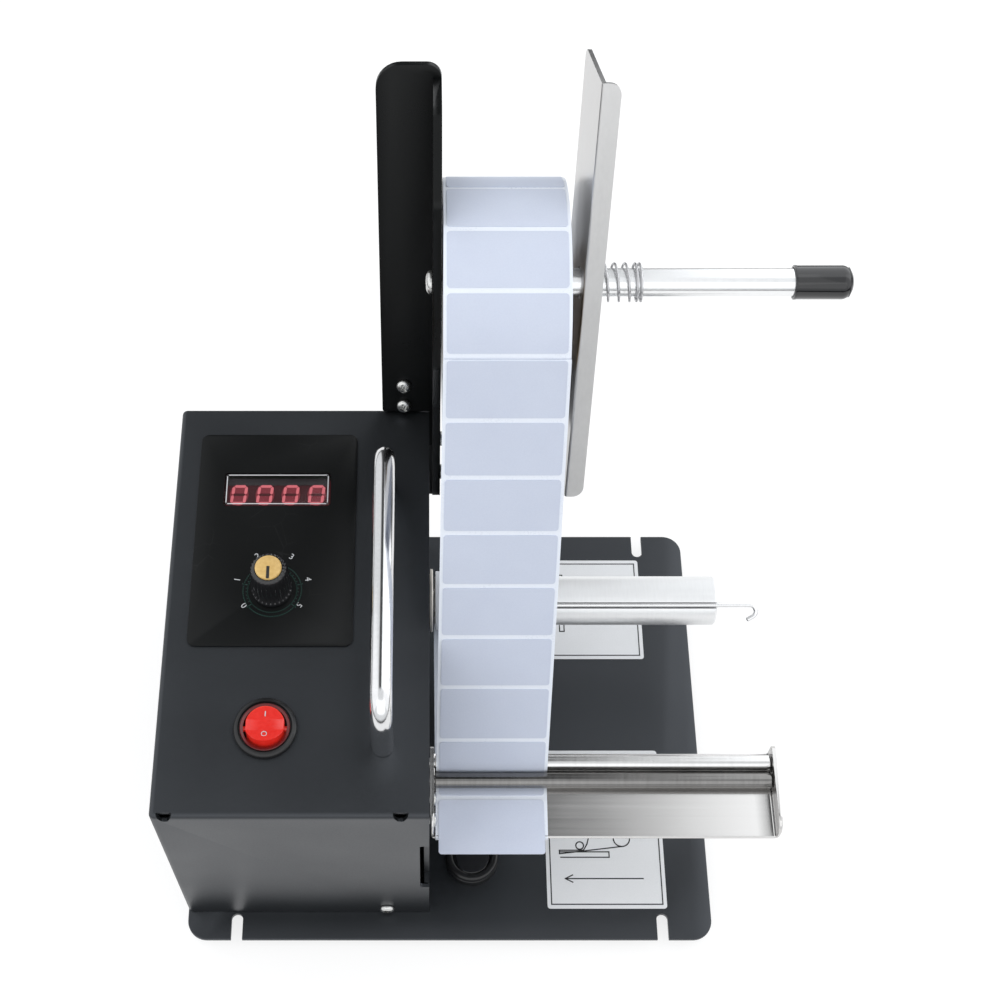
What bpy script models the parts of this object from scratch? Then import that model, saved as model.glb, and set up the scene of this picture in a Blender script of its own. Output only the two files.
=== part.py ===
"""Desktop label dispenser: construction model in Blender, metres, +Z up.

Design axes: X runs to the label side, Y to the rear, Z up. X is zero on the outer face
of the housing's right wall, Y on the base plate's front edge, Z on the base plate's top.
At the end the whole machine is moved so that it stands centred on the world origin.
"""

import math

import bmesh
import bpy
from mathutils import Matrix, Vector

# Clearances and mesh tolerances shared by all pieces
GAP = 0.0003
CUT_OVERRUN = 0.002
WELD = 0.00001
ROUND_STEPS = 24
SMALL_STEPS = 12
CORNER_STEPS = 4
WIRE_STEPS = 8
BEND_SEGMENTS = 2
SMOOTH_ANGLE = math.radians(35)
QUARTER = math.pi / 2
dome_shares = {"shoulder": 0.45, "crown": 0.72, "break": 0.88}

# Base plate
BASE_RIGHT = 0.1147
BASE_REAR_MARGIN = 0.005
BASE_THICK = 0.002
BASE_CORNER = 0.008
SLOT_WIDTH = 0.0046
SLOT_LENGTH = 0.0105
SLOT_SIDE_INSET = 0.020
TAB_WIDTH = 0.012
TAB_HEIGHT = 0.013
TAB_THICK = 0.0015
TAB_SCREW_HEIGHT = 0.0065

# Feet
FOOT_RADIUS = 0.008
FOOT_HEIGHT = 0.006
FOOT_TAPER = 0.001
FOOT_SIDE_INSET = 0.014
FOOT_END_INSET = 0.024

# Housing cover, folded from one sheet
HOUSING_FRONT = 0.0113
HOUSING_HEIGHT = 0.116
COVER_THICK = 0.0015
COVER_BEND = 0.002
RELIEF_WIDTH = 0.0073
RELIEF_DROP = 0.003
RELIEF_DEPTH = 0.0023
RELIEF_LEFT_INSET = 0.0017
RELIEF_RIGHT_INSET = 0.0064
NOTCH_DEPTH = 0.0035
NOTCH_LOW = 0.034
NOTCH_HIGH = 0.084
SIDE_TAB_INSET = 0.034
REAR_TAB_INSET = 0.017

# Right wall of the housing
WALL_THICK = 0.002
WALL_FOOT = 0.014
WALL_FOOT_SCREW_INSET = 0.030

# Control panel on the housing's top
PANEL_SIDE_MARGIN = 0.0089
PANEL_HANDLE_MARGIN = 0.0115
PANEL_REAR_MARGIN = 0.0126
OVERLAY_SWITCH_SPACE = 0.0322
OVERLAY_WIDTH = 0.061
OVERLAY_LENGTH = 0.091
OVERLAY_CORNER = 0.003
OVERLAY_THICK = 0.0005
WINDOW_WIDTH = 0.0404
WINDOW_LENGTH = 0.0141
WINDOW_INSET = 0.0662
WINDOW_CORNER = 0.0008
DISPLAY_WIDTH = 0.0402
DISPLAY_LENGTH = 0.0128
DISPLAY_HEIGHT = 0.0073
DIGIT_COUNT = 4
DIGIT_PITCH = 0.010
DIGIT_WIDTH = 0.0075
DIGIT_LENGTH = 0.0105
DIGIT_RECESS = 0.0004

# Speed control
DIAL_INSET = 0.0228
POT_RADIUS = 0.008
POT_BUSH_RADIUS = 0.0035
POT_BUSH_RISE = 0.005
POT_SHAFT_RADIUS = 0.0025
POT_SHAFT_RISE = 0.0125
POT_NUT_FLATS = 0.010
POT_NUT_THICK = 0.002
KNOB_RADIUS = 0.0075
KNOB_HEIGHT = 0.0175
KNOB_FLUTES = 14
KNOB_FLUTE_STEPS = 4
KNOB_FLUTE_DEPTH = 0.0004
KNOB_TAPER = 0.0006
KNOB_SKIRT_DEPTH = 0.005
KNOB_SKIRT_RADIUS = 0.0064
KNOB_CAP_RADIUS = 0.0049
KNOB_CAP_THICK = 0.0013
KNOB_CAP_SEAT = 0.0007
POINTER_WIDTH = 0.0009
POINTER_DEPTH = 0.0003

# Power switch
SWITCH_INSET = 0.0329
SWITCH_BEZEL_RADIUS = 0.0115
SWITCH_BEZEL_RISE = 0.0022
SWITCH_BARREL_RADIUS = 0.010
SWITCH_DEPTH = 0.017
SWITCH_WELL_RADIUS = 0.0082
ROCKER_RADIUS = 0.0073
ROCKER_WIDTH = 0.0138
ROCKER_RISE = 0.0042
ROCKER_DIP = 0.0014
ROCKER_TILT = math.radians(9)
ROCKER_PIN_RADIUS = 0.001
ROCKER_PIN_REACH = 0.0012
TERMINAL_WIDTH = 0.0048
TERMINAL_THICK = 0.0008
TERMINAL_LENGTH = 0.008
TERMINAL_PITCH = 0.0045
TERMINAL_COUNT = 3

# Electronics under the panel
BOARD_WIDTH = 0.056
BOARD_LENGTH = 0.078
BOARD_INSET = 0.0446
BOARD_THICK = 0.0016
BOARD_HOLE_INSET = 0.004
BOARD_HOLE_RADIUS = 0.0016
CHIP_WIDTH = 0.010
CHIP_HEIGHT = 0.0022
CAPACITOR_RADIUS = 0.004
CAPACITOR_HEIGHT = 0.009
COMPONENT_Y_INSET = 0.022

# Power inlet on the rear wall
JACK_SIDE_INSET = 0.023
JACK_Z = 0.030
JACK_RADIUS = 0.004
JACK_FLANGE_RADIUS = 0.0055
JACK_FLANGE_THICK = 0.0012
JACK_DEPTH = 0.014
JACK_SOCKET_RADIUS = 0.0032
JACK_SOCKET_DEPTH = 0.010
JACK_NUT_FLATS = 0.011
JACK_NUT_THICK = 0.002

# Carry handle
HANDLE_X = -0.0166
HANDLE_FRONT_INSET = 0.0262
HANDLE_PITCH = 0.105
HANDLE_ROD_RADIUS = 0.004
HANDLE_RISE = 0.032
HANDLE_BEND = 0.010
HANDLE_BEND_STEPS = 5
HANDLE_BORE_DEPTH = 0.012
HANDLE_SCREW_LENGTH = 0.009

# Screw sizes: shank radius, head radius and head height
SCREW_SHANK = 0.0014
SCREW_HEAD = 0.00295
SCREW_HEAD_RISE = 0.0022
SCREW_CLEARANCE = 0.0003
CLINCH_RADIUS = 0.0028
CLINCH_RISE = 0.0015
CLINCH_SINK = 0.0005
BIG_SHANK = 0.0019
BIG_HEAD = 0.0042
BIG_HEAD_RISE = 0.0027

# Roll arm: an L of black sheet that leans back behind the roll
ARM_LEAN = math.radians(19.8)
ARM_FOOT_SETBACK = 0.0003
ARM_FOOT_RISE = 0.0067
ARM_THICK = 0.003
ARM_STANDOFF = 0.0012
ARM_FLANGE_LEFT = 0.0185
ARM_TOP = 0.1432
ARM_FLANGE_BOTTOM = 0.0056
ARM_LEFT_CORNER = 0.009
ARM_RIGHT_CORNER = 0.005
ARM_DEPTH = 0.041
ARM_TOP_DEPTH = 0.022
ARM_SHOULDER = 0.112
ARM_WAIST_HIGH = 0.045
ARM_WAIST_LOW = 0.014
ARM_LEG_DEPTH = 0.022
ARM_LEG_BOTTOM = 0.0335
ARM_CORNER = 0.006
ARM_SCREW_X = -0.0099
ARM_SCREW_HIGH = 0.0072
ARM_SCREW_LOW = 0.0024
ARM_WALL_SCREW_DEPTH = 0.004
ARM_WALL_SCREW_DROP = 0.016
ARM_WALL_SCREW_STEP_BACK = 0.011
ARM_WALL_SCREW_STEP_DOWN = 0.008
LUG_WIDTH = 0.015
LUG_RIGHT_INSET = 0.003
LUG_THICK = 0.0015
LUG_BOTTOM = 0.012
LUG_TOP = 0.0125

# Reel shaft, square to the arm's side plate
SHAFT_SETBACK = 0.0033
SHAFT_RISE = 0.0808
SHAFT_RADIUS = 0.005
SHAFT_BORE_DEPTH = 0.014
SHAFT_SCREW_LENGTH = 0.014
SHAFT_CAP_START = 0.1275
SHAFT_CAP_END = 0.1486
SHAFT_CAP_WALL = 0.0008
SHAFT_CAP_DOME = 0.004
SHAFT_CHAMFER = 0.0005

# Label roll on its card core
LINER_LEFT = 0.0046
LINER_WIDTH = 0.043
LABEL_MARGIN = 0.0015
CORE_BORE_RADIUS = 0.020
CORE_WALL = 0.003
ROLL_RADIUS = 0.046
LINER_THICK = 0.0003
LABEL_THICK = 0.0003
LABEL_LENGTH = 0.0205
LABEL_PITCH = 0.0234
WEB_PHASE = 0.0217
WEB_BEND_STEPS = 8

# Baffle that the spring holds against the roll
BAFFLE_X = 0.0526
BAFFLE_THICK = 0.0015
BAFFLE_DEPTH = 0.039
BAFFLE_HOLE_BACK = 0.010
BAFFLE_FLANGE = 0.0067
BAFFLE_UP = 0.0748
BAFFLE_DOWN = 0.0827
BAFFLE_LEAN = math.radians(28)
BAFFLE_CANT = math.radians(1.9)
BAFFLE_YAW = math.radians(3)
BAFFLE_CORNER = 0.004
BAFFLE_HOLE_SLACK = 0.0012
WASHER_RADIUS = 0.0072
WASHER_THICK = 0.001

# Wire spring
SPRING_WIRE_RADIUS = 0.00045
SPRING_COIL_RADIUS = 0.0066
SPRING_END = 0.0752
SPRING_OPEN_TURNS = 4
SPRING_CLOSED_TURNS = 2
SPRING_CLOSED_PITCH = 0.0015
SPRING_POINTS_PER_TURN = 10

# Peel platform and its two rods
PLATFORM_END = 0.134
PLATFORM_FRONT = 0.024
PLATFORM_REAR = 0.058
PLATFORM_THICK = 0.0015
CHEEK_RISE = 0.0087
CHEEK_CORNER = 0.006
ROD_RADIUS = 0.003
ROD_SPIGOT_RADIUS = 0.002
PRESS_ROD_Y = 0.0455
PRESS_ROD_Z = 0.060
PLATFORM_SCREW_FRONT_INSET = 0.0055
PLATFORM_SCREW_PITCH = 0.0085
DISPENSED_OVERHANG = 0.0068

# Take-up shaft that winds the waste liner
TAKEUP_Y = 0.1253
TAKEUP_Z = 0.055
TAKEUP_RADIUS = 0.010
TAKEUP_START = 0.0022
TAKEUP_END = 0.1173
TAKEUP_JOURNAL = 0.004
TAKEUP_JOURNAL_REACH = 0.026
TAKEUP_CHAMFER = 0.0008
WOUND_THICK = 0.0018
BEARING_RADIUS = 0.011
BEARING_FLANGE_RADIUS = 0.013
BEARING_FLANGE_THICK = 0.0012
BEARING_DEPTH = 0.008

# Wire clip that holds the liner on the take-up shaft
CLIP_WIRE_RADIUS = 0.001
CLIP_ANGLE = math.radians(38)
CLIP_START = 0.006
CLIP_STRAIGHT_END = 0.1306
CLIP_HOOK_RADIUS = 0.0026
CLIP_HOOK_STEPS = 6
CLIP_HOOK_TURN = math.radians(150)
CLIP_TAIL = 0.0025

# Belt drive inside the housing
PULLEY_START = 0.0175
PULLEY_WIDTH = 0.007
PULLEY_RIM = 0.001
PULLEY_RIM_RISE = 0.0015
TAKEUP_PULLEY_RADIUS = 0.012
MOTOR_PULLEY_RADIUS = 0.008
BELT_THICK = 0.0012
BELT_WIDTH = 0.0055
PULLEY_PITCH = 0.0503
MOTOR_FACE = 0.0296
GEARBOX_RADIUS = 0.0185
GEARBOX_LENGTH = 0.024
MOTOR_RADIUS = 0.0165
MOTOR_LENGTH = 0.032
MOTOR_BOSS_RADIUS = 0.006
MOTOR_BOSS_LENGTH = 0.003
MOTOR_SHAFT_RADIUS = 0.003
MOTOR_SHAFT_DEPTH = 0.012
MOTOR_SCREW_CIRCLE = 0.0155
BRACKET_THICK = 0.002
BRACKET_WIDTH = 0.046
BRACKET_FOOT = 0.024

# Label sensor on the base, looking up under the label tip
SENSOR_X = 0.0174
SENSOR_Y = 0.0326
SENSOR_RADIUS = 0.0107
SENSOR_HEIGHT = 0.008
SENSOR_LIP = 0.001
SENSOR_LENS_RADIUS = 0.0076
SENSOR_LENS_THICK = 0.0016
SENSOR_STEM_RADIUS = 0.0037
SENSOR_NUT_FLATS = 0.012
SENSOR_NUT_THICK = 0.003


# Sizes that follow from the ones above
SWITCH_Y = HOUSING_FRONT + SWITCH_INSET
OVERLAY_FRONT = SWITCH_Y + OVERLAY_SWITCH_SPACE
HOUSING_REAR = OVERLAY_FRONT + OVERLAY_LENGTH + PANEL_REAR_MARGIN
BASE_DEPTH = HOUSING_REAR + BASE_REAR_MARGIN
PANEL_X = HANDLE_X - PANEL_HANDLE_MARGIN - OVERLAY_WIDTH / 2
BASE_LEFT = OVERLAY_WIDTH / 2 + PANEL_SIDE_MARGIN - PANEL_X
DIAL_Y = OVERLAY_FRONT + DIAL_INSET
WINDOW_Y = OVERLAY_FRONT + WINDOW_INSET
BOARD_Y = OVERLAY_FRONT + BOARD_INSET
JACK_X = JACK_SIDE_INSET - BASE_LEFT
HANDLE_FRONT_Y = HOUSING_FRONT + HANDLE_FRONT_INSET
ARM_FOOT_Y = HOUSING_REAR - ARM_FOOT_SETBACK
ARM_FOOT_Z = HOUSING_HEIGHT + ARM_FOOT_RISE
SHAFT_Y = ARM_FOOT_Y - SHAFT_SETBACK
SHAFT_Z = ARM_FOOT_Z + SHAFT_RISE
MOTOR_Y = TAKEUP_Y - PULLEY_PITCH
COVER_INSIDE_TOP = HOUSING_HEIGHT - COVER_THICK
OVERLAY_BOTTOM = HOUSING_HEIGHT + GAP
OVERLAY_TOP = OVERLAY_BOTTOM + OVERLAY_THICK
BOARD_TOP = COVER_INSIDE_TOP - GAP - DISPLAY_HEIGHT - GAP
BOARD_BOTTOM = BOARD_TOP - BOARD_THICK
ARM_INNER = ARM_STANDOFF
ARM_OUTER = ARM_STANDOFF + ARM_THICK
SHAFT_START = ARM_OUTER + GAP
ROLL_RIGHT = LINER_LEFT + LINER_WIDTH
ROLL_Z = SHAFT_Z - (CORE_BORE_RADIUS - SHAFT_RADIUS - GAP)
WEB_THICK = LINER_THICK + LABEL_THICK
GUIDE_TURN = ROD_RADIUS + GAP
PRESS_TURN = ROD_RADIUS + GAP + WEB_THICK
GUIDE_ROD_Y = PRESS_ROD_Y + PRESS_TURN + GUIDE_TURN
PATH_Z = PRESS_ROD_Z - PRESS_TURN
PLATFORM_TOP = PATH_Z - GAP
PLATFORM_BOTTOM = PLATFORM_TOP - PLATFORM_THICK
PEEL_TURN = PLATFORM_THICK / 2 + GAP
TAKEUP_TURN = TAKEUP_RADIUS + GAP + WOUND_THICK + GAP


def make_material(name, colour, roughness, metallic):
    """Return a Principled material with one colour."""
    material = bpy.data.materials.new(name)
    material.use_nodes = True
    shader = material.node_tree.nodes["Principled BSDF"]
    shader.inputs["Base Color"].default_value = (*colour, 1)
    shader.inputs["Roughness"].default_value = roughness
    shader.inputs["Metallic"].default_value = metallic
    return material


def make_materials():
    """Return the finishes of all pieces by name."""
    table = {
        "black_paint": ((0.018, 0.020, 0.023), 0.42, 0.0),
        "steel": ((0.62, 0.61, 0.59), 0.32, 1.0),
        "chrome": ((0.80, 0.80, 0.80), 0.08, 1.0),
        "zinc": ((0.55, 0.55, 0.54), 0.35, 1.0),
        "aluminium": ((0.78, 0.78, 0.77), 0.30, 1.0),
        "rubber": ((0.02, 0.02, 0.02), 0.8, 0.0),
        "black_plastic": ((0.02, 0.02, 0.02), 0.35, 0.0),
        "gloss_black": ((0.01, 0.01, 0.01), 0.15, 0.0),
        "red_lens": ((0.75, 0.02, 0.02), 0.2, 0.0),
        "cream_plastic": ((0.85, 0.62, 0.20), 0.4, 0.0),
        "smoked_red": ((0.10, 0.01, 0.01), 0.1, 0.0),
        "label_paper": ((0.72, 0.75, 0.82), 0.5, 0.0),
        "liner_paper": ((0.86, 0.87, 0.88), 0.4, 0.0),
        "card": ((0.55, 0.42, 0.28), 0.8, 0.0),
        "board_green": ((0.02, 0.20, 0.08), 0.4, 0.0),
        "bronze": ((0.45, 0.32, 0.16), 0.4, 1.0),
    }
    return {name: make_material(name, *values) for name, values in table.items()}


def clear_scene():
    """Remove every object that is in the scene."""
    for item in list(bpy.data.objects):
        bpy.data.objects.remove(item, do_unlink=True)


class Builder:
    """Makes objects under one frame empty, with shared materials."""

    def __init__(self):
        self.materials = make_materials()
        self.frame = bpy.data.objects.new("machine_frame", None)
        bpy.context.collection.objects.link(self.frame)

    def piece(self, name, mesh, material, origin=None):
        """Add a finished mesh as a named piece, with its origin on its joint's axis."""
        item = bpy.data.objects.new(name, mesh)
        bpy.context.collection.objects.link(item)
        item.parent = self.frame
        mesh.materials.clear()
        mesh.materials.append(self.materials[material])
        if origin is not None:
            mesh.transform(Matrix.Translation(-Vector(origin)))
            item.location = origin
        mesh.shade_smooth()
        mesh.set_sharp_from_angle(angle=SMOOTH_ANGLE)
        return item

    def tool(self, name, mesh):
        """Add a mesh that only cuts or joins, and is not a piece itself."""
        item = bpy.data.objects.new(name, mesh)
        bpy.context.collection.objects.link(item)
        item.parent = self.frame
        item.hide_render = True
        item.display_type = "WIRE"
        return item

    def combine(self, target, operation, mesh):
        """Cut the target with a mesh, or join the mesh to it."""
        label = f"{target.name}_{operation.lower()}_{len(target.modifiers)}"
        modifier = target.modifiers.new(label, "BOOLEAN")
        modifier.operation = operation
        modifier.solver = "EXACT"
        modifier.object = self.tool(label, mesh)
        return target

    def cut(self, target, mesh):
        """Take a mesh's volume out of the target."""
        return self.combine(target, "DIFFERENCE", mesh)

    def join(self, target, mesh):
        """Add a mesh's volume to the target."""
        return self.combine(target, "UNION", mesh)


def mesh_from(bm, name):
    """Turn a bmesh into a mesh whose faces point out."""
    bmesh.ops.recalc_face_normals(bm, faces=bm.faces)
    if bm.calc_volume(signed=True) < 0:
        bmesh.ops.reverse_faces(bm, faces=bm.faces)
    mesh = bpy.data.meshes.new(name)
    bm.to_mesh(mesh)
    bm.free()
    return mesh


def on_axis(axis, along, first, second):
    """Place a point of an outline: X takes (y, z), Y takes (x, z), Z takes (x, y)."""
    if axis == "X":
        return Vector((along, first, second))
    if axis == "Y":
        return Vector((first, along, second))
    return Vector((first, second, along))


def add_prism(bm, outline, low, high, axis="Z"):
    """Add the solid that an outline sweeps from low to high along an axis."""
    bottom = [bm.verts.new(on_axis(axis, low, *point)) for point in outline]
    top = [bm.verts.new(on_axis(axis, high, *point)) for point in outline]
    bm.faces.new(bottom)
    bm.faces.new(list(reversed(top)))
    count = len(outline)
    for index in range(count):
        following = (index + 1) % count
        bm.faces.new((bottom[following], bottom[index], top[index], top[following]))


def prism(outline, low, high, axis="Z"):
    """Return a prism as a mesh."""
    bm = bmesh.new()
    add_prism(bm, outline, low, high, axis)
    return mesh_from(bm, "prism")


def box(low, high):
    """Return a box between two corners as a mesh."""
    bm = bmesh.new()
    add_box(bm, low, high)
    return mesh_from(bm, "box")


def add_box(bm, low, high):
    """Add a box between two corners."""
    add_prism(bm, rectangle(low[0], low[1], high[0], high[1]), low[2], high[2])


def rectangle(left, front, right, rear):
    """Return a rectangle's four corners."""
    return [(left, front), (right, front), (right, rear), (left, rear)]


def rounded(corners, radii, steps=CORNER_STEPS):
    """Round each corner of an outline with an arc of its own radius."""
    points = []
    count = len(corners)
    for index, (corner, radius) in enumerate(zip(corners, radii)):
        here = Vector(corner)
        before = (Vector(corners[index - 1]) - here).normalized()
        after = (Vector(corners[(index + 1) % count]) - here).normalized()
        if radius == 0:
            points.append(tuple(here))
            continue
        half = before.angle(after) / 2
        start = here + before * (radius / math.tan(half))
        bisector = (before + after).normalized()
        centre = here + bisector * (radius / math.sin(half))
        arm = start - centre
        turn = math.pi - 2 * half
        side = 1 if before.x * after.y - before.y * after.x < 0 else -1
        for step in range(steps + 1):
            angle = side * turn * step / steps
            spun = Matrix.Rotation(angle, 2) @ arm
            points.append(tuple(centre + spun))
    return points


def rounded_rectangle(left, front, right, rear, radius):
    """Return a rectangle's outline with equal rounded corners."""
    corners = rectangle(left, front, right, rear)
    return rounded(corners, [radius] * len(corners))


def circle(radius, centre=(0, 0), steps=ROUND_STEPS):
    """Return a circle's outline."""
    turns = [2 * math.pi * step / steps for step in range(steps)]
    return [(centre[0] + radius * math.cos(t), centre[1] + radius * math.sin(t)) for t in turns]


def hexagon(flats, centre=(0, 0)):
    """Return a hexagon's outline from its width across flats."""
    corner_radius = flats / 2 / math.cos(math.pi / 6)
    return circle(corner_radius, centre, 6)


def slot(width, start, end):
    """Return the outline of a straight slot with round ends along Y, about X zero."""
    half = width / 2
    corners = rectangle(-half, start - half, half, end + half)
    return rounded(corners, [half - WELD] * len(corners))


def aim(origin, direction):
    """Return the matrix that sets +Z along a direction at a point."""
    turn = Vector((0, 0, 1)).rotation_difference(Vector(direction))
    return Matrix.Translation(Vector(origin)) @ turn.to_matrix().to_4x4()


def add_turned(bm, profile, place, steps=ROUND_STEPS, closed=False):
    """Add a solid of revolution from (height, radius) pairs about the placed +Z."""
    rings = []
    for height, radius in profile:
        if radius == 0:
            rings.append([bm.verts.new(place @ Vector((0, 0, height)))])
            continue
        ring = [bm.verts.new(place @ Vector((x, y, height))) for x, y in circle(radius, steps=steps)]
        rings.append(ring)
    pairs = list(zip(rings, rings[1:]))
    if closed:
        pairs.append((rings[-1], rings[0]))
    for lower, upper in pairs:
        for index in range(steps):
            following = (index + 1) % steps
            corners = [lower[index % len(lower)], lower[following % len(lower)]]
            corners += [upper[following % len(upper)], upper[index % len(upper)]]
            bm.faces.new(list(dict.fromkeys(corners)))


def turned(profile, place, steps=ROUND_STEPS, closed=False):
    """Return a solid of revolution as a mesh."""
    bm = bmesh.new()
    add_turned(bm, profile, place, steps, closed)
    return mesh_from(bm, "turned")


def rod_profile(start, end, radius, chamfer=0.0):
    """Return the profile of a round bar with chamfered ends."""
    if chamfer == 0:
        return [(start, 0), (start, radius), (end, radius), (end, 0)]
    inner = radius - chamfer
    head = [(start, 0), (start, inner), (start + chamfer, radius)]
    return head + [(end - chamfer, radius), (end, inner), (end, 0)]


def ring_profile(start, end, inner, outer):
    """Return the closed profile of a plain ring."""
    return [(start, inner), (start, outer), (end, outer), (end, inner)]


def bar(start, end, radius, place, steps=ROUND_STEPS):
    """Return a plain round bar, also used as a drill."""
    return turned(rod_profile(start, end, radius), place, steps)


def pan_head_profile(shank_radius, length, head_radius, head_rise):
    """Return a pan-head screw's profile: the shank runs down from zero."""
    shoulder = head_rise * dome_shares["shoulder"]
    crown = head_radius * dome_shares["crown"]
    shank = [(-length, 0), (-length, shank_radius), (0, shank_radius), (0, head_radius)]
    dome = [(shoulder, head_radius), (head_rise * dome_shares["break"], crown), (head_rise, 0)]
    return shank + dome


def screw(seat, direction, length, shank=SCREW_SHANK, head=SCREW_HEAD, rise=SCREW_HEAD_RISE):
    """Return a pan-head screw whose head stands a gap above its seat."""
    lift = Vector(direction).normalized() * GAP
    profile = pan_head_profile(shank, length, head, rise)
    return turned(profile, aim(Vector(seat) + lift, direction), SMALL_STEPS)


def clinch_nuts(places):
    """Return the round clinch nuts that are pressed into a sheet, at placed frames."""
    bm = bmesh.new()
    for place in places:
        add_turned(bm, rod_profile(-CLINCH_SINK, CLINCH_RISE, CLINCH_RADIUS), place, SMALL_STEPS)
    return mesh_from(bm, "clinch_nuts")


def drill_points(seats, direction, reach, radius):
    """Return one mesh that drills both ways through each seat."""
    bm = bmesh.new()
    for seat in seats:
        add_turned(bm, rod_profile(-reach, reach, radius), aim(seat, direction), SMALL_STEPS)
    return mesh_from(bm, "drills")


def sweep(points, radius, steps):
    """Return a round bar that follows points with square ends."""
    bm = bmesh.new()
    rings = []
    side = None
    for index, point in enumerate(points):
        before = points[max(index - 1, 0)]
        after = points[min(index + 1, len(points) - 1)]
        heading = (after - before).normalized()
        if side is None:
            side = heading.orthogonal().normalized()
        side = (side - heading * side.dot(heading)).normalized()
        other = heading.cross(side)
        ring = [bm.verts.new(point + side * x + other * y) for x, y in circle(radius, steps=steps)]
        rings.append(ring)
    bm.faces.new(list(reversed(rings[0])))
    bm.faces.new(rings[-1])
    for lower, upper in zip(rings, rings[1:]):
        for index in range(steps):
            following = (index + 1) % steps
            bm.faces.new((lower[index], lower[following], upper[following], upper[index]))
    return mesh_from(bm, "sweep")


def arc_points(centre, radius, start, end, steps):
    """Return points along an arc in the plane of Y and Z."""
    points = []
    for step in range(steps + 1):
        angle = start + (end - start) * step / steps
        points.append(centre + Vector((math.cos(angle), math.sin(angle))) * radius)
    return points


def tangent_normal(first, first_radius, second, second_radius, side):
    """Return the unit normal of a line that touches two circles on one side."""
    span = second - first
    along = span.normalized()
    cosine = (first_radius - second_radius) / span.length
    across = Vector((-along.y, along.x)) * side
    return along * cosine + across * math.sqrt(1 - cosine * cosine)


def ribbon(path, inner, outer, lefts, rights):
    """Return a strip of even thickness: a path in Y and Z, widened along X."""
    bm = bmesh.new()
    rings = []
    for index, point in enumerate(path):
        before = path[max(index - 1, 0)]
        after = path[min(index + 1, len(path) - 1)]
        heading = (after - before).normalized()
        normal = Vector((heading.y, -heading.x))
        low = point + normal * inner
        high = point + normal * outer
        left = lefts[index]
        right = rights[index]
        ring = [(left, *low), (right, *low), (right, *high), (left, *high)]
        rings.append([bm.verts.new(corner) for corner in ring])
    bm.faces.new(list(reversed(rings[0])))
    bm.faces.new(rings[-1])
    for lower, upper in zip(rings, rings[1:]):
        for index in range(4):
            following = (index + 1) % 4
            bm.faces.new((lower[index], lower[following], upper[following], upper[index]))
    return mesh_from(bm, "ribbon")


def straight_ribbon(path, inner, outer, left, right):
    """Return a strip with the same edges all along its path."""
    return ribbon(path, inner, outer, [left] * len(path), [right] * len(path))


def stretch(path, start, end):
    """Return the part of a path between two distances along it."""
    points = []
    travelled = 0
    for first, second in zip(path, path[1:]):
        length = (second - first).length
        for mark in (start, end):
            if travelled <= mark < travelled + length:
                points.append((mark, first.lerp(second, (mark - travelled) / length)))
        travelled += length
        if start < travelled < end:
            points.append((travelled, second))
    points.sort(key=lambda entry: entry[0])
    return [point for _, point in points]


def path_length(path):
    """Return a path's length."""
    return sum((second - first).length for first, second in zip(path, path[1:]))


def build_base(build):
    """Base plate with upturned tabs, four edge slots and its rubber feet."""
    outline = rounded_rectangle(-BASE_LEFT, 0, BASE_RIGHT, BASE_DEPTH, BASE_CORNER)
    plate = build.piece("base_plate", prism(outline, -BASE_THICK, 0), "black_paint")
    tabs = bmesh.new()
    for low, high in tab_boxes():
        add_box(tabs, low, high)
    build.join(plate, mesh_from(tabs, "tabs"))
    slots = bmesh.new()
    for x in (-BASE_LEFT + SLOT_SIDE_INSET, BASE_RIGHT - SLOT_SIDE_INSET):
        for end in (0, 1):
            shape = slot(SLOT_WIDTH, -SLOT_LENGTH, SLOT_LENGTH - SLOT_WIDTH / 2)
            placed = [(x + px, py if end == 0 else BASE_DEPTH - py) for px, py in shape]
            add_prism(slots, placed, -BASE_THICK - CUT_OVERRUN, CUT_OVERRUN)
    build.cut(plate, mesh_from(slots, "slots"))
    for direction, seats in cover_screw_seats().items():
        build.cut(plate, drill_points(seats, direction, TAB_THICK * 3, SCREW_SHANK + SCREW_CLEARANCE))
    drills = wall_foot_seats()
    build.cut(plate, drill_points(drills, (0, 0, 1), WALL_THICK * 4, SCREW_SHANK + SCREW_CLEARANCE))
    sensor_drill = bar(-SENSOR_HEIGHT, SENSOR_HEIGHT, SENSOR_STEM_RADIUS + GAP, sensor_place())
    build.cut(plate, sensor_drill)
    top = -BASE_THICK - GAP
    low_radius = FOOT_RADIUS - FOOT_TAPER
    profile = [(top - FOOT_HEIGHT, 0), (top - FOOT_HEIGHT, low_radius), (top, FOOT_RADIUS), (top, 0)]
    sides = {"left": -BASE_LEFT + FOOT_SIDE_INSET, "right": BASE_RIGHT - FOOT_SIDE_INSET}
    ends = {"front": FOOT_END_INSET, "rear": BASE_DEPTH - FOOT_END_INSET}
    for side, x in sides.items():
        for end, y in ends.items():
            foot = turned(profile, Matrix.Translation((x, y, 0)), SMALL_STEPS)
            build.piece(f"foot_{end}_{side}", foot, "rubber")


def cover_screw_seats():
    """Return the cover's screw seats on the outer wall faces, by outward direction."""
    height = TAB_SCREW_HEIGHT
    inset = SIDE_TAB_INSET
    left = [(-BASE_LEFT, HOUSING_FRONT + inset, height), (-BASE_LEFT, HOUSING_REAR - inset, height)]
    front = [(-REAR_TAB_INSET, HOUSING_FRONT, height)]
    rear = [(-REAR_TAB_INSET, HOUSING_REAR, height), (-BASE_LEFT + REAR_TAB_INSET, HOUSING_REAR, height)]
    return {(-1, 0, 0): left, (0, -1, 0): front, (0, 1, 0): rear}


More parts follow.
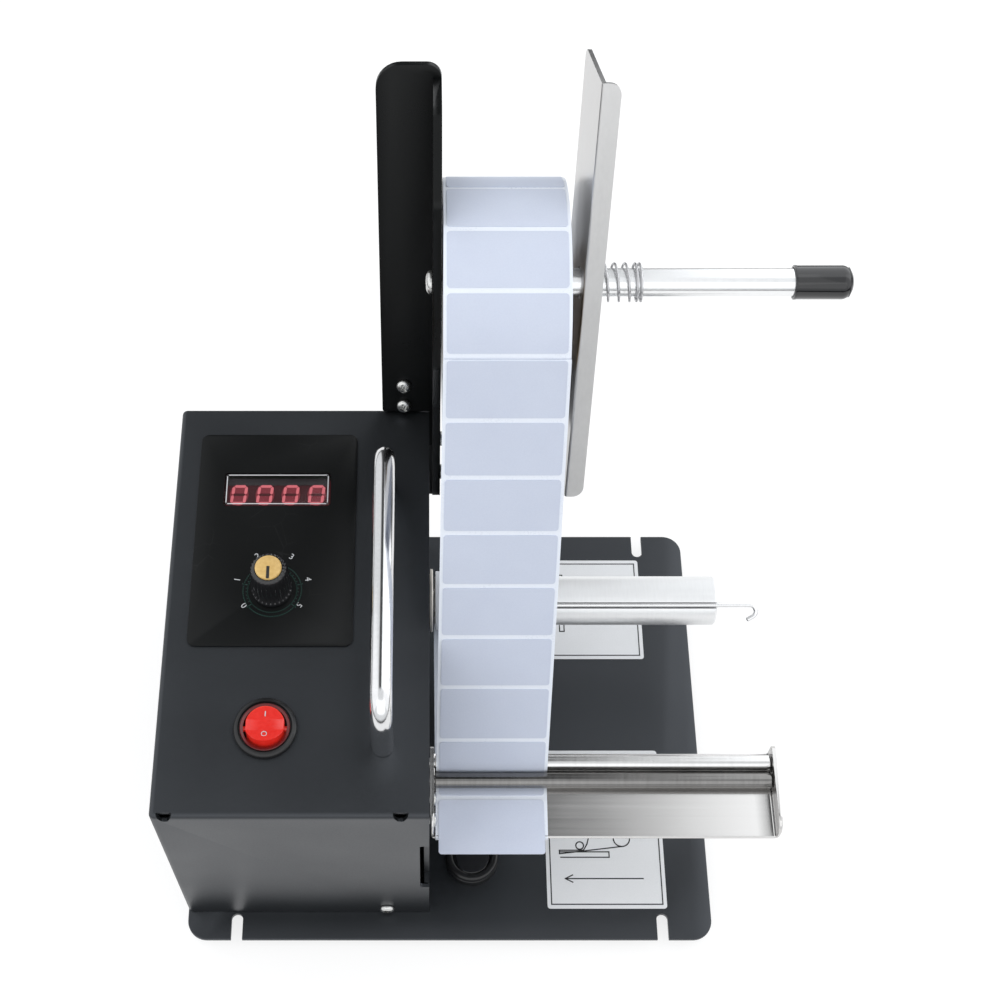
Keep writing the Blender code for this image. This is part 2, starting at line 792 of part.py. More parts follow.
def tab_boxes():
    """Return the boxes of the base plate's upturned tabs behind the cover's screws."""
    boxes = []
    half = TAB_WIDTH / 2
    for direction, seats in cover_screw_seats().items():
        outward = Vector(direction)
        across = Vector((abs(outward.y), abs(outward.x), 0)) * half
        for seat in seats:
            face = Vector((seat[0], seat[1], 0)) - outward * (COVER_THICK + GAP)
            back = face - outward * TAB_THICK
            low = Vector(map(min, face - across, back - across))
            high = Vector(map(max, face + across, back + across))
            low.z = -BASE_THICK / 2
            high.z = TAB_HEIGHT
            boxes.append((low, high))
    return boxes


def wall_foot_seats():
    """Return the seats of the screws that hold the right wall's foot to the base."""
    x = -WALL_FOOT / 2 - WALL_THICK / 2
    top = GAP + WALL_THICK
    front = HOUSING_FRONT + WALL_FOOT_SCREW_INSET
    rear = HOUSING_REAR - WALL_FOOT_SCREW_INSET
    return [(x, front, top), (x, rear, top)]


def bent_box(low, high, radius, keep_right_square=True):
    """Return a box whose upright and top edges are rounded like sheet bends."""
    bm = bmesh.new()
    add_box(bm, low, high)
    edges = []
    for edge in bm.edges:
        middle = (edge.verts[0].co + edge.verts[1].co) / 2
        at_bottom = middle.z < low[2] + WELD
        at_right = middle.x > high[0] - WELD
        if not at_bottom and not (keep_right_square and at_right):
            edges.append(edge)
    bmesh.ops.bevel(bm, geom=edges, offset=radius, segments=BEND_SEGMENTS, profile=0.5, affect="EDGES")
    return mesh_from(bm, "bent_box")


def build_cover(build):
    """Housing cover: top, front, left and rear folded from one sheet, with the rear lug."""
    low = (-BASE_LEFT, HOUSING_FRONT, GAP)
    high = (0, HOUSING_REAR, HOUSING_HEIGHT)
    cover = build.piece("housing_cover", bent_box(low, high, COVER_BEND), "black_paint")
    build.join(cover, lug_mesh())
    rearward = arm_matrix().to_3x3() @ Vector((0, 1, 0))
    lug_back = rearward * (ARM_THICK + GAP + LUG_THICK)
    build.join(cover, clinch_nuts([aim(seat + lug_back, rearward) for seat in arm_flange_seats()]))
    hollow_low = (-BASE_LEFT + COVER_THICK, HOUSING_FRONT + COVER_THICK, -CUT_OVERRUN)
    hollow_high = (CUT_OVERRUN, HOUSING_REAR - COVER_THICK, COVER_INSIDE_TOP)
    build.cut(cover, box(hollow_low, hollow_high))
    build.cut(cover, cover_cutouts())
    front = (0, -1, 0)
    length = COVER_THICK + GAP + TAB_THICK + GAP
    build.piece("cover_screw", screw(cover_screw_seats()[front][0], front, length), "zinc")


def cover_cutouts():
    """Return the cutter for all openings of the cover: panel, notches and screw holes."""
    bm = bmesh.new()
    low = COVER_INSIDE_TOP - CUT_OVERRUN
    high = HOUSING_HEIGHT + CUT_OVERRUN
    add_prism(bm, window_outline(GAP), low, high)
    add_prism(bm, circle(POT_BUSH_RADIUS + GAP, (PANEL_X, DIAL_Y)), low, high)
    add_prism(bm, circle(SWITCH_BARREL_RADIUS + GAP, (PANEL_X, SWITCH_Y)), low, high)
    for y in handle_feet():
        add_prism(bm, circle(BIG_SHANK + SCREW_CLEARANCE, (HANDLE_X, y), SMALL_STEPS), low, high)
    front_out = HOUSING_FRONT - CUT_OVERRUN
    front_in = HOUSING_FRONT + COVER_THICK + CUT_OVERRUN
    add_box(bm, (-NOTCH_DEPTH, front_out, NOTCH_LOW), (CUT_OVERRUN, front_in, NOTCH_HIGH))
    for start in (-BASE_LEFT + RELIEF_LEFT_INSET, -RELIEF_RIGHT_INSET - RELIEF_WIDTH):
        relief_high = (start + RELIEF_WIDTH, HOUSING_FRONT + RELIEF_DEPTH, high)
        add_box(bm, (start, front_out, HOUSING_HEIGHT - RELIEF_DROP), relief_high)
    radius = SCREW_SHANK + SCREW_CLEARANCE
    wall = rod_profile(-COVER_THICK * 2, COVER_THICK * 2, radius)
    for direction, seats in cover_screw_seats().items():
        for seat in seats:
            add_turned(bm, wall, aim(seat, direction), SMALL_STEPS)
    rearward = arm_matrix().to_3x3() @ Vector((0, 1, 0))
    lug = rod_profile(ARM_THICK, ARM_THICK + LUG_THICK + CLINCH_RISE + CUT_OVERRUN, radius)
    for seat in arm_flange_seats():
        add_turned(bm, lug, aim(seat, rearward), SMALL_STEPS)
    add_turned(bm, rod_profile(-JACK_DEPTH, JACK_DEPTH, JACK_RADIUS + GAP), jack_place())
    return mesh_from(bm, "cutouts")


def arm_matrix():
    """Return the arm's own frame: +Z up along its lean, +Y to its rear face."""
    return Matrix.Translation((0, ARM_FOOT_Y, ARM_FOOT_Z)) @ Matrix.Rotation(-ARM_LEAN, 4, "X")


def lug_mesh():
    """Return the cover's rear lug, a gap behind the arm's flange."""
    near = ARM_THICK + GAP
    right = -LUG_RIGHT_INSET
    outline = rectangle(right - LUG_WIDTH, -LUG_BOTTOM, right, LUG_TOP)
    corners = rounded(outline, [0, 0, ARM_RIGHT_CORNER, ARM_RIGHT_CORNER])
    mesh = prism(corners, near, near + LUG_THICK, "Y")
    mesh.transform(arm_matrix())
    return mesh


def build_right_wall(build):
    """Right wall of the housing with its foot, which carries arm, platform and shaft."""
    front = HOUSING_FRONT + COVER_THICK + GAP
    rear = HOUSING_REAR - COVER_THICK - GAP
    wall_mesh = box((-WALL_THICK, front, GAP), (0, rear, COVER_INSIDE_TOP - GAP))
    wall = build.piece("right_wall", wall_mesh, "black_paint")
    foot_front = front + TAB_WIDTH
    foot_rear = rear - TAB_WIDTH
    foot_high = (-WALL_THICK / 2, foot_rear, GAP + WALL_THICK)
    build.join(wall, box((-WALL_FOOT, foot_front, GAP), foot_high))
    inner_points = arm_wall_points(-WALL_THICK) + platform_seats(-WALL_THICK)
    build.join(wall, clinch_nuts([aim(point, (-1, 0, 0)) for point in inner_points]))
    bm = bmesh.new()
    drill = rod_profile(-WALL_THICK * 3, WALL_THICK * 3, SCREW_SHANK + SCREW_CLEARANCE)
    for seat in wall_foot_seats():
        add_turned(bm, drill, aim(seat, (0, 0, 1)), SMALL_STEPS)
    for seat in arm_wall_points(0) + platform_seats(0):
        add_turned(bm, drill, aim(seat, (1, 0, 0)), SMALL_STEPS)
    spigot = rod_profile(-WALL_THICK * 3, WALL_THICK * 3, ROD_SPIGOT_RADIUS + GAP)
    for seat in rod_points(0):
        add_turned(bm, spigot, aim(seat, (1, 0, 0)), SMALL_STEPS)
    bearing = rod_profile(-WALL_THICK * 3, WALL_THICK * 3, BEARING_RADIUS + GAP)
    add_turned(bm, bearing, aim(takeup_centre(), (1, 0, 0)), ROUND_STEPS)
    build.cut(wall, mesh_from(bm, "wall_holes"))


def takeup_centre():
    """Return the take-up axis where it crosses X zero."""
    return Vector((0, TAKEUP_Y, TAKEUP_Z))


def arm_wall_points(x):
    """Return where the arm's side plate is screwed to the wall, at one X."""
    first = Vector((0, -ARM_WALL_SCREW_DEPTH, -ARM_WALL_SCREW_DROP))
    second = first - Vector((0, ARM_WALL_SCREW_STEP_BACK, ARM_WALL_SCREW_STEP_DOWN))
    places = [arm_matrix() @ point for point in (first, second)]
    return [(x, place.y, place.z) for place in places]


def rod_points(x):
    """Return the two platform rods' axes at one X."""
    return [(x, PRESS_ROD_Y, PRESS_ROD_Z), (x, GUIDE_ROD_Y, PRESS_ROD_Z)]


def platform_seats(x):
    """Return where the platform's left cheek is screwed to the wall, at one X."""
    front = PLATFORM_FRONT + PLATFORM_SCREW_FRONT_INSET
    return [(x, front, PRESS_ROD_Z), (x, front + PLATFORM_SCREW_PITCH, PRESS_ROD_Z)]


def build_panel(build):
    """Overlay, display window and display module."""
    half = OVERLAY_WIDTH / 2
    rear = OVERLAY_FRONT + OVERLAY_LENGTH
    outline = rounded_rectangle(PANEL_X - half, OVERLAY_FRONT, PANEL_X + half, rear, OVERLAY_CORNER)
    overlay = build.piece("overlay_panel", prism(outline, OVERLAY_BOTTOM, OVERLAY_TOP), "gloss_black")
    holes = bmesh.new()
    low = OVERLAY_BOTTOM - CUT_OVERRUN
    high = OVERLAY_TOP + CUT_OVERRUN
    add_prism(holes, window_outline(GAP), low, high)
    add_prism(holes, circle(POT_BUSH_RADIUS + GAP, (PANEL_X, DIAL_Y)), low, high)
    build.cut(overlay, mesh_from(holes, "holes"))
    window = prism(window_outline(0), COVER_INSIDE_TOP + GAP, OVERLAY_TOP)
    build.piece("display_window", window, "smoked_red")
    width = DISPLAY_WIDTH / 2
    length = DISPLAY_LENGTH / 2
    low_corner = (PANEL_X - width, WINDOW_Y - length, BOARD_TOP + GAP)
    high_corner = (PANEL_X + width, WINDOW_Y + length, BOARD_TOP + GAP + DISPLAY_HEIGHT)
    module = build.piece("display_module", box(low_corner, high_corner), "black_plastic")
    recesses = bmesh.new()
    face = BOARD_TOP + GAP + DISPLAY_HEIGHT
    for digit in range(DIGIT_COUNT):
        x = PANEL_X + DIGIT_PITCH * (digit - (DIGIT_COUNT - 1) / 2)
        left = x - DIGIT_WIDTH / 2
        front = WINDOW_Y - DIGIT_LENGTH / 2
        recess_high = (left + DIGIT_WIDTH, front + DIGIT_LENGTH, face + CUT_OVERRUN)
        add_box(recesses, (left, front, face - DIGIT_RECESS), recess_high)
    build.cut(module, mesh_from(recesses, "recesses"))


def window_outline(grow):
    """Return the display window's outline, grown all round."""
    half_width = WINDOW_WIDTH / 2 + grow
    half_length = WINDOW_LENGTH / 2 + grow
    left = PANEL_X - half_width
    right = PANEL_X + half_width
    return rounded_rectangle(left, WINDOW_Y - half_length, right, WINDOW_Y + half_length, WINDOW_CORNER)


def build_dial(build):
    """Potentiometer under the panel, its nut, its shaft, the knob and the knob's cap."""
    place = Matrix.Translation((PANEL_X, DIAL_Y, 0))
    axis = (PANEL_X, DIAL_Y, OVERLAY_TOP)
    low = BOARD_TOP + GAP
    high = COVER_INSIDE_TOP - GAP
    bush_top = OVERLAY_TOP + POT_BUSH_RISE
    bore = POT_SHAFT_RADIUS + GAP
    floor = low + POT_BUSH_RADIUS
    profile = [(low, 0), (low, POT_RADIUS), (high, POT_RADIUS), (high, POT_BUSH_RADIUS)]
    profile += [(bush_top, POT_BUSH_RADIUS), (bush_top, bore), (floor, bore), (floor, 0)]
    build.piece("potentiometer", turned(profile, place), "zinc")
    nut_low = OVERLAY_TOP + GAP
    nut_mesh = prism(hexagon(POT_NUT_FLATS, axis[:2]), nut_low, nut_low + POT_NUT_THICK)
    nut = build.piece("pot_nut", nut_mesh, "zinc")
    build.cut(nut, bar(nut_low - CUT_OVERRUN, bush_top + CUT_OVERRUN, POT_BUSH_RADIUS + GAP, place))
    shaft_top = OVERLAY_TOP + POT_SHAFT_RISE
    shaft = turned(rod_profile(floor + GAP, shaft_top, POT_SHAFT_RADIUS), place)
    build.piece("pot_shaft", shaft, "zinc", axis)
    knob_low = OVERLAY_TOP + 2 * GAP
    knob_high = knob_low + KNOB_HEIGHT
    knob = build.piece("knob", knob_mesh(knob_low, knob_high), "black_plastic", axis)
    skirt_top = knob_low + KNOB_SKIRT_DEPTH
    build.cut(knob, bar(knob_low - CUT_OVERRUN, skirt_top, KNOB_SKIRT_RADIUS, place))
    build.cut(knob, bar(knob_low, shaft_top + GAP, POT_SHAFT_RADIUS + GAP, place))
    seat = knob_high - KNOB_CAP_SEAT
    build.cut(knob, bar(seat, knob_high + CUT_OVERRUN, KNOB_CAP_RADIUS + GAP, place))
    cap_low = seat + GAP
    cap_high = cap_low + KNOB_CAP_THICK
    inner = KNOB_CAP_RADIUS - KNOB_CAP_SEAT
    cap_profile = [(cap_low, 0), (cap_low, KNOB_CAP_RADIUS), (cap_high - KNOB_CAP_SEAT, KNOB_CAP_RADIUS)]
    cap_profile += [(cap_high, inner), (cap_high, 0)]
    cap = build.piece("knob_cap", turned(cap_profile, place), "cream_plastic", axis)
    half = POINTER_WIDTH / 2
    groove_low = (PANEL_X - half, DIAL_Y - KNOB_CAP_RADIUS - CUT_OVERRUN, cap_high - POINTER_DEPTH)
    build.cut(cap, box(groove_low, (PANEL_X + half, DIAL_Y, cap_high + CUT_OVERRUN)))


def knob_mesh(low, high):
    """Return the knob's fluted and slightly tapered outside."""
    bm = bmesh.new()
    steps = KNOB_FLUTES * KNOB_FLUTE_STEPS
    rings = []
    chamfer = KNOB_TAPER
    for height, shrink in ((low, 0), (high - chamfer, KNOB_TAPER), (high, KNOB_TAPER + chamfer)):
        ring = []
        for step in range(steps):
            angle = 2 * math.pi * step / steps
            wave = (1 - math.cos(KNOB_FLUTES * angle)) / 2
            radius = KNOB_RADIUS - shrink - KNOB_FLUTE_DEPTH * wave
            x = PANEL_X + radius * math.cos(angle)
            y = DIAL_Y + radius * math.sin(angle)
            ring.append(bm.verts.new((x, y, height)))
        rings.append(ring)
    bm.faces.new(list(reversed(rings[0])))
    bm.faces.new(rings[-1])
    for lower, upper in zip(rings, rings[1:]):
        for index in range(steps):
            following = (index + 1) % steps
            bm.faces.new((lower[index], lower[following], upper[following], upper[index]))
    return mesh_from(bm, "knob")


def build_switch(build):
    """Round rocker switch: body, tilting rocker and spade terminals."""
    place = Matrix.Translation((PANEL_X, SWITCH_Y, 0))
    seat = HOUSING_HEIGHT + GAP
    top = seat + SWITCH_BEZEL_RISE
    bottom = top - SWITCH_DEPTH
    pivot_z = HOUSING_HEIGHT
    well = pivot_z - ROCKER_RADIUS - GAP
    edge = SWITCH_BEZEL_RISE * dome_shares["shoulder"]
    profile = [(bottom, 0), (bottom, SWITCH_BARREL_RADIUS), (seat, SWITCH_BARREL_RADIUS)]
    profile += [(seat, SWITCH_BEZEL_RADIUS), (seat + edge, SWITCH_BEZEL_RADIUS)]
    profile += [(top, SWITCH_BEZEL_RADIUS - edge), (top, SWITCH_WELL_RADIUS)]
    profile += [(well, SWITCH_WELL_RADIUS), (well, 0)]
    body = build.piece("switch_body", turned(profile, place), "black_plastic")
    pivot = Vector((PANEL_X, SWITCH_Y, pivot_z))
    pin_reach = ROCKER_WIDTH / 2 + ROCKER_PIN_REACH
    pin_place = aim(pivot, (1, 0, 0))
    clear_reach = pin_reach + GAP
    build.cut(body, bar(-clear_reach, clear_reach, ROCKER_PIN_RADIUS + GAP, pin_place, SMALL_STEPS))
    lower = arc_points(Vector((0, 0)), ROCKER_RADIUS, math.pi, 2 * math.pi, ROUND_STEPS // 2)
    side = [(-ROCKER_RADIUS, ROCKER_RISE), *[tuple(point) for point in lower]]
    side += [(ROCKER_RADIUS, ROCKER_RISE), (0, ROCKER_RISE - ROCKER_DIP)]
    half = ROCKER_WIDTH / 2
    rocker_mesh = prism(side, -half, half, "X")
    turn = Matrix.Translation(pivot) @ Matrix.Rotation(-ROCKER_TILT, 4, "X")
    rocker_mesh.transform(turn)
    rocker = build.piece("switch_rocker", rocker_mesh, "red_lens", pivot)
    limit = bar(-ROCKER_RADIUS * 2, ROCKER_RADIUS * 2, ROCKER_RADIUS, Matrix.Identity(4))
    limit.transform(turn)
    build.combine(rocker, "INTERSECT", limit)
    build.join(rocker, bar(-pin_reach, pin_reach, ROCKER_PIN_RADIUS, pin_place, SMALL_STEPS))
    blades = bmesh.new()
    blade_top = bottom + TERMINAL_THICK
    for index in range(TERMINAL_COUNT):
        y = SWITCH_Y + TERMINAL_PITCH * (index - (TERMINAL_COUNT - 1) / 2)
        left = PANEL_X - TERMINAL_WIDTH / 2
        low = bottom - TERMINAL_LENGTH
        add_box(blades, (left, y, low), (left + TERMINAL_WIDTH, y + TERMINAL_THICK, blade_top))
    build.join(body, mesh_from(blades, "blades"))


def build_board(build):
    """Control board hung under the panel by the dial's nut, with its larger components."""
    half_width = BOARD_WIDTH / 2
    half_length = BOARD_LENGTH / 2
    left = PANEL_X - half_width
    front = BOARD_Y - half_length
    outline = rectangle(left, front, left + BOARD_WIDTH, front + BOARD_LENGTH)
    board = build.piece("control_board", prism(outline, BOARD_BOTTOM, BOARD_TOP), "board_green")
    posts = []
    for x in (left + BOARD_HOLE_INSET, left + BOARD_WIDTH - BOARD_HOLE_INSET):
        for y in (front + BOARD_HOLE_INSET, front + BOARD_LENGTH - BOARD_HOLE_INSET):
            posts.append((x, y, BOARD_TOP))
    parts = bmesh.new()
    seat = BOARD_BOTTOM + BOARD_THICK / 2
    chip_front = front + COMPONENT_Y_INSET
    chip_low = (PANEL_X - CHIP_WIDTH / 2, chip_front, BOARD_BOTTOM - CHIP_HEIGHT)
    add_box(parts, chip_low, (PANEL_X + CHIP_WIDTH / 2, chip_front + CHIP_WIDTH, seat))
    capacitor = rod_profile(BOARD_BOTTOM - CAPACITOR_HEIGHT, seat, CAPACITOR_RADIUS)
    for x in (PANEL_X - CHIP_WIDTH, PANEL_X + CHIP_WIDTH):
        y = front + BOARD_LENGTH - COMPONENT_Y_INSET
        add_turned(parts, capacitor, Matrix.Translation((x, y, 0)), SMALL_STEPS)
    build.join(board, mesh_from(parts, "parts"))
    build.cut(board, drill_points(posts, (0, 0, 1), BOARD_THICK * 2, BOARD_HOLE_RADIUS))


def jack_place():
    """Return the power inlet's frame, +Z out through the rear wall."""
    return aim((JACK_X, HOUSING_REAR, JACK_Z), (0, 1, 0))


def build_jack(build):
    """Round power inlet in the rear wall, held by a nut inside."""
    inner = -COVER_THICK - GAP
    low = inner - JACK_DEPTH
    flange = GAP + JACK_FLANGE_THICK
    profile = [(low, 0), (low, JACK_RADIUS), (GAP, JACK_RADIUS), (GAP, JACK_FLANGE_RADIUS)]
    profile += [(flange, JACK_FLANGE_RADIUS), (flange, JACK_SOCKET_RADIUS)]
    profile += [(flange - JACK_SOCKET_DEPTH, JACK_SOCKET_RADIUS), (flange - JACK_SOCKET_DEPTH, 0)]
    build.piece("power_jack", turned(profile, jack_place()), "black_plastic")
    nut_mesh = prism(hexagon(JACK_NUT_FLATS), inner - JACK_NUT_THICK, inner)
    nut_mesh.transform(jack_place())
    nut = build.piece("jack_nut", nut_mesh, "zinc")
    drill_low = inner - JACK_NUT_THICK - CUT_OVERRUN
    build.cut(nut, bar(drill_low, inner + CUT_OVERRUN, JACK_RADIUS + GAP, jack_place()))


def handle_feet():
    """Return the two Y places of the handle's feet."""
    return HANDLE_FRONT_Y, HANDLE_FRONT_Y + HANDLE_PITCH


def build_handle(build):
    """Bent rod handle and the two screws that hold it from inside the cover."""
    front, rear = handle_feet()
    bottom = HOUSING_HEIGHT + GAP
    top = HOUSING_HEIGHT + HANDLE_RISE
    flat = [Vector((front, bottom))]
    first = Vector((front + HANDLE_BEND, top - HANDLE_BEND))
    second = Vector((rear - HANDLE_BEND, top - HANDLE_BEND))
    flat += arc_points(first, HANDLE_BEND, math.pi, QUARTER, HANDLE_BEND_STEPS)
    flat += arc_points(second, HANDLE_BEND, QUARTER, 0, HANDLE_BEND_STEPS)
    flat.append(Vector((rear, bottom)))
    points = [Vector((HANDLE_X, point.x, point.y)) for point in flat]
    handle = build.piece("carry_handle", sweep(points, HANDLE_ROD_RADIUS, ROUND_STEPS // 2), "chrome")
    feet = [(HANDLE_X, y, bottom) for y in (front, rear)]
    build.cut(handle, drill_points(feet, (0, 0, 1), HANDLE_BORE_DEPTH, BIG_SHANK + SCREW_CLEARANCE))
    length = COVER_THICK + HANDLE_SCREW_LENGTH
    for end, y in (("front", front), ("rear", rear)):
        seat = (HANDLE_X, y, COVER_INSIDE_TOP)
        mesh = screw(seat, (0, 0, -1), length, BIG_SHANK, BIG_HEAD, BIG_HEAD_RISE)
        build.piece(f"handle_screw_{end}", mesh, "zinc")


def build_arm(build):
    """Roll arm with the spacing plate of its leg, its flange screws and its wall screws."""
    lean = arm_matrix()
    corners = rectangle(-ARM_FLANGE_LEFT, -ARM_FLANGE_BOTTOM, ARM_OUTER, ARM_TOP)
    flange = prism(rounded(corners, [0, 0, ARM_RIGHT_CORNER, ARM_LEFT_CORNER]), 0, ARM_THICK, "Y")
    flange.transform(lean)
    arm = build.piece("roll_arm", flange, "black_paint")
    side = [(ARM_THICK, -ARM_LEG_BOTTOM), (ARM_THICK, ARM_TOP - ARM_RIGHT_CORNER)]
    side += [(-ARM_TOP_DEPTH, ARM_TOP - ARM_RIGHT_CORNER), (-ARM_DEPTH, ARM_SHOULDER)]
    side += [(-ARM_DEPTH, ARM_WAIST_HIGH), (-ARM_LEG_DEPTH, ARM_WAIST_LOW)]
    side += [(-ARM_LEG_DEPTH, -ARM_LEG_BOTTOM)]
    soft = [ARM_CORNER, 0, ARM_CORNER, ARM_CORNER, ARM_CORNER, ARM_CORNER, ARM_CORNER]
    web = prism(rounded(side, soft), ARM_INNER, ARM_OUTER, "X")
    web.transform(lean)
    build.join(arm, web)
    walls = arm_wall_points(ARM_INNER)
    low = -ARM_LEG_BOTTOM + GAP
    high = -ARM_FLANGE_BOTTOM + GAP
    shim = rounded(rectangle(-ARM_LEG_DEPTH + GAP, low, ARM_THICK - GAP, high), [ARM_CORNER, ARM_CORNER, 0, 0])
    spacer = prism(shim, GAP, ARM_INNER + CLINCH_SINK, "X")
    spacer.transform(lean)
    build.join(arm, spacer)
    rearward = lean.to_3x3() @ Vector((0, 1, 0))
    seats = arm_flange_seats()
    reach = ARM_THICK + GAP + LUG_THICK + CLINCH_RISE
    build.cut(arm, drill_points(seats, rearward, ARM_THICK * 2, SCREW_SHANK + SCREW_CLEARANCE))
    build.cut(arm, drill_points(walls, (1, 0, 0), ARM_THICK * 2, SCREW_SHANK + SCREW_CLEARANCE))
    shaft_hole = aim((ARM_INNER, SHAFT_Y, SHAFT_Z), (1, 0, 0))
    build.cut(arm, bar(-ARM_THICK, ARM_THICK * 2, BIG_SHANK + SCREW_CLEARANCE, shaft_hole, SMALL_STEPS))
    for name, seat in zip(("arm_screw_upper", "arm_screw_lower"), seats):
        build.piece(name, screw(seat, -rearward, reach), "zinc")
    wall_length = ARM_OUTER + WALL_THICK + CLINCH_RISE
    for name, (_, y, z) in zip(("arm_wall_screw_upper", "arm_wall_screw_lower"), walls):
        build.piece(name, screw((ARM_OUTER, y, z), (1, 0, 0), wall_length), "zinc")


def arm_flange_seats():
    """Return the seats of the two screws through the arm's flange."""
    lean = arm_matrix()
    upper = lean @ Vector((ARM_SCREW_X, 0, ARM_SCREW_HIGH))
    lower = lean @ Vector((ARM_SCREW_X, 0, -ARM_SCREW_LOW))
    return [upper, lower]


def build_reel_shaft(build):
    """Shaft that carries the roll, its fixing screw and its soft end cap."""
    place = aim((0, SHAFT_Y, SHAFT_Z), (1, 0, 0))
    cap_floor = SHAFT_CAP_END - 2 * SHAFT_CAP_WALL
    profile = rod_profile(SHAFT_START, cap_floor - GAP, SHAFT_RADIUS, SHAFT_CHAMFER)
    shaft = build.piece("reel_shaft", turned(profile, place), "chrome")
    bore_end = SHAFT_START + SHAFT_BORE_DEPTH
    build.cut(shaft, bar(0, bore_end, BIG_SHANK + SCREW_CLEARANCE, place, SMALL_STEPS))
    seat = (ARM_INNER, SHAFT_Y, SHAFT_Z)
    mesh = screw(seat, (-1, 0, 0), SHAFT_SCREW_LENGTH, BIG_SHANK, BIG_HEAD, BIG_HEAD_RISE)
    build.piece("shaft_screw", mesh, "zinc")
    inner = SHAFT_RADIUS + GAP
    outer = inner + SHAFT_CAP_WALL
    dome_start = SHAFT_CAP_END - SHAFT_CAP_DOME
    cap = [(cap_floor, 0), (cap_floor, inner), (SHAFT_CAP_START, inner), (SHAFT_CAP_START, outer)]
    cap += [(dome_start, outer)]
    for step in range(1, CORNER_STEPS):
        angle = QUARTER * step / CORNER_STEPS
        cap.append((dome_start + SHAFT_CAP_DOME * math.sin(angle), outer * math.cos(angle)))
    cap.append((SHAFT_CAP_END, 0))
    build.piece("shaft_cap", turned(cap, place), "gloss_black")


def roll_centre():
    """Return the roll's axis where it crosses X zero."""
    return Vector((0, SHAFT_Y, ROLL_Z))


def build_roll(build):
    """Card core and the wound label stock, which hang on the shaft."""
    place = aim(roll_centre(), (1, 0, 0))
    core_outer = CORE_BORE_RADIUS + CORE_WALL
    core = ring_profile(LINER_LEFT, ROLL_RIGHT, CORE_BORE_RADIUS, core_outer)
    axis = (LINER_LEFT + LINER_WIDTH / 2, SHAFT_Y, ROLL_Z)
    build.piece("roll_core", turned(core, place, ROUND_STEPS * 2, closed=True), "card", axis)
    wound_radius = ROLL_RADIUS - LABEL_THICK
    stock = ring_profile(LINER_LEFT, ROLL_RIGHT, core_outer + GAP, wound_radius)
    roll = build.piece("label_roll", turned(stock, place, ROUND_STEPS * 3, closed=True), "liner_paper", axis)
    pads = bmesh.new()
    count = int(2 * math.pi * ROLL_RADIUS / LABEL_PITCH)
    sweep_angle = LABEL_LENGTH / ROLL_RADIUS
    left = LINER_LEFT + LABEL_MARGIN
    right = ROLL_RIGHT - LABEL_MARGIN
    centre = Vector((SHAFT_Y, ROLL_Z))
    for index in range(count):
        start = 2 * math.pi * index / count
        outer = arc_points(centre, ROLL_RADIUS, start, start + sweep_angle, CORNER_STEPS)
        inner = arc_points(centre, wound_radius - LABEL_THICK, start + sweep_angle, start, CORNER_STEPS)
        add_prism(pads, [tuple(point) for point in outer + inner], left, right, "X")
    build.join(roll, mesh_from(pads, "pads"))


def web_path():
    """Return the liner's path from the roll, round both rods, to the peel edge."""
    roll = Vector((SHAFT_Y, ROLL_Z))
    guide = Vector((GUIDE_ROD_Y, PRESS_ROD_Z))
    press = Vector((PRESS_ROD_Y, PRESS_ROD_Z))
    roll_turn = ROLL_RADIUS + GAP
    normal = tangent_normal(roll, roll_turn, guide, GUIDE_TURN, -1)
    start = math.atan2(normal.y, normal.x)
    path = [roll + normal * roll_turn]
    path += arc_points(guide, GUIDE_TURN, start, math.pi, WEB_BEND_STEPS // 2)
    path += arc_points(press, PRESS_TURN, 0, -QUARTER, WEB_BEND_STEPS)[1:]
    path.append(Vector((PLATFORM_FRONT + PLATFORM_THICK / 2, PATH_Z)))
    return path


def label_starts(path):
    """Return where each label of the web starts, as distances along the path."""
    gap_between = LABEL_PITCH - LABEL_LENGTH
    starts = []
    place = WEB_PHASE - LABEL_PITCH + gap_between / 2
    while place < path_length(path):
        starts.append(place)
        place += LABEL_PITCH
    return starts


def build_web(build):
    """Label web from roll to peel edge, the label half off it, and the waste liner."""
    path = web_path()
    length = path_length(path)
    left = LINER_LEFT
    web = build.piece("label_web", straight_ribbon(path, 0, LINER_THICK, left, ROLL_RIGHT), "liner_paper")
    margin_left = left + LABEL_MARGIN
    margin_right = ROLL_RIGHT - LABEL_MARGIN
    for start in label_starts(path)[:-1]:
        low = max(start, GAP)
        strip = stretch(path, low, min(start + LABEL_LENGTH, length))
        pad = straight_ribbon(strip, LINER_THICK / 2, WEB_THICK, margin_left, margin_right)
        build.join(web, pad)
    last = label_starts(path)[-1]
    first_point = stretch(path, last, length)[0]
    tip = Vector((PLATFORM_FRONT - DISPENSED_OVERHANG, PATH_Z))
    inner = LINER_THICK + GAP
    label_path = [first_point, tip]
    label = straight_ribbon(label_path, inner, inner + LABEL_THICK, margin_left, margin_right)
    build.piece("dispensed_label", label, "label_paper")
    waste = waste_path()
    shift = shares_along(waste)
    end_left = TAKEUP_START + GAP
    lefts = [left + (end_left - left) * share for share in shift]
    rights = [edge + LINER_WIDTH for edge in lefts]
    build.piece("waste_liner", ribbon(waste, 0, LINER_THICK, lefts, rights), "liner_paper")


def shares_along(path):
    """Return each point's share of the way along its path."""
    total = path_length(path)
    shares = [0.0]
    for first, second in zip(path, path[1:]):
        shares.append(shares[-1] + (second - first).length / total)
    return shares


